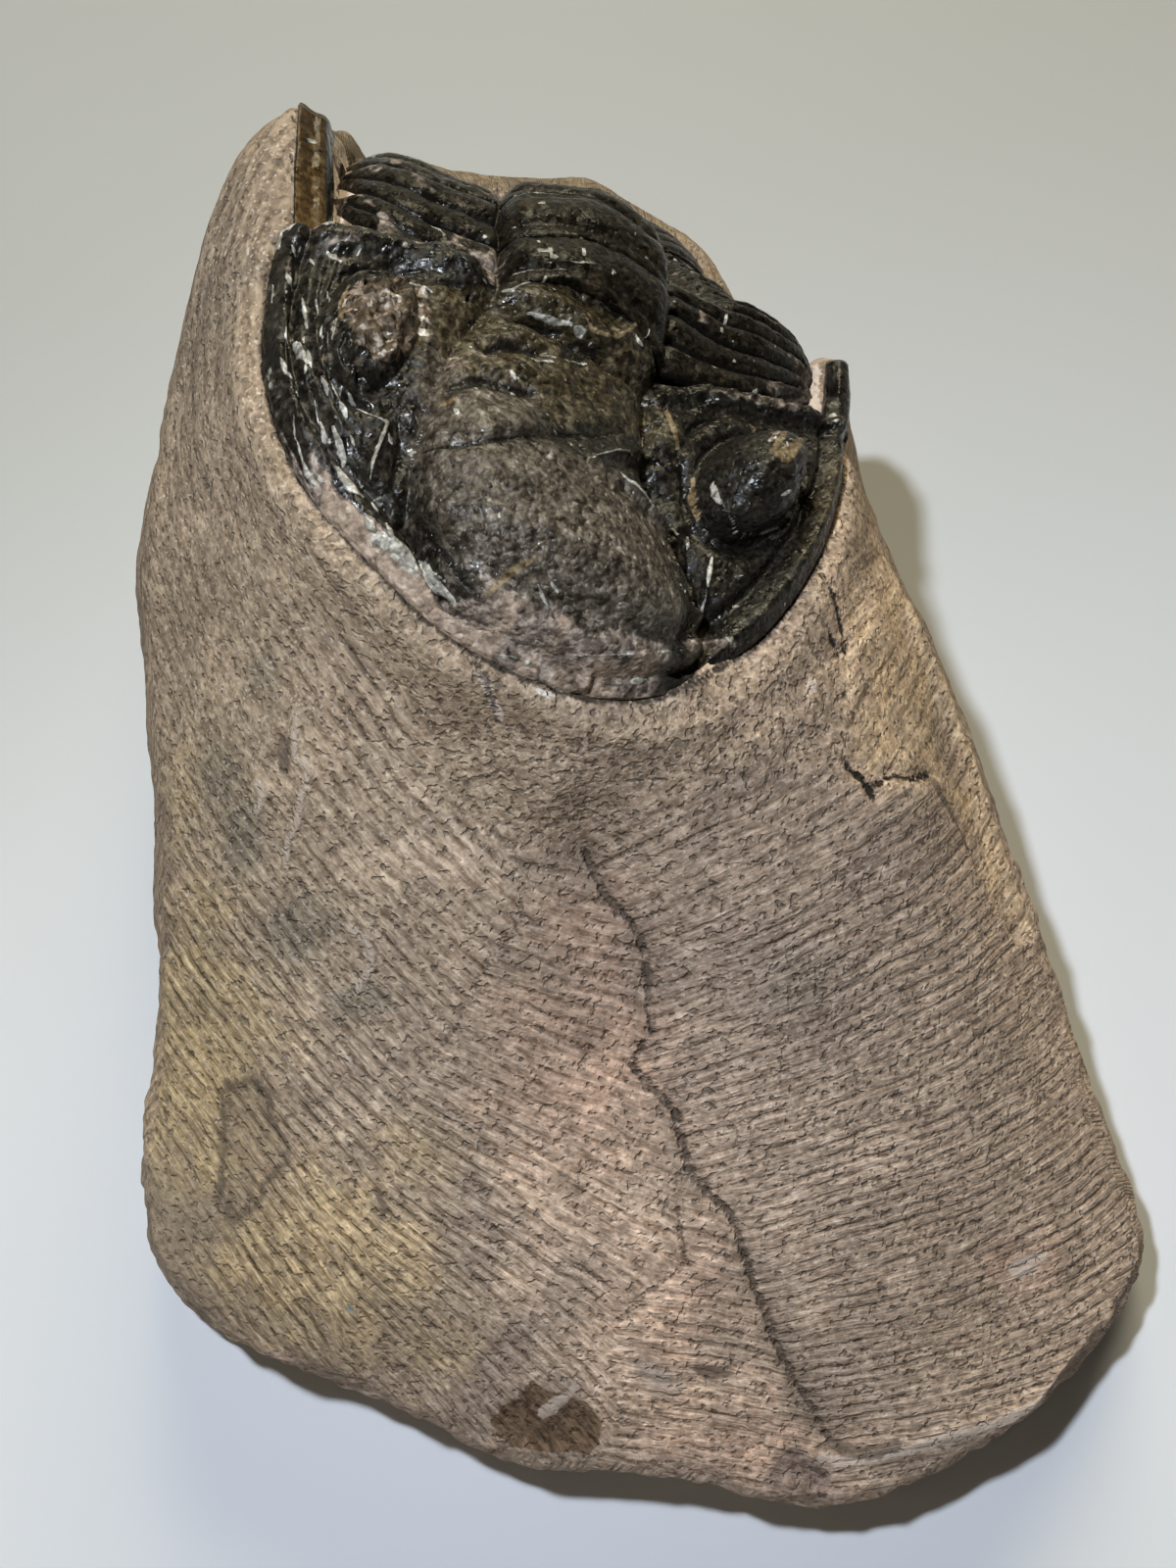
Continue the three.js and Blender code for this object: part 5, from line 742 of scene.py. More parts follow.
# ---- thorax frames
def _frames():
    P, B = [AXIS_START], []
    for i in range(SEGMENTS):
        f = i / (SEGMENTS - 1)
        h = unit([0.1 * (1 - f) - 0.02 * f, 0.995 * (1 - f) + f])
        a = math.radians(SLOPE[i])
        B.append(np.array([h[0] * math.cos(a), h[1] * math.cos(a), -math.sin(a)]))
        P.append(P[i] + B[i] * PITCH[i])
    rows = []
    for i, p in enumerate(P):
        if i == 0:
            al = unit(0.5 * BACK + 0.5 * B[0])
        elif i == SEGMENTS:
            al = unit(B[i - 1])
        else:
            al = unit(0.5 * B[i - 1] + 0.5 * B[i])
        f = min(1, max(0, (i - 2) / 6))
        ac = (1 - f) * ACROSS_THORAX + f * ACROSS_TAIL
        ac = unit(ac - al * (ac @ al))
        rows.append((p, al, ac, np.cross(ac, al)))
    return [np.array(c) for c in zip(*rows)]


FP, FB, FA, FU = _frames()
PITCHES = np.array(PITCH)


def frame_at(row):
    r = np.clip(np.asarray(row, float), 0, SEGMENTS)
    i = np.minimum(np.floor(r).astype(int), SEGMENTS - 1)
    f = (r - i)[..., None]
    L = PITCHES[i][..., None]
    p = (
        (2 * f**3 - 3 * f**2 + 1) * FP[i]
        + (f**3 - 2 * f**2 + f) * L * FB[i]
        + (-2 * f**3 + 3 * f**2) * FP[i + 1]
        + (f**3 - f**2) * L * FB[i + 1]
    )
    return (
        p,
        unit(FA[i] * (1 - f) + FA[i + 1] * f),
        unit(FB[i] * (1 - f) + FB[i + 1] * f),
        unit(FU[i] * (1 - f) + FU[i + 1] * f),
    )


def half_width(row):
    r = np.clip(np.asarray(row, float), 0, SEGMENTS)
    return HEAD_HALF_WIDTH * (THORAX_HALF - THORAX_TAPER * (r / SEGMENTS) ** 1.4)


def arch(q):
    a = np.abs(q)
    d = np.maximum(a - 0.6, 0) / 0.4
    ring = np.sqrt(np.maximum(1 - (a / AXIS_HALF) ** 2, 0))
    z = np.where(a < AXIS_HALF, 0.19 + 0.17 * ring, 0.19 - 0.03 * (a - AXIS_HALF) / 0.3)
    return (
        np.sign(q) * (a - 0.04 * d * d),
        0.04 * np.maximum(a - 0.31, 0) / 0.69 + 0.1 * d**1.6,
        z - 0.3 * d**1.8,
    )


def thorax_point(q, row, lift):
    """lift in mm along the local normal of the row"""
    q, row, lift = np.broadcast_arrays(*(np.asarray(v, float) for v in (q, row, lift)))
    p, ac, al, up = frame_at(row)
    w = half_width(row)
    c = np.clip(q, -1, 1)
    x, y, z = arch(c)
    spare = (q - c) * w
    p = p + ac * (x * w + spare)[..., None] + al * (y * w)[..., None]
    p = p + up * (z * w + lift)[..., None]
    p = p + al * (np.minimum(row, 0) * PITCH[0])[..., None]
    return p + shift_sheet(c, np.maximum(row, 0) * 0.35)


def tail_point(q, l, lift):
    q, l, lift = np.broadcast_arrays(*(np.asarray(v, float) for v in (q, l, lift)))
    a = math.radians(TAIL_SLOPE)
    al = unit([-0.02 * math.cos(a), math.cos(a), -math.sin(a)])
    ac = FA[SEGMENTS]
    up = np.cross(ac, al)
    w0 = float(half_width(SEGMENTS))
    k = np.clip(l, 0, 1)
    w = w0 * np.sqrt(1 - 0.985 * k**2.2)
    c = np.clip(q, -1, 1)
    _, y0, z = arch(c)
    high = (z + 0.11) * w0 * (1 - 0.8 * k**1.6) - 0.11 * w0
    return (
        FP[SEGMENTS]
        + ac * (c * w + (q - c) * w0)[..., None]
        + al * (l * TAIL_LENGTH + y0 * w0 * (1 - k) ** 2)[..., None]
        + up * (high + lift)[..., None]
    )


def eye_radius(s, t):
    left = ((s + 0.60) / 0.175) ** 2 + ((t + 0.375) / 0.235) ** 2
    right = ((s - 0.635) / 0.16) ** 2 + ((t + 0.435) / 0.235) ** 2
    return np.sqrt(np.where(s < 0, left, right))


def head_base(s, t):
    """height of the shell above its sheet, in half-widths, before folds and grain"""
    a, m = np.abs(s), inward(s, t)
    h = 0.15 * (1 - np.exp(-m / 0.16))
    h = h + 0.028 * bell(m - 0.045, 0.030) - 0.028 * bell(m - 0.120, 0.026)
    g = np.interp(t, GLABELLA[:, 0], GLABELLA[:, 1])
    gh = np.interp(t, GLABELLA_HEIGHT[:, 0], GLABELLA_HEIGHT[:, 1])
    gh = gh * (0.90 - 0.22 * smooth(-0.85, -0.40, t))
    ins = 1 - (a / g) ** 2.4
    power = np.where(s < 0, 0.62, 0.80)
    h = h + np.where(ins > 0, gh * np.maximum(ins, 1e-9) ** power, 0)
    furrow = np.where(s < 0, 1 - 0.95 * smooth(-0.80, -0.60, t), 1 - 0.35 * smooth(-0.55, -0.35, t))
    h = h - furrow * np.where((t > -1.12) & (t < -0.02), 0.044 * bell(a - g, 0.032), 0)
    # between the left eye and the glabella the shell is one lumpy slope
    h = h + 0.062 * smooth(-0.72, -0.50, t) * bell(s + 0.385, 0.115)
    h = h - 0.022 * bell(t + 0.128, 0.024) * (a < 0.33)
    h = h + 0.016 * bell(t + 0.045, 0.045) * smooth(0.30, 0.22, a)
    r = eye_radius(s, t)
    dome = np.maximum(1 - r**2.1, 0) ** np.where(s > 0, 0.60, 0.75)
    h = h + np.where(s > 0, 0.185, 0.135) * dome
    h = h - np.where(s > 0, 0.018, 0.006) * bell(r - 1.10, 0.09)
    p = hind_edge(s) - t
    h = h + (a > 0.32) * (0.012 * bell(p - 0.035, 0.028) - 0.016 * bell(p - 0.105, 0.030))
    return h


# ---- mesh helpers
class Bag:
    """vertices, faces and per-vertex attributes of one piece, in millimetres"""

    def __init__(self):
        self.v, self.f, self.a, self.n, self.corner = [], [], {}, 0, {}

    def add(self, verts, faces, **attrs):
        verts = np.asarray(verts, float).reshape(-1, 3)
        m = len(verts)
        for k in set(self.a) | set(attrs):
            width = np.asarray(attrs[k]).reshape(m, -1).shape[1] if k in attrs else self.a[k][0].shape[1]
            if k not in self.a:
                self.a[k] = [np.zeros((self.n, width))]
            self.a[k].append(np.asarray(attrs[k], float).reshape(m, -1) if k in attrs else np.zeros((m, width)))
        self.v.append(verts)
        self.f += [tuple(int(i) + self.n for i in f) for f in faces]
        self.n += m

    def make(self, name, material, creases=None):
        verts = np.vstack(self.v)
        me = bpy.data.meshes.new(name)
        me.from_pydata((verts * MM).tolist(), [], self.f)
        for k, parts in self.a.items():
            data = np.vstack(parts)
            if data.shape[1] == 1:
                at = me.attributes.new(k, "FLOAT", "POINT")
                at.data.foreach_set("value", data.ravel().astype(np.float32))
            else:
                at = me.attributes.new(k, "FLOAT_VECTOR", "POINT")
                at.data.foreach_set("vector", data.ravel().astype(np.float32))
        for k, data in self.corner.items():
            at = me.attributes.new(k, "FLOAT_VECTOR", "CORNER")
            at.data.foreach_set("vector", data.ravel().astype(np.float32))
        me.validate()
        me.update()
        me.shade_smooth()
        ob = bpy.data.objects.new(name, me)
        bpy.context.scene.collection.objects.link(ob)
        me.materials.append(material)
        return ob


def grid_faces(r, c, flip=False):
    i, j = np.meshgrid(np.arange(r - 1), np.arange(c - 1), indexing="ij")
    a = (i * c + j).ravel()
    q = np.stack([a, a + 1, a + c + 1, a + c], -1)
    return q[:, ::-1] if flip else q


def border(r, c):
    """indices round the edge of an r by c grid, one closed loop"""
    top = [j for j in range(c)]
    right = [i * c + c - 1 for i in range(1, r)]
    bottom = [(r - 1) * c + j for j in range(c - 2, -1, -1)]
    left = [i * c for i in range(r - 2, 0, -1)]
    return np.array(top + right + bottom + left)


def volume(V, faces):
    """signed volume of a closed mesh, positive when its faces look outward"""
    total = 0.0
    for n in (3, 4):
        F = np.array([f for f in faces if len(f) == n])
        for k in range(1, n - 1):
            if len(F):
                a, b, c = V[F[:, 0]], V[F[:, k]], V[F[:, k + 1]]
                total += np.einsum("ij,ij->", a, np.cross(b, c)) / 6
    return total


def closed_slab(P, down, steps, flip=False, pull=0.0):
    """grid P (r, c, 3) with walls going down by the vector field `down` and a fan for the hidden underside"""
    r, c = P.shape[:2]
    loop = border(r, c)
    flat = P.reshape(-1, 3)
    rim, d = flat[loop], down.reshape(-1, 3)[loop]
    mid = flat.mean(0)
    verts = [flat]
    rings = []
    for k, (f, inw) in enumerate(steps):
        toward = unit(mid - rim) * inw
        verts.append(rim + d * f + toward)
        rings.append(r * c + k * len(loop) + np.arange(len(loop)))
    faces = [tuple(q) for q in grid_faces(r, c, flip)]
    prev = loop
    for ring in rings:
        for k in range(len(loop)):
            k2 = (k + 1) % len(loop)
            q = (prev[k], ring[k], ring[k2], prev[k2])
            faces.append(q[::-1] if flip else q)
        prev = ring
    V = np.vstack(verts)
    hub = V[prev].mean(0)
    V = np.vstack([V, hub])
    h = len(V) - 1
    for k in range(len(loop)):
        q = (prev[k], h, prev[(k + 1) % len(loop)])
        faces.append(q[::-1] if flip else q)
    src = np.r_[np.arange(r * c), np.tile(loop, len(steps)), loop[0]]
    if volume(V, faces) < 0:
        faces = [tuple(q)[::-1] for q in faces]
    return V, faces, src


# ---- node helper
class Nodes:
    def __init__(self, name):
        self.mat = bpy.data.materials.new(name)
        self.mat.use_nodes = True
        self.t = self.mat.node_tree
        self.t.nodes.clear()
        self.out = self.t.nodes.new("ShaderNodeOutputMaterial")
        self.coord = self.t.nodes.new("ShaderNodeTexCoord").outputs["Object"]

    def _in(self, socket, value):
        if isinstance(value, bpy.types.NodeSocket):
            self.t.links.new(value, socket)
        elif value is not None:
            if hasattr(socket.default_value, "__len__") and not hasattr(value, "__len__"):
                value = [value] * len(socket.default_value)
            if hasattr(socket.default_value, "__len__") and len(value) == 3 and len(socket.default_value) == 4:
                value = (*value, 1)
            socket.default_value = value

    def math(self, op, a, b=None, c=None, clamp=False):
        n = self.t.nodes.new("ShaderNodeMath")
        n.operation = op
        n.use_clamp = clamp
        for s, v in zip(n.inputs, (a, b, c)):
            self._in(s, v)
        return n.outputs[0]

    def add(self, a, b):
        return self.math("ADD", a, b)

    def mul(self, a, b):
        return self.math("MULTIPLY", a, b)

    def sub(self, a, b):
        return self.math("SUBTRACT", a, b)

    def vec(self, op, a, b=None):
        n = self.t.nodes.new("ShaderNodeVectorMath")
        n.operation = op
        self._in(n.inputs[0], a)
        if b is not None:
            if op == "SCALE":
                self._in(n.inputs["Scale"], b)
            else:
                self._in(n.inputs[1], b)
        return n.outputs[0]

    def attr(self, name):
        n = self.t.nodes.new("ShaderNodeAttribute")
        n.attribute_name = name
        return n

    def split(self, v):
        n = self.t.nodes.new("ShaderNodeSeparateXYZ")
        self._in(n.inputs[0], v)
        return n.outputs[0], n.outputs[1], n.outputs[2]

    def join(self, x, y, z):
        n = self.t.nodes.new("ShaderNodeCombineXYZ")
        for s, v in zip(n.inputs, (x, y, z)):
            self._in(s, v)
        return n.outputs[0]

    def noise(self, scale, detail=2.0, rough=0.5, vec=None, warp=0.0, out="Fac"):
        n = self.t.nodes.new("ShaderNodeTexNoise")
        self._in(n.inputs["Vector"], vec if vec is not None else self.coord)
        n.inputs["Scale"].default_value = scale
        n.inputs["Detail"].default_value = detail
        n.inputs["Roughness"].default_value = rough
        n.inputs["Distortion"].default_value = warp
        return n.outputs[out]

    def cells(self, scale, vec=None, feature="F1", out="Distance", random=1.0):
        n = self.t.nodes.new("ShaderNodeTexVoronoi")
        n.feature = feature
        self._in(n.inputs["Vector"], vec if vec is not None else self.coord)
        n.inputs["Scale"].default_value = scale
        n.inputs["Randomness"].default_value = random
        return n.outputs[out]

    def step(self, v, lo, hi, a=0.0, b=1.0):
        n = self.t.nodes.new("ShaderNodeMapRange")
        n.interpolation_type = "SMOOTHSTEP"
        self._in(n.inputs["Value"], v)
        n.inputs["From Min"].default_value = lo
        n.inputs["From Max"].default_value = hi
        n.inputs["To Min"].default_value = a
        n.inputs["To Max"].default_value = b
        return n.outputs[0]

    def mix(self, fac, a, b, mode="MIX"):
        n = self.t.nodes.new("ShaderNodeMix")
        n.data_type = "RGBA"
        n.blend_type = mode
        n.clamp_factor = True
        self._in(n.inputs[0], fac)
        self._in(n.inputs[6], a)
        self._in(n.inputs[7], b)
        return n.outputs[2]

    def ramp(self, fac, stops):
        n = self.t.nodes.new("ShaderNodeValToRGB")
        e = n.color_ramp.elements
        while len(e) < len(stops):
            e.new(0.5)
        for el, (p, col) in zip(e, stops):
            el.position = p
            el.color = (*col, 1) if len(col) == 3 else col
        self._in(n.inputs[0], fac)
        return n.outputs[0]

    def bump(self, height, mm, normal=None):
        n = self.t.nodes.new("ShaderNodeBump")
        n.inputs["Strength"].default_value = 1.0
        n.inputs["Distance"].default_value = mm * MM
        self._in(n.inputs["Height"], height)
        if normal is not None:
            self.t.links.new(normal, n.inputs["Normal"])
        return n.outputs[0]

    def finish(self, color, rough, normal, specular=0.5, coat=0.0, coat_rough=0.2):
        p = self.t.nodes.new("ShaderNodeBsdfPrincipled")
        self._in(p.inputs["Base Color"], color)
        self._in(p.inputs["Roughness"], rough)
        p.inputs["Specular IOR Level"].default_value = specular
        if coat:
            p.inputs["Coat Weight"].default_value = coat
            p.inputs["Coat Roughness"].default_value = coat_rough
        if normal is not None:
            self.t.links.new(normal, p.inputs["Normal"])
        self.t.links.new(p.outputs[0], self.out.inputs[0])
        return self.mat


# ---- stone of the block
def rock_material():
    n = Nodes("limestone")
    count, along, strength = n.split(n.attr("tool").outputs["Vector"])
    olive, pink, blue = n.split(n.attr("tint_a").outputs["Vector"])
    dark, light, stipple = n.split(n.attr("tint_b").outputs["Vector"])
    rust, crust, chip = n.split(n.attr("tint_c").outputs["Vector"])
    pale, smear, worn = n.split(n.attr("tint_d").outputs["Vector"])
    crease, crack, seam = n.split(n.attr("line_a").outputs["Vector"])
    scar, dark_spot_and_step_shadow, edge = n.split(n.attr("line_b").outputs["Vector"])
    fine_crack, crystal, teal = n.split(n.attr("line_c").outputs["Vector"])

    wob = n.noise(150, 1.0, 0.5)
    wob2 = n.noise(900, 1.0, 0.6)
    grain = n.noise(2500, 2.0, 0.6)
    grain2 = n.noise(1350, 3.0, 0.65)
    crumb = n.noise(4200, 0.0, 0.5)
    blotch = n.noise(250, 3.0, 0.6)
    broad = n.noise(75, 0.0, 0.5)

    def off(x, k):
        return n.mul(n.sub(x, 0.5), k)

    # chisel marks: a smooth count that wobbles a little, with a groove at every whole number
    c1 = n.add(count, n.add(off(wob, 1.0), off(wob2, 0.22)))
    tri = n.math("ABSOLUTE", n.sub(n.math("MULTIPLY", n.math("FRACT", c1), 2.0), 1.0))
    lane = n.math("FLOOR", n.add(c1, 0.5))
    gate = n.noise(1.0, 1.0, 0.6, n.join(n.mul(lane, 3.71), n.mul(along, 0.20), 3.0))
    gate = n.step(gate, 0.38, 0.62, 0.0, 1.0)
    rag = n.add(off(grain, 0.70), n.add(off(grain2, 0.90), off(wob2, 0.5)))
    groove = n.mul(n.step(n.add(tri, rag), 0.54, 1.0), n.math("MAXIMUM", gate, n.step(strength, 0.87, 0.94, 0.0, 0.6)))
    crest = n.step(n.add(tri, rag), 0.48, 0.05)
    streak = n.noise(1.0, 1.0, 0.5, n.join(n.mul(c1, 2.6), n.mul(along, 0.27), 0.0))
    streak2 = n.noise(1.0, 1.0, 0.5, n.join(n.mul(c1, 5.5), n.mul(along, 0.75), 7.0))
    fibre = n.add(off(streak, 1.05), off(streak2, 0.95))
    x, y, _ = n.split(n.coord)
    lean = n.sub(y, n.mul(x, 1.2))
    cut = n.mul(groove, strength)
    crest_highlight_and_rise = n.mul(crest, strength)

    # colours
    loose = n.sub(1.0, n.mul(strength, 0.22))
    tone = n.add(n.mul(n.add(off(grain, 0.78), off(grain2, 0.84)), loose), n.add(0.5, n.mul(n.mul(fibre, strength), 0.66)))
    base = n.ramp(tone, [
        (0.20, (0.118, 0.081, 0.059)), (0.40, (0.248, 0.178, 0.135)), (0.52, (0.357, 0.264, 0.206)),
        (0.66, (0.495, 0.376, 0.300)), (0.86, (0.70, 0.56, 0.465)),
    ])
    shade = n.step(blotch, 0.30, 0.70, 0.84, 1.14)
    base = n.mix(1.0, base, n.join(shade, shade, shade), "MULTIPLY")
    shade = n.step(broad, 0.3, 0.7, 0.94, 1.05)
    base = n.mix(1.0, base, n.join(shade, shade, shade), "MULTIPLY")
    # painted light: the front of the block is made up to 1.22 times brighter and the upper left down to 0.66, with less
    # blue there, standing in for the lamp's fall-off across the block
    shade = n.mul(n.step(y, -0.002, -0.036, 1.0, 1.22), n.step(lean, -0.015, 0.085, 1.0, 0.66))
    base = n.mix(1.0, base, n.join(shade, shade, n.mul(shade, n.step(lean, -0.035, 0.030, 0.98, 0.86))), "MULTIPLY")
    ragged = off(blotch, 0.9)
    crumbly = n.add(off(grain2, 0.9), off(blotch, 0.5))

    def patch(mask, lo=0.1, hi=0.9, top=1.0):
        return n.step(n.add(mask, ragged), lo, hi, 0.0, top)

    base = n.mix(n.mul(patch(pink), 0.7), base, n.mix(1.0, base, (1.13, 0.99, 0.96), "MULTIPLY"))
    base = n.mix(n.mul(patch(olive), 0.9), base, n.mix(1.0, base, (1.02, 1.00, 0.75), "MULTIPLY"))
    # pale and dark patches: partly the stone's own tone, partly painted light on the lower and right slopes and painted
    # shade on the steep upper-left strip
    base = n.mix(n.mul(patch(light), 0.9), base, n.mix(1.0, base, (1.60, 1.55, 1.48), "MULTIPLY"))
    base = n.mix(n.mul(patch(dark), 0.85), base, n.mix(1.0, base, (0.70, 0.72, 0.75), "MULTIPLY"))
    base = n.mix(n.mul(patch(blue, 0.10, 0.80), 0.85), base, n.mix(1.0, base, (0.58, 0.64, 0.66), "MULTIPLY"))
    # painted shade in the grooves, darkest on the upper left, and painted highlight on the crests
    base = n.mix(n.mul(cut, n.step(lean, -0.030, 0.015, 0.44, 0.72)), base, (0.100, 0.072, 0.056))
    base = n.mix(n.mul(crest_highlight_and_rise, 0.26), base, (0.54, 0.43, 0.36))
    # loose dark specks, thickest where the stone is dark or stippled
    speck = n.noise(1750, 1.0, 0.6)
    bias = n.add(n.mul(n.add(dark, blue), 0.040), n.mul(stipple, 0.055))
    base = n.mix(n.step(n.add(speck, bias), 0.61, 0.71, 0.0, 0.44), base, (0.068, 0.055, 0.046))
    base = n.mix(n.step(crumb, 0.66, 0.76, 0.0, 0.45), base, (0.62, 0.53, 0.45))
    # worn corner, smoother and greyer
    base = n.mix(n.mul(worn, 0.55), base, n.mix(grain2, (0.15, 0.118, 0.088), (0.30, 0.245, 0.19)))
    # stains and patches, and a band of painted shadow along a step of the right facet
    ring = n.step(n.math("ABSOLUTE", n.add(chip, n.mul(crumbly, 0.9))), 0.0, 0.28, 0.75, 0.0)
    base = n.mix(n.step(n.add(chip, n.mul(crumbly, 0.8)), -0.1, 0.2, 0.0, 0.42), base, n.mix(grain2, (0.10, 0.072, 0.052), (0.25, 0.185, 0.14)))
    base = n.mix(ring, base, (0.10, 0.075, 0.055))
    base = n.mix(n.step(n.add(rust, n.mul(crumbly, 0.9)), -0.08, 0.10, 0.0, 0.86), base, n.mix(n.step(tone, 0.2, 0.8), (0.045, 0.024, 0.012), (0.23, 0.138, 0.075)))
    base = n.mix(n.step(n.add(crust, n.mul(crumbly, 1.2)), -0.1, 0.15, 0.0, 0.8), base, n.mix(n.step(n.add(n.mul(grain2, 0.6), n.mul(blotch, 0.4)), 0.40, 0.62), (0.075, 0.050, 0.043), (0.40, 0.30, 0.255)))
    base = n.mix(n.step(n.add(pale, n.mul(crumbly, 0.7)), -0.05, 0.12, 0.0, 0.90), base, n.mix(grain, (0.36, 0.28, 0.235), (0.74, 0.62, 0.54)))
    base = n.mix(n.step(n.add(smear, n.mul(crumbly, 1.2)), -0.2, 0.5, 0.0, 0.4), base, (0.25, 0.25, 0.245))
    # dark spots, and painted shadow in a band along a step of the right facet
    base = n.mix(n.step(n.add(dark_spot_and_step_shadow, n.mul(crumbly, 0.8)), -0.05, 0.18, 0.0, 0.72), base, (0.085, 0.063, 0.048))
    base = n.mix(n.step(n.add(teal, n.mul(crumbly, 0.4)), -0.02, 0.10, 0.0, 0.6), base, (0.12, 0.26, 0.29))
    # lines
    thin = n.add(off(grain2, 0.55), off(grain, 0.35))
    # crease: a dark pitted line, and a broad band of painted shade along its valley
    base = n.mix(n.step(n.add(crease, n.mul(thin, 1.5)), 0.05, 0.42, 0.74, 0.0), base, (0.056, 0.040, 0.032))
    base = n.mix(n.step(n.add(crease, n.mul(ragged, 1.6)), 0.2, 1.7, 0.26, 0.0), base, (0.12, 0.088, 0.068))
    base = n.mix(n.step(n.add(seam, thin), -0.02, 0.22, 0.62, 0.0), base, (0.07, 0.05, 0.039))
    base = n.mix(n.step(n.add(crack, n.mul(thin, 1.1)), 0.05, 0.27, 0.96, 0.0), base, (0.012, 0.009, 0.007))
    base = n.mix(n.step(n.add(fine_crack, thin), -0.06, 0.14, 0.75, 0.0), base, (0.05, 0.037, 0.028))
    base = n.mix(n.step(n.add(scar, thin), 0.10, 0.34, 0.72, 0.0), base, (0.50, 0.405, 0.33))
    # painted shadow: a near-black line on the stone just outside the edge of the head shield
    base = n.mix(n.step(n.add(edge, thin), 0.12, 0.42, 0.88, 0.0), base, (0.028, 0.021, 0.016))
    base = n.mix(n.step(n.add(crystal, n.mul(thin, 0.5)), -0.05, 0.08, 0.0, 0.95), base, n.mix(grain, (0.40, 0.33, 0.25), (0.85, 0.80, 0.74)))

    # relief
    h = n.sub(n.mul(tone, 0.60), n.mul(cut, 0.52))
    h = n.add(h, n.mul(crest_highlight_and_rise, 0.16))
    h = n.sub(h, n.step(n.add(speck, bias), 0.56, 0.70, 0.0, 0.55))
    h = n.add(h, n.step(n.add(crack, n.mul(thin, 1.1)), 0.0, 0.26, -1.5, 0.0))
    h = n.add(h, n.step(n.add(fine_crack, thin), -0.05, 0.2, -0.6, 0.0))
    h = n.add(h, n.step(n.add(crease, thin), 0.0, 0.35, -0.8, 0.0))
    h = n.add(h, n.step(n.add(seam, thin), 0.0, 0.3, -0.4, 0.0))
    h = n.add(h, n.step(n.add(scar, thin), 0.10, 0.40, 0.55, 0.0))
    bump = n.bump(h, 0.24)
    rough = n.step(grain2, 0.3, 0.7, 0.95, 0.80)
    return n.finish(base, rough, bump, 0.25)


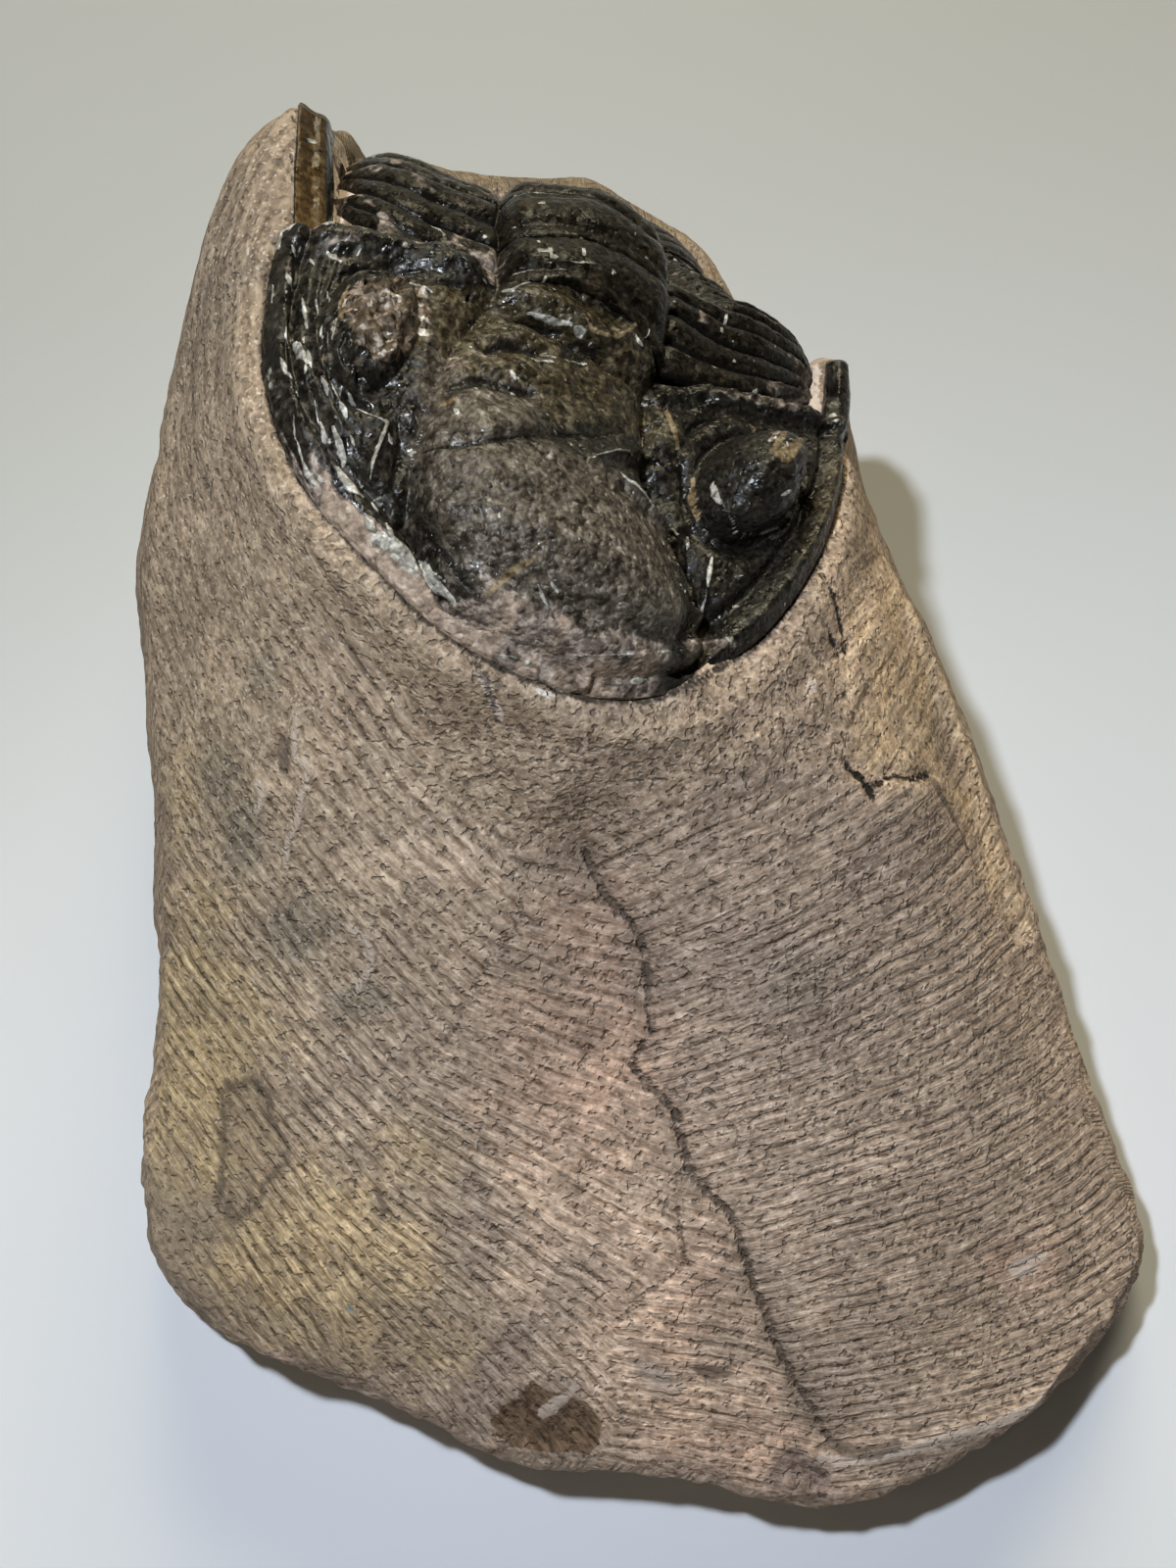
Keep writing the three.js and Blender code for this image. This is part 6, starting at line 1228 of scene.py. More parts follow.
# ---- fossil shell
def shell_material(name, head):
    n = Nodes(name)
    pale, grey, olive = n.split(n.attr("mask_a").outputs["Vector"])
    crust, tan, dark = n.split(n.attr("mask_b").outputs["Vector"])
    gran, brown, dust = n.split(n.attr("mask_c").outputs["Vector"])

    def off(x, k):
        return n.mul(n.sub(x, 0.5), k)

    grain = n.noise(3200, 2.0, 0.6)
    grain2 = n.noise(1500, 2.0, 0.6)
    mid = n.noise(600, 3.0, 0.6)
    blotch = n.noise(210, 3.0, 0.6)
    warp = n.vec("SCALE", n.vec("SUBTRACT", n.noise(1400, 2.0, 0.6, out="Color"), (0.5, 0.5, 0.5)), 0.00045)
    at = n.vec("ADD", n.coord, warp)
    size = 2300
    lump = n.cells(size, at)
    tint = n.split(n.cells(size, at, out="Color"))[0]
    knob = n.step(lump, 0.05, 0.62, 1.0, 0.0)
    rag = off(mid, 1.0)
    fine = off(grain2, 0.8)
    # one grain value, 0 dark to 1 light, made of separate granules
    g0 = n.add(n.mul(tint, 0.45), n.add(off(grain, 0.85), n.add(off(grain2, 1.12), 0.27)))

    base = n.ramp(g0, [(0.20, (0.0036, 0.0029, 0.0021)), (0.50, (0.0098, 0.0080, 0.0057)), (0.75, (0.025, 0.0208, 0.0150)), (0.95, (0.070, 0.060, 0.046))])
    base = n.mix(n.step(mid, 0.50, 0.66, 0.0, 0.62), base, n.ramp(g0, [(0.25, (0.008, 0.006, 0.0045)), (0.60, (0.034, 0.027, 0.019)), (0.92, (0.095, 0.080, 0.060))]))
    g = n.ramp(g0, [(0.15, (0.014, 0.010, 0.0065)), (0.38, (0.044, 0.034, 0.0245)), (0.58, (0.086, 0.069, 0.052)), (0.78, (0.150, 0.126, 0.098)), (0.97, (0.30, 0.265, 0.22))])
    base = n.mix(n.step(n.add(grey, n.mul(rag, 0.9)), 0.15, 0.85, 0.0, 0.94), base, g)
    o = n.ramp(g0, [(0.15, (0.007, 0.0050, 0.0026)), (0.42, (0.025, 0.0182, 0.0090)), (0.65, (0.058, 0.044, 0.0225)), (0.92, (0.150, 0.122, 0.075))])
    base = n.mix(n.step(n.add(olive, n.mul(rag, 1.1)), 0.25, 0.9, 0.0, 0.88), base, o)
    br = n.ramp(n.add(n.mul(g0, 0.5), n.mul(blotch, 0.5)), [(0.30, (0.012, 0.0062, 0.0020)), (0.50, (0.040, 0.0210, 0.0064)), (0.68, (0.100, 0.058, 0.020))])
    base = n.mix(n.step(n.add(brown, n.mul(fine, 0.3)), 0.3, 0.7), base, br)
    if not head:
        base = n.mix(1.0, base, (0.66, 0.62, 0.57), "MULTIPLY")
    # dark mask: dark shell, with painted shade along the head's sunken furrows and in the thorax furrows
    base = n.mix(n.step(n.add(dark, n.mul(fine, 0.7)), 0.30, 0.62, 0.0, 0.92), base, (0.0055, 0.0045, 0.0036))
    # matrix left in the furrows, tan and calcite marks
    base = n.mix(n.step(n.add(dust, n.add(n.mul(rag, 1.1), fine)), 0.38, 0.80, 0.0, 0.86), base, n.ramp(g0, [(0.15, (0.045, 0.032, 0.025)), (0.5, (0.16, 0.123, 0.10)), (0.9, (0.42, 0.35, 0.295))]))
    base = n.mix(n.step(dust, 0.98, 1.15), base, n.ramp(g0, [(0.10, (0.12, 0.085, 0.060)), (0.45, (0.27, 0.20, 0.150)), (0.75, (0.40, 0.31, 0.24)), (0.95, (0.58, 0.48, 0.40))]))
    base = n.mix(n.step(n.add(tan, n.add(n.mul(rag, 0.5), n.mul(fine, 0.7))), 0.40, 0.66, 0.0, 0.85), base, n.ramp(g0, [(0.2, (0.07, 0.045, 0.02)), (0.9, (0.30, 0.225, 0.125))]))
    base = n.mix(n.step(n.add(pale, n.add(n.mul(rag, 0.35), n.mul(fine, 0.65))), 0.42, 0.60, 0.0, 0.92), base, n.ramp(g0, [(0.10, (0.085, 0.080, 0.068)), (0.5, (0.26, 0.245, 0.21)), (0.9, (0.66, 0.63, 0.57))]))
    # crumbly crystals on the worn eye
    cell = n.cells(3300, at, out="Color")
    cr = n.ramp(n.add(n.mul(n.split(cell)[0], 0.55), n.add(off(mid, 1.2), n.add(off(grain2, 0.9), 0.24))), [(0.0, (0.012, 0.008, 0.005)), (0.30, (0.036, 0.024, 0.012)), (0.52, (0.085, 0.058, 0.034)), (0.68, (0.18, 0.130, 0.092)), (0.82, (0.36, 0.30, 0.245)), (1.0, (0.72, 0.68, 0.61))])
    base = n.mix(n.step(n.add(crust, n.add(rag, fine)), 0.35, 0.65, 0.0, 0.9), base, cr)

    rough = n.step(grain2, 0.35, 0.68, 0.18 if not head else 0.22, 0.50 if not head else 0.58)
    soft = n.math("MAXIMUM", n.math("MAXIMUM", dust, pale), n.math("MAXIMUM", crust, n.mul(grey, 0.62)))
    rough = n.math("MAXIMUM", rough, n.mul(n.math("MINIMUM", soft, 1.0), 0.66))
    shiny = n.step(n.noise(1900, 1.0, 0.5), 0.62, 0.70, 0.0, 1.0)
    rough = n.mul(rough, n.sub(1.0, n.mul(shiny, 0.7)))
    h = n.add(n.mul(n.mul(knob, gran), 0.9), n.mul(g0, 0.55))
    h = n.add(h, n.mul(mid, 1.5 if head else 2.0))
    h = n.add(h, n.step(n.add(pale, n.mul(rag, 0.6)), 0.35, 0.65, 0.0, 0.5))
    h = n.add(h, n.mul(n.mul(crust, n.split(cell)[1]), 1.6))
    bump = n.bump(h, 0.10)
    return n.finish(base, rough, bump, 0.24 if head else 0.12, 0.05 if head else 0.03, 0.15)


# ---- fossil pieces
def to_space(rows, height=0.0):
    s, t = np.array(rows, float).T
    return head_point(s, t, head_base(s, t) + height)


def head_relief(s, t):
    a, m = np.abs(s), inward(s, t)
    h = head_base(s, t)
    st = np.stack([s, t, 0 * s], -1)
    flat = head_point(s, t, h)
    for rows, wide, high in FOLDS:
        path = to_space(rows)
        lo, hi = path.min(0) - 2.6 * wide, path.max(0) + 2.6 * wide
        near = np.all((flat > lo) & (flat < hi), axis=-1)
        if near.any():
            d, f = line_distance(flat[near], path)
            ends = 0.35 + 0.65 * np.sin(np.pi * np.clip(f, 0.02, 0.98)) ** 0.5
            h[near] += high / HEAD_HALF_WIDTH * bell(d, wide) * ends
    # lumpy behind, finely grained in front
    back = smooth(-0.85, -0.60, t) * smooth(0.62, 0.45, a)
    r = eye_radius(s, t)
    rough = smooth(1.15, 0.80, r) * (s < 0)
    h = h + rough * (0.026 * noise3(st, 0.050, 5) + 0.018 * noise3(st, 0.024, 6) - 0.01)
    h = h + smooth(1.1, 0.85, r) * (s > 0) * (0.010 * noise3(st, 0.060, 7) + 0.007 * noise3(st, 0.026, 8))
    h = h + 0.013 * fbm(st, 0.16, 3, 11) + (0.0022 + 0.0065 * back) * noise3(st, 0.065, 12)
    h = h + (0.0016 + 0.0042 * back) * noise3(st, 0.030, 13) + 0.0022 * noise3(st, 0.015, 15)
    # thin ridges of the left cheek run with its margin
    cheek = smooth(-0.62, -0.74, s) * smooth(0.03, 0.08, m) * smooth(1.0, 1.2, r) * smooth(0.0, -0.15, t)
    h = h + cheek * 0.0045 * np.sin(m * 120 + 3 * noise3(st, 0.10, 18)) * smooth(-0.3, 0.4, noise3(st, 0.14, 19))
    # crumbled hind border
    p = hind_edge(s) - t
    h = h + smooth(0.30, 0.40, a) * smooth(0.14, 0.05, p) * np.where(s < 0, 0.55, 1.0) * (0.012 * noise3(st, 0.045, 16) + 0.008 * noise3(st, 0.020, 17))
    return h


def strokes(P, lines, grow=1.0):
    """1 on the middle line of each stroke, falling to 0 at its full width"""
    best = np.zeros(P.shape[:-1])
    for rows, wide in lines:
        path = to_space(rows, 0.0)
        lo, hi = path.min(0) - 2.5, path.max(0) + 2.5
        near = np.all((P > lo) & (P < hi), axis=-1)
        if not near.any():
            continue
        d, f = line_distance(P[near], path)
        taper = 0.45 + 0.55 * np.sin(np.pi * np.clip(f, 0.04, 0.96))
        best[near] = np.maximum(best[near], np.clip(1 - d / (wide * grow * taper), 0, 1))
    return best


def patch(s, t, rows, soft=0.03):
    return smooth(-soft, soft, depth_in(np.stack([s, t], -1), rows))


def build_head(material):
    n_s, n_t = 431, 321
    u = np.linspace(-1, 1, n_s)
    s1 = np.sin(u * np.pi / 2) * 0.35 + u * 0.65
    f1 = np.linspace(0, 1, n_t)
    f1 = 0.4 * (0.5 - 0.5 * np.cos(f1 * np.pi)) + 0.6 * f1
    s, f = np.meshgrid(s1, f1, indexing="ij")
    t = front_edge(s) + (hind_edge(s) - front_edge(s)) * f
    h = head_relief(s, t)
    P0 = head_point(s, t, h)
    flat = head_point(s, t, head_base(s, t))
    light = strokes(flat, STREAKS)
    # dark lines sink the shell and darken it: partly dark shell, partly painted shade in the furrows
    deep = strokes(flat, DARKLINES)
    tan = strokes(flat, TANLINES)
    P = P0 + UP * (0.10 * smooth(0.3, 0.7, light) - 0.14 * smooth(0.2, 0.9, deep))[..., None]
    a, m = np.abs(s), inward(s, t)
    g = np.interp(t, GLABELLA[:, 0], GLABELLA[:, 1])
    r = eye_radius(s, t)
    st = np.stack([s, t, 0 * s], -1)
    grey = np.maximum(patch(s, t, GREY_LOBE, 0.07), 0.85 * patch(s, t, GREY_BACK, 0.06))
    grey = np.maximum(grey, 0.50 * bell(m - 0.02, 0.05) * smooth(0.3, 0.0, s) * smooth(-0.9, -1.05, t))
    grey = grey - 0.45 * smooth(0.2, 0.6, noise3(st, 0.16, 24)) * smooth(0.02, 0.2, s)
    olive = patch(s, t, OLIVE_TOP, 0.07)
    olive = np.maximum(olive, 0.16 * smooth(0.35, 0.5, s) * smooth(0.02, 0.10, m) * smooth(0.95, 1.2, r))
    olive = np.maximum(olive, 0.18 * smooth(1.05, 0.9, r) * (s > 0))
    olive = np.maximum(olive, 0.80 * patch(s, t, RIM_R, 0.02))
    crust = np.maximum(patch(s, t, EYE_CRUST, 0.045), 0.75 * patch(s, t, ORANGE_EYE, 0.015))
    crust = np.maximum(crust, 0.42 * smooth(1.15, 0.95, r) * (s < 0) * smooth(-0.1, 0.4, noise3(st, 0.05, 25)))
    pale = np.maximum.reduce([light, patch(s, t, CREAM, 0.012), patch(s, t, CREAM2, 0.010)])
    # small flecks on the left cheek, drawn out along the margin
    w = np.stack([m * 2.6, t * 0.75, 0 * s], -1)
    fleck = smooth(0.46, 0.74, noise3(w, 0.036, 21) + 0.55 * noise3(st, 0.020, 22))
    fleck = fleck * smooth(-0.58, -0.74, s) * smooth(1.0, 1.2, r)
    pale = np.maximum(pale, 0.46 * fleck)
    fleck = smooth(0.66, 0.86, noise3(st, 0.018, 26) + 0.4 * noise3(st, 0.05, 27))
    pale = np.maximum(pale, 0.55 * fleck * smooth(0.05, 0.2, grey + olive + 0.2))
    tan = np.maximum(tan, 0.85 * patch(s, t, PINKISH_EYE, 0.012))
    dust = 0.30 * bell(a - g, 0.018) * (t > -1.10) * (t < 0.0) * (s > 0)
    dust = np.maximum(dust, 0.35 * bell(t + 0.128, 0.018) * (a < 0.33))
    w = np.stack([s * 0.5, t * 2.2, 0 * s], -1)
    dust = np.maximum(dust, 0.66 * patch(s, t, BAND_MATRIX, 0.04) * smooth(-0.35, 0.35, noise3(w, 0.05, 34)))
    dust = np.maximum(dust, 1.25 * patch(s, t, MARGIN_MATRIX, 0.012))
    rim = smooth(-0.44, -0.30, s) * smooth(0.34, 0.18, s) * smooth(0.125, 0.075, m + 0.02 * noise3(st, 0.09, 38))
    grey = np.maximum(grey, 1.4 * rim)
    dust = np.maximum(dust, rim * (0.90 + 0.25 * smooth(-0.3, 0.3, noise3(st, 0.05, 36))))
    rim = smooth(-0.90, -0.80, s) * smooth(-0.20, -0.30, s) * smooth(0.055, 0.035, m + 0.012 * noise3(st, 0.05, 37)) * (t < -0.70)
    dust = np.maximum(dust, 1.25 * rim)
    dust = np.maximum(dust, 0.62 * patch(s, t, BAND_R, 0.02))
    dust = np.maximum(dust, 1.20 * patch(s, t, SNOUT_MATRIX, 0.02))
    dust = np.maximum(dust, 0.65 * patch(s, t, SNOUT_MATRIX2, 0.02))
    dust = np.maximum(dust, 0.50 * patch(s, t, PINKISH_EYE, 0.012))
    dust = np.maximum(dust, 0.52 * smooth(0.0, 0.5, noise3(st, 0.07, 28)) * patch(s, t, GREY_BACK, 0.06))
    p = hind_edge(s) - t
    dust = np.maximum(dust, (a > 0.30) * 0.7 * smooth(0.018, 0.0, p) * smooth(-0.2, 0.3, noise3(st, 0.05, 29)))
    deep = np.maximum(deep, 0.75 * patch(s, t, BLUE_SPOT, 0.02))
    black = smooth(0.10, 0.05, p) * smooth(0.62, 0.72, s) * smooth(0.98, 0.90, s)
    deep = np.maximum(deep, 0.9 * black)
    deep = np.maximum(deep, 0.70 * smooth(-0.66, -0.74, s) * smooth(0.13, 0.08, m) * smooth(0.3, -0.1, noise3(st, 0.06, 30)))
    deep = np.maximum(deep, 0.44 * smooth(0.36, 0.50, s) * smooth(0.95, 0.85, s))
    brown = 0.42 * patch(s, t, BROWN_R, 0.05) * smooth(-0.3, 0.3, noise3(st, 0.06, 31))
    brown = np.maximum(brown, 0.40 * smooth(0.1, 0.5, noise3(st, 0.05, 32)) * smooth(0.0, 0.3, olive))
    gran = 0.70 + 0.40 * patch(s, t, GREY_LOBE, 0.12) - 0.45 * smooth(-0.5, -0.75, s)
    down = np.broadcast_to(-UP * 1.9, P.shape)
    V, F, src = closed_slab(P, down, [(0.35, 0.10), (0.75, 0.22), (1.0, 0.6)], flip=False)

    def spread(x):
        return np.asarray(x, float).reshape(-1)[src]

    bag = Bag()
    bag.add(
        V, F,
        mask_a=np.stack([spread(pale), spread(grey), spread(olive)], -1),
        mask_b=np.stack([spread(crust), spread(tan), spread(deep)], -1),
        mask_c=np.stack([spread(gran), spread(brown), spread(dust)], -1),
    )
    add_spine(bag, SPINE_LEFT, 3.2, True)
    add_spine(bag, SPINE_RIGHT, 3.0, False)
    return bag.make("head_shield", material)


def add_spine(bag, ridge, deep, worn):
    ridge = np.array(ridge, float)
    outer, inner = ridge[0::2], ridge[1::2]
    u = np.linspace(0, 1, 90)
    w = np.linspace(0, 1, 27)

    def along(P):
        x = np.array([0, 0.5, 1.0])
        return np.stack([np.interp(u, x, P[:, k]) for k in range(3)], -1)

    O, I = along(outer), along(inner)
    U_, W_ = np.meshgrid(u, w, indexing="ij")
    P = O[:, None] * (1 - W_[..., None]) + I[:, None] * W_[..., None]
    ax = (ridge[-2] + ridge[-1] - ridge[0] - ridge[1]) / 2
    # tip narrows a little and is broken off
    edge = np.minimum(W_, 1 - W_)
    crown = 0.30 * np.sqrt(np.clip(edge / 0.22, 0, 1)) - 0.30
    face = fbm(P, 2.2, 3, 31 if worn else 33)
    fine = noise3(P, 0.45, 35)
    lift = crown + 0.22 * face + 0.05 * fine
    if worn:
        lift = lift - 0.35 * bell(W_ - 0.5, 0.3) - 0.5 * smooth(0.93, 1.0, U_)
    else:
        lift = lift + 0.25 * bell(W_ - 0.6, 0.3) - 0.7 * smooth(0.9, 1.0, U_) - 0.5 * bell(U_ - 0.52, 0.10) * smooth(0.5, 0.1, W_)
    P = P + np.array([0, 0, 1.0]) * lift[..., None]
    down = np.broadcast_to(np.array([0, 0.5, -deep]), P.shape)
    V, F, src = closed_slab(P, down, [(0.12, -0.16), (0.4, -0.20), (0.75, -0.14), (1.0, 0.1)], flip=True)
    top = np.r_[np.ones(P.shape[0] * P.shape[1]), np.zeros(len(src) - P.shape[0] * P.shape[1])]
    uu, ww = U_.reshape(-1)[src], W_.reshape(-1)[src]
    if worn:
        brown = top * smooth(0.0, 0.07, np.minimum(ww, 1 - ww) + 0.05 * face.reshape(-1)[src])
        chip = top * bell(uu - 0.70, 0.022) * bell(ww - 0.5, 0.26)
        pale = 0.9 * chip
        dark = 1.0 - top
    else:
        brown = 0 * top
        pale = 0.8 * bell(uu - 0.18, 0.05) * bell(ww - 0.35, 0.2) * top
        dark = 0.6 * (1 - top) + 0.9 * top * bell(uu - 0.5, 0.16) * smooth(0.75, 0.5, ww)
    z = 0 * top
    bag.add(
        V, F,
        mask_a=np.stack([pale, z, z], -1),
        mask_b=np.stack([z, z, dark], -1),
        mask_c=np.stack([0.15 + z, brown, 0.12 + z], -1),
    )


def cord(x):
    """round top between x = -1 and 1"""
    return np.sqrt(np.clip(1 - x * x, 0, 1))


def build_sclerite(i, material):
    n_q, n_v = 251, 37
    q1 = np.linspace(-1, 1, n_q)
    q1 = 0.8 * q1 + 0.2 * np.sin(q1 * np.pi / 2)
    v1 = np.linspace(0, 1, n_v)
    v1 = v1 - 0.045 * np.sin(v1 * 4 * np.pi)
    q, v = np.meshgrid(q1, v1, indexing="ij")
    a = np.abs(q)
    tip = smooth(0.84, 1.0, a)
    vv = 0.5 + (v - 0.5) * (1 - 0.62 * tip**1.3)
    wob = noise3(np.stack([q * 6, 0 * q + i * 3.7, 0 * q], -1), 1.0, 40 + i) * 0.015
    gap = 0.030
    row = i + gap + (1 - 2 * gap) * np.clip(vv + wob * np.sin(v * np.pi), 0, 1)
    # pleura: two cords with a furrow between
    split = 0.50
    x1 = (v - split / 2) / (split / 2)
    x2 = (v - (1 + split) / 2) / ((1 - split) / 2)
    pleura = np.where(v < split, 0.50 * cord(x1), 0.58 * cord(x2)) - 0.36
    pleura = pleura * (1 - 0.35 * tip) - 0.1 * tip
    # axis: low half-ring in front, round ring behind
    x3 = (v - 0.11) / 0.11
    x4 = (v - 0.61) / 0.39
    ring = np.where(v < 0.22, 0.16 * cord(x3) - 0.42, 0.62 * cord(x4) - 0.42)
    on = smooth(AXIS_HALF + 0.01, AXIS_HALF - 0.045, a)
    lift = pleura * (1 - on) + ring * on
    lift = lift - 0.34 * bell(a - AXIS_HALF, 0.022)
    lift = lift + 0.10 * bell(a - AXIS_HALF + 0.07, 0.03) * cord(x4) * (v > 0.22)
    sp = np.stack([q * 18, row * 3.6, 0 * q], -1)
    lift = lift + 0.17 * fbm(sp, 1.6, 3, 51) + 0.06 * noise3(sp, 0.45, 53)
    if i >= 2:
        lift = lift - 0.9 * smooth(0.24, 0.36, q) * smooth(0.62, 0.42, q)
    P = thorax_point(q, row, lift)
    base = thorax_point(q, row, -1.25)
    V, F, src = closed_slab(P, base - P, [(0.3, 0.0), (1.0, 0.25)], flip=False)
    furrow = np.maximum(bell(v - split, 0.050), np.maximum(bell(v, 0.05), bell(v - 1, 0.05)))
    lip = np.maximum(bell(v - split + 0.085, 0.022), bell(v - 0.935, 0.022))
    left = smooth(-0.25, -0.35, q)
    flank = 1 - on
    # furrows painted near black as shade, with a thin pale line on the cord beside them, crumbs of matrix on the cords
    dust = flank * lip * (0.34 + 0.2 * (1 - left)) * smooth(-0.5, 0.3, noise3(sp, 2.4, 54))
    dust = dust + flank * left * 0.70 * smooth(0.35, 0.70, noise3(sp, 1.8, 55) + 0.35 * noise3(sp, 0.6, 56))
    dust = dust + flank * (1 - left) * 0.62 * smooth(0.35, 0.70, noise3(sp, 1.8, 55) + 0.35 * noise3(sp, 0.6, 56))
    dust = dust + 0.55 * tip * left
    dust = dust + on * 0.30 * bell(v - 1, 0.03)
    pale = 0.60 * lip * flank * smooth(0.15, 0.60, noise3(sp, 1.2, 57))
    pale = np.maximum(pale, 0.72 * bell(v - 0.215, 0.026) * on * smooth(0.02, -0.10, q) * smooth(-0.5, 0.1, noise3(sp, 1.6, 60)))
    pale = np.maximum(pale, 0.62 * smooth(0.62, 0.80, noise3(sp, 0.42, 61) + 0.4 * noise3(sp, 1.2, 62)))
    grey = 0.22 * fbm(sp, 3.0, 2, 58) + 0.18 * lip
    olive = (0.30 if i < 2 else 0.12) * on + 0.38 * smooth(0.0, 0.6, fbm(sp, 4.0, 2, 59)) * smooth(0.2, 0.3, q)
    # painted shade: the furrows between the cords go near black
    black = furrow * flank
    crustm = 0 * q
    tanm = 0 * q
    if i == 0:
        # cream chips left on the first rings
        d, _ = line_distance(np.stack([q, v], -1), [(-0.13, 0.30), (-0.02, 0.34), (0.03, 0.42)])
        pale = np.maximum(pale, 0.62 * bell(d, 0.025))
    z = np.zeros(len(src))

    def spread(x):
        return np.asarray(x, float).reshape(-1)[src]

    bag = Bag()
    bag.add(
        V, F,
        mask_a=np.stack([spread(pale), spread(grey), spread(olive)], -1),
        mask_b=np.stack([spread(crustm), spread(tanm), spread(black)], -1),
        mask_c=np.stack([0.35 + z, z, spread(np.clip(dust, 0, 1))], -1),
    )
    return bag.make("sclerite_%02d" % (i + 1), material)


def build_tail(material):
    n_q, n_l = 201, 111
    q1 = np.linspace(-1, 1, n_q)
    l1 = np.linspace(0, 1, n_l)
    l1 = 0.055 + 0.945 * np.sin(l1 * np.pi / 2)
    q, l = np.meshgrid(q1, l1, indexing="ij")
    a = np.abs(q)
    axis = 0.31 * (1 - 0.35 * l) * smooth(0.90, 0.80, l) + 1e-3
    on = smooth(1.08, 0.92, a / axis)
    rings = 0.22 * cord(((l * 11) % 1) * 2 - 1) - 0.1
    phase = (l * 6.4 - 1.1 * np.maximum(a - 0.25, 0) * 1.3) % 1
    ribs = (0.26 * cord(phase * 2 - 1) - 0.12) * smooth(0.98, 0.86, a) * smooth(0.97, 0.82, l)
    lift = ribs * (1 - on) + (rings + 0.45 * cord(np.clip(a / np.maximum(axis, 1e-3), 0, 1))) * on * smooth(0.9, 0.8, l)
    lift = lift - 0.18 * bell(a / axis - 1.05, 0.10) * smooth(0.9, 0.8, l)
    sp = np.stack([q * 14, l * 11, 0 * q], -1)
    lift = lift + 0.06 * fbm(sp, 1.6, 3, 61)
    P = tail_point(q, l, lift)
    base = tail_point(q, l, -1.25)
    V, F, src = closed_slab(P, base - P, [(0.3, 0.0), (1.0, 0.25)], flip=False)
    dust = 0.5 * bell(phase - 1, 0.1) + 0.5 * bell(phase, 0.1)
    dust = dust * (1 - on) + 0.4 * on * (bell((l * 11) % 1, 0.12) + bell((l * 11) % 1 - 1, 0.12))
    z = np.zeros(len(src))

    def spread(x):
        return np.asarray(x, float).reshape(-1)[src]

    bag = Bag()
    bag.add(
        V, F,
        mask_a=np.stack([z, spread(0.3 + 0.3 * fbm(sp, 3.0, 2, 63)), spread(0.3 * on)], -1),
        mask_b=np.stack([z, z, z], -1),
        mask_c=np.stack([0.35 + z, z, spread(np.clip(dust, 0, 1))], -1),
    )
    return bag.make("tail_shield", material)


# ---- the block
def catmull(p0, p1, p2, p3, t):
    return 0.5 * (2 * p1 + (p2 - p0) * t + (2 * p0 - 5 * p1 + 4 * p2 - p3) * t * t + (3 * p1 - p0 - 3 * p2 + p3) * t**3)


def columns_at(u):
    """columns of the block at positions u round it, (n, 6, 3)"""
    C = np.array(COLUMNS, float)
    n = len(C)
    i = np.floor(u).astype(int)
    t = (u - i)[:, None]
    a, b, c, d = (C[(i + k) % n] for k in (-1, 0, 1, 2))
    v = catmull(a, b, c, d, t)
    v = np.clip(v, np.minimum(b, c) - 0.4, np.maximum(b, c) + 0.4)
    v = v.reshape(len(u), 6, 3)
    v[:, 5, 2] = 0
    return v


def down_column(cols, f):
    x = f * 5
    i = min(int(x), 4)
    t = x - i
    return catmull(cols[:, max(i - 1, 0)], cols[:, i], cols[:, i + 1], cols[:, min(i + 2, 5)], t)


def under_shell():
    """sheet just below the outside of the whole shell, that the block is kept under"""
    V, F, n = [], [], 0

    def put(P):
        nonlocal n
        r, c = P.shape[:2]
        V.append(P.reshape(-1, 3))
        F.extend((grid_faces(r, c) + n).tolist())
        n += r * c

    s, f = np.meshgrid(np.linspace(-0.985, 0.985, 90), np.linspace(0, 1, 60), indexing="ij")
    t0 = front_edge(s) + 0.022
    put(head_point(s, t0 + (hind_edge(s) - t0) * f, np.full(s.shape, -0.035)))
    q, r = np.meshgrid(np.linspace(-0.985, 0.985, 90), np.linspace(-0.35, 11.1, 130), indexing="ij")
    put(thorax_point(q, r, -0.50))
    q, l = np.meshgrid(np.linspace(-0.97, 0.97, 60), np.linspace(0.0, 0.97, 40), indexing="ij")
    put(tail_point(q, l, -0.5))
    return BVHTree.FromPolygons(np.vstack(V).tolist(), F)


def relax(V, edges, weight, turns):
    n = len(V)
    a, b = edges.T
    deg = np.bincount(a, minlength=n) + np.bincount(b, minlength=n)
    for _ in range(turns):
        m = np.stack([np.bincount(a, V[b, k], n) + np.bincount(b, V[a, k], n) for k in range(3)], -1)
        V = V + (m / np.maximum(deg, 1)[:, None] - V) * weight[:, None]
    return V


def count_marks(zone, x, y):
    deg, c1, c2 = MARKS[zone]
    X, Y = x / 40.0, y / 40.0
    terms = [X**i * Y**j for i in range(deg + 1) for j in range(deg + 1 - i) if i + j > 0]
    return sum(c * k for c, k in zip(c1, terms)), sum(c * k for c, k in zip(c2, terms))


def blobs(x, y, rows):
    out = 0 * x
    for cx, cy, rx, ry, w in rows:
        out = np.maximum(out, w * np.exp(-(((x - cx) / rx) ** 2 + ((y - cy) / ry) ** 2) * 0.9))
    return out


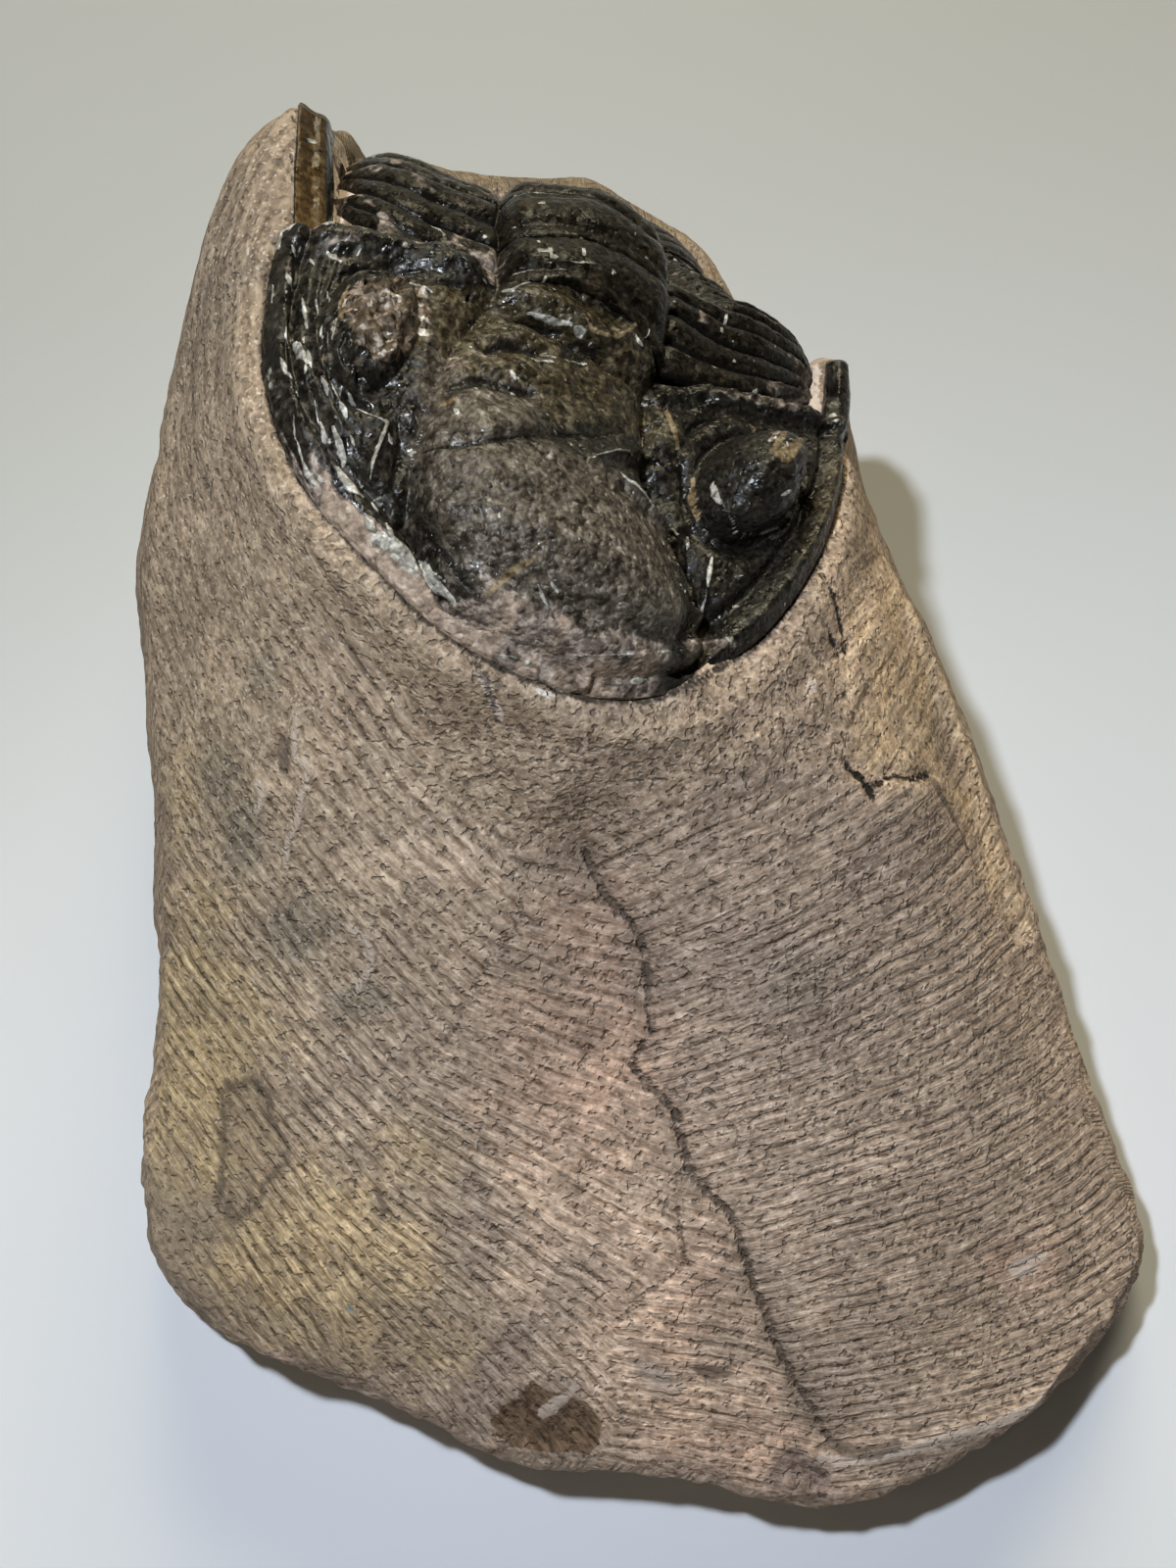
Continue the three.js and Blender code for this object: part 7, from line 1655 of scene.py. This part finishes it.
def build_block(material):
    n = len(COLUMNS)
    n_x, n_y, n_wall = BLOCK_GRID
    # the four sides of the rim: back, right, foot, left
    cut = [0.0, 11.0, 25.0, 34.0, float(n)]

    def side(u0, u1, m):
        u = np.linspace(u0, u1, 400)
        r = columns_at(u)[:, 0]
        at = np.r_[0, np.cumsum(np.linalg.norm(np.diff(r, axis=0), axis=1))]
        return np.interp(np.linspace(0, at[-1], m), at, u)

    ub, ur, uf, ul = side(cut[0], cut[1], n_x), side(cut[1], cut[2], n_y), side(cut[2], cut[3], n_x), side(cut[3], cut[4], n_y)
    back, right, foot, left = (columns_at(u)[:, 0] for u in (ub, ur, uf[::-1], ul[::-1]))
    # back runs left to right, foot likewise; left and right run from the back to the foot
    X, Y = np.meshgrid(np.linspace(0, 1, n_x), np.linspace(0, 1, n_y), indexing="ij")
    x, y = X[..., None], Y[..., None]
    P = (
        back[:, None] * (1 - y) + foot[:, None] * y + left[None] * (1 - x) + right[None] * x
        - (back[0] * (1 - x) * (1 - y) + back[-1] * x * (1 - y) + foot[0] * (1 - x) * y + foot[-1] * x * y)
    )
    sheet = rock_sheet(P[..., 0], P[..., 1])[..., 0]
    miss = P[..., 2] - sheet
    edge_in = np.minimum(np.minimum(X * 75, (1 - X) * 75), np.minimum(Y * 105, (1 - Y) * 105))
    z = sheet + np.clip(miss, -4, 4) * np.exp(-edge_in / 2.2)
    on_edge = (X == 0) | (X == 1) | (Y == 0) | (Y == 1)
    z = np.where(on_edge, P[..., 2], z)
    P[..., 2] = z
    top = P.reshape(-1, 3)
    loop = border(n_x, n_y)
    u_loop = np.concatenate([
        # border() walks: first row of x (left side), then the foot, then the right side backwards, then the back
        ul[::-1], uf[::-1][1:], ur[::-1][1:], ub[::-1][1:-1],
    ])
    u_loop = np.mod(u_loop, n)
    cols = columns_at(u_loop)
    V = [top]
    faces = [tuple(q) for q in grid_faces(n_x, n_y)]
    prev = loop
    ring_f = np.zeros(len(top))
    m = len(loop)
    level = [ring_f]
    for k in range(1, n_wall + 1):
        f = k / n_wall
        p = down_column(cols, f)
        p[:, 2] = 0 if k == n_wall else np.maximum(p[:, 2], 0.12)
        cur = len(top) + (k - 1) * m + np.arange(m)
        V.append(p)
        level.append(np.full(m, f))
        nxt = np.roll(np.arange(m), -1)
        faces += np.stack([prev, prev[nxt], cur[nxt], cur], -1)[:, ::-1].tolist()
        prev = cur
    V = np.vstack(V)
    level = np.concatenate(level)
    hub = len(V)
    V = np.vstack([V, [[V[prev, 0].mean(), V[prev, 1].mean(), 0]]])
    level = np.r_[level, 1.0]
    faces += [(int(prev[k]), hub, int(prev[(k + 1) % m])) for k in range(m)][::1]
    quads = np.array([f for f in faces if len(f) == 4])
    edges = np.vstack([quads[:, [0, 1]], quads[:, [1, 2]]])
    edges = np.unique(np.sort(edges, 1), axis=0)
    is_top = np.zeros(len(V), bool)
    is_top[: len(top)] = True
    near_rim = np.r_[edge_in.reshape(-1), (level[len(top):]) * 22]
    keep = (level < 0.999).astype(float)
    V = relax(V, edges, 0.9 * smooth(3.2, 0.6, near_rim) * keep, 26)

    x, y = V[:, 0], V[:, 1]
    Q = np.stack([x, y], -1)
    # ---- what is where on the top
    stip = smooth(-1.6, 1.6, depth_in(Q, STIPPLE)) * is_top
    butt = smooth(-1.5, 2.0, depth_in(Q, BUTTRESS)) * is_top
    worn = smooth(-2.0, 3.0, depth_in(Q, WORN))
    d_crease, f_crease = line_distance(Q, CREASE)
    cracks = [CRACK_A, CRACK_A2, CRACK_B, CRACK_G]
    grow = [0.02, 0.04, -0.04, 0.03]
    fine = [CRACK_D, CRACK_E, CRACK_F, CRACK_A3]
    d_fine = np.min([line_distance(Q, c)[0] + g for c, g in zip(fine, [0.04, 0.16, -0.12, 0.06])], axis=0)
    d_band, f_band = line_distance(Q, STEP_SHADOW_BAND)
    d_rosy, _ = line_distance(Q, CRACK_H)
    d_crack = np.min([line_distance(Q, c)[0] + g for c, g in zip(cracks, grow)], axis=0)
    d_seam = np.minimum(line_distance(Q, JOIN_LM)[0], line_distance(Q, JOIN_MB)[0])
    d_seam = np.minimum(d_seam, line_distance(Q, EDGE_L)[0] + 0.1)
    d_scar = np.min([line_distance(Q, c)[0] for c in (SCAR_A, SCAR_B, SCAR_C)], axis=0)
    d_facet, _ = line_distance(Q, FACET)
    d_lip, _ = line_distance(Q, LIP)
    chip, rust, crust = depth_in(Q, CHIP), depth_in(Q, RUST), depth_in(Q, CRUST)
    rust = np.minimum(rust, -depth_in(Q, RUST_PALE) + 0.2)
    in_s = inside(Q, MARK_S)

    # ---- relief of the top
    V3 = V.copy()
    soft = fbm(V3, 9.0, 3, 71)
    lump = fbm(V3, 2.6, 3, 74)
    dz = 0.42 * soft + 0.10 * lump
    dz = dz - 0.35 * bell(d_crease, 0.55) * smooth(1.0, 0.9, f_crease) - 0.45 * bell(d_crease, 3.4)
    dz = dz - 0.40 * bell(d_crack, 0.42) - 0.20 * bell(d_fine, 0.4) - 0.40 * bell(d_band, 0.7)
    dz = dz - 0.10 * bell(d_seam, 0.5) - 0.22 * bell(d_seam, 2.2)
    dz = dz + 0.28 * bell(d_scar, 0.45) - 0.45 * smooth(-0.3, 0.8, depth_in(Q, DARK_SPOT))
    dz = dz + in_s * (-0.75 * (1 - np.exp(-d_facet / 1.6)))
    dz = dz + 0.45 * bell(d_lip, 0.9) - 0.5 * smooth(-0.3, 1.0, crust)
    dz = dz - 0.35 * smooth(-0.4, 1.2, chip) - 0.55 * smooth(-0.2, 0.9, rust)
    dz = dz + stip * (0.30 * fbm(V3, 1.5, 3, 77)) + butt * (0.9 * smooth(0.0, 3.0, depth_in(Q, BUTTRESS)) + 0.35 * fbm(V3, 2.4, 2, 79))
    fade = np.clip(near_rim / 2.0, 0, 1)
    wave = (0.42 * soft + 0.10 * lump) * 0.35
    V[:, 2] += np.where(is_top, dz * fade + wave * (1 - fade), wave * smooth(0.22, 0.0, level))
    # ---- relief of the sides: shallow facets and scoops
    c0 = np.array([V[:, 0].mean(), V[:, 1].mean()])
    outw = unit(Q - c0)
    low = smooth(8.0, -25.0, V3[:, 1])
    jag = 0.42 * fbm(V3, 3.4, 3, 95) + 0.22 * noise3(V3, 1.1, 97) - 0.10
    V[:, :2] += outw * (jag * (0.35 + 0.65 * low) * np.where(is_top, smooth(2.5, 0.0, near_rim), smooth(1.0, 0.9, level)))[:, None]
    sidew = (~is_top) * smooth(0.0, 0.12, level) * smooth(1.0, 0.93, level)
    out = 0.55 * fbm(V3, 8.0, 3, 81) + 0.14 * fbm(V3, 1.6, 2, 84)
    V[:, :2] += outw * (out * sidew)[:, None]
    foot_in = (~is_top) * smooth(0.90, 1.0, level)
    V[:, :2] -= outw * (0.5 * foot_in)[:, None]

    # ---- the stone comes up to the edge of the head shield
    s_ = np.linspace(-1, 1, 160)
    rim3 = head_point(s_, front_edge(s_), 0 * s_)
    d_rim, f_rim = line_distance(V[:, :2], rim3[:, :2])
    run = np.r_[0, np.cumsum(np.linalg.norm(np.diff(rim3[:, :2], axis=0), axis=1))]
    rim_z = np.interp(f_rim, run / run[-1], rim3[:, 2])
    lift = smooth(3.6, 0.6, d_rim) * (d_rim < 3.6) * is_top
    V[:, 2] += lift * np.clip(rim_z - 0.35 - V[:, 2], 0, 2.5)

    # ---- the shell lies in the block
    tree = under_shell()
    box_lo, box_hi = np.array([-26.0, -9.0]), np.array([24.0, 53.0])
    near = np.nonzero(np.all((V[:, :2] > box_lo) & (V[:, :2] < box_hi), axis=1) & (level < 0.999))[0]
    covered = np.zeros(len(V), bool)
    for k in near:
        p = V[k]
        hit, _, _, _ = tree.ray_cast(Vector((p[0], p[1], 90.0)), Vector((0, 0, -1)))
        if hit is not None and hit.z < p[2]:
            V[k, 2] = hit.z
            covered[k] = True

    # ---- marks, held per corner so that each worked face ends at a clean line
    size = np.array([len(f) for f in faces])
    corner = np.concatenate([np.asarray(f) for f in faces])
    face_of = np.repeat(np.arange(len(faces)), size)
    mid = np.stack([np.bincount(face_of, Q[corner, k], len(faces)) / size for k in (0, 1)], -1)
    on_wall = np.bincount(face_of, ~is_top[corner], len(faces)) > 0
    zone = np.full(len(faces), "L")
    jig = np.stack([noise3(np.c_[mid, 0 * mid[:, :1]], 1.1, 91), noise3(np.c_[mid, 0 * mid[:, :1]], 1.1, 92)], -1) * 0.45
    for name, poly in (("M", MARK_M), ("B", MARK_B), ("R", MARK_R), ("S", MARK_S)):
        zone[inside(mid + jig, poly)] = name
    zone[on_wall] = "W"
    strength = (1 - 0.80 * stip) * (1 - 0.85 * butt) * (1 - 0.70 * worn)
    strength = strength * (1 - 0.42 * smooth(-16.0, -22.0, x) * smooth(-22.0, -6.0, y))
    strength = strength * (0.80 + 0.28 * smooth(-0.5, 0.5, fbm(V3, 7.0, 2, 98)))
    tool = np.zeros((len(corner), 3))
    for name, power in (("L", 1.0), ("M", 0.95), ("R", 0.85), ("S", 0.72), ("B", 0.85)):
        w = (zone == name)[face_of]
        k = corner[w]
        a, b = count_marks(name, x[k], y[k])
        tool[w, 0], tool[w, 1], tool[w, 2] = a, b, power * strength[k]
    # sides: strokes run down and along the wall
    per = np.zeros(len(V))
    rim_at = np.r_[0, np.cumsum(np.linalg.norm(np.diff(cols[:, 2, :2], axis=0), axis=1))]
    per[loop] = rim_at
    for k in range(n_wall):
        per[len(top) + k * m : len(top) + (k + 1) * m] = rim_at
    w = (zone == "W")[face_of]
    k = corner[w]
    ang = 0.9 + 0.45 * np.sin(per[k] / 17.0)
    tool[w, 0] = (per[k] * np.cos(ang) + V[k, 2] * np.sin(ang)) / 0.95
    tool[w, 1] = (-per[k] * np.sin(ang) + V[k, 2] * np.cos(ang)) / 0.95
    # no strokes where the round of sides closes on itself, nor on the flat base
    ends = np.minimum(rim_at, rim_at[-1] - rim_at)
    calm = np.ones(len(V))
    calm[loop] = smooth(0.2, 2.0, ends)
    for k2 in range(n_wall):
        calm[len(top) + k2 * m : len(top) + (k2 + 1) * m] = smooth(0.2, 2.0, ends)
    tool[w, 2] = 0.60 * calm[k] * (level[k] < 0.9999)

    w = is_top.astype(float)
    olive, pink, blue = (blobs(x, y, b) * (0.35 + 0.65 * w) for b in (OLIVE, PINK, BLUE))
    facet_tint = smooth(-1.0, 1.5, depth_in(Q, MARK_S)) * w
    olive = np.maximum(olive, 0.45 * facet_tint)
    # light and dark: partly the stone's own tone, partly painted light on the lower and right slopes and painted shade
    # on the steep upper-left strip
    light = np.maximum(blobs(x, y, LIGHT) * w, 0.35 * facet_tint)
    dark = np.maximum(blobs(x, y, DARK) * w, 0.30 * butt)
    smear = np.clip(depth_in(Q, GREY_SMEAR) / 1.5, -1, 1)
    behind = (~is_top) & (y > 21) & (x > -19.5) & (x < 16.5) & (V[:, 2] > 6)
    palep = np.maximum.reduce([0.42 - d_lip, depth_in(Q, PALE_SPOT), depth_in(Q, RUST_PALE), 0.28 - d_rosy, depth_in(Q, YELLOW_SPOT) - 0.1])
    dark_spots_and_step_shadow = np.maximum(np.maximum(depth_in(Q, DARK_SPOT), depth_in(Q, DARK_SPOT2)), depth_in(Q, SMUDGE) - 0.25)
    # the dark spot mask also carries painted shadow along the facet step
    dark_spots_and_step_shadow = np.maximum.reduce([dark_spots_and_step_shadow, 0.50 - line_distance(Q, LIP_DARK)[0], 0.42 - 0.2 * f_band - d_band, depth_in(Q, BACK_SPOT)])
    crystal = np.maximum.reduce([depth_in(Q, WHITE_CRYSTAL), depth_in(Q, TAN_CRYSTAL) - 0.12, depth_in(Q, GREY_CRYSTAL) - 0.15])
    teal = depth_in(Q, TURQ) - 0.05
    far = 9.0
    keep_top = lambda v, off: np.where(is_top, v, off)
    # distance to the edge of the shell, outside it, where a shadow line is painted on the stone
    s_ = np.linspace(-1, 1, 120)
    rim_line = head_point(s_, front_edge(s_), 0 * s_)[:, :2]
    d_edge, _ = line_distance(Q, rim_line)
    bag = Bag()
    bag.add(
        V, faces,
        tint_a=np.stack([olive, pink, blue], -1),
        tint_b=np.stack([dark, light, np.maximum(stip, butt)], -1),
        tint_c=np.stack([keep_top(rust, -3), keep_top(crust, -3), keep_top(chip / 2, -3)], -1),
        tint_d=np.stack([np.where(behind, 0.55 - 1.6 * smooth(32.0, 20.0, V3[:, 2] + 5.0 * fbm(V3, 5.0, 3, 99)), keep_top(np.maximum.reduce([palep, 0.9 * depth_in(Q, BACK_PALE), 0.9 * depth_in(Q, SPINE_PALE_L), 0.9 * depth_in(Q, SPINE_PALE_R)]), -3)), keep_top(smear, -3), worn], -1),
        line_a=np.stack([keep_top(d_crease, far), keep_top(d_crack, far), keep_top(d_seam, far)], -1),
        line_b=np.stack([keep_top(d_scar, far), keep_top(dark_spots_and_step_shadow, -3), keep_top(d_edge, far)], -1),
        line_c=np.stack([keep_top(d_fine, far), keep_top(crystal, -3), keep_top(teal, -3)], -1),
    )
    bag.corner["tool"] = tool
    return bag.make("rock_block", material)


# ---- build
BLOCK_GRID = (196, 262, 34)
rock = rock_material()
head_mat = shell_material("shell_head", True)
body_mat = shell_material("shell_body", False)

block = build_block(rock)
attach(block, "root")
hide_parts("matrix")

head = build_head(head_mat)
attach(head, "root")
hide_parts("cephalon")

for i in range(SEGMENTS):
    piece = build_sclerite(i, body_mat)
    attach(piece, "root")
    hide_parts("thoracic_segment_%02d" % (i + 1))

tail = build_tail(body_mat)
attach(tail, "root")
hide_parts("pygidium")

# ---- floor, light, camera
def floor():
    n = Nodes("pale_floor")
    x, y, _ = n.split(n.coord)
    # painted light on the floor: brighter and bluer toward the front, darker and warmer toward the back, standing in
    # for the lamp's fall-off
    soft = n.add(n.step(n.sub(y, n.mul(x, 0.35)), -0.07, 0.075), n.mul(n.sub(n.noise(18, 2.0, 0.5), 0.5), 0.1))
    col = n.mix(soft, (0.735, 0.755, 0.82), (0.43, 0.433, 0.425))
    mat = n.finish(col, 0.55, None, 0.3)
    me = bpy.data.meshes.new("floor")
    r = 1.6
    me.from_pydata([(-r, -r, 0), (r, -r, 0), (r, r, 0), (-r, r, 0)], [], [(0, 1, 2, 3)])
    me.materials.append(mat)
    ob = bpy.data.objects.new("floor", me)
    bpy.context.scene.collection.objects.link(ob)


def lamp(name, at, size, power, color):
    d = bpy.data.lights.new(name, "AREA")
    d.shape = "DISK"
    d.size = size
    d.energy = power
    d.color = color
    ob = bpy.data.objects.new(name, d)
    bpy.context.scene.collection.objects.link(ob)
    ob.location = at
    ob.rotation_euler = (Vector((0, 0, 0.02)) - Vector(at)).to_track_quat("-Z", "Y").to_euler()
    return ob


floor()
lamp("key", (-0.043, 0.003, 0.205), 0.010, 0.350, (0.87, 0.945, 1.03))
lamp("fill_back", (0.12, 1.10, 0.72), 0.7, 12.5, (1.0, 0.905, 0.62))
lamp("fill_left", (-0.60, -0.20, 0.55), 0.5, 0.38, (1.0, 0.90, 0.60))
lamp("fill_front", (-0.25, -0.7, 0.40), 0.5, 0.08, (1.0, 0.92, 0.70))

world = bpy.data.worlds.new("studio")
world.use_nodes = True
nodes, links = world.node_tree.nodes, world.node_tree.links
way = nodes.new("ShaderNodeSeparateXYZ")
links.new(nodes.new("ShaderNodeTexCoord").outputs["Generated"], way.inputs[0])
sky = nodes.new("ShaderNodeValToRGB")
links.new(way.outputs[2], sky.inputs[0])
sky.color_ramp.elements[0].position = 0.02
sky.color_ramp.elements[0].color = (0.33, 0.32, 0.29, 1)
sky.color_ramp.elements[1].position = 0.34
sky.color_ramp.elements[1].color = (0.024, 0.020, 0.012, 1)
links.new(sky.outputs[0], nodes["Background"].inputs[0])
nodes["Background"].inputs[1].default_value = 1.0
bpy.context.scene.world = world

cam_data = bpy.data.cameras.new("camera")
cam_data.sensor_width = 36.0
cam_data.lens = 45.0
cam_data.clip_start = 0.005
cam_data.clip_end = 10.0
cam = bpy.data.objects.new("camera", cam_data)
bpy.context.scene.collection.objects.link(cam)
eye, aim = Vector((-0.0036683, -0.0403068, 0.1552296)), Vector((-0.0036683, -0.0040721, 0.020))
cam.location = eye
cam.rotation_euler = (aim - eye).to_track_quat("-Z", "Y").to_euler()
bpy.context.scene.camera = cam
bpy.context.scene.view_settings.view_transform = "Standard"

bpy.context.view_layer.update()
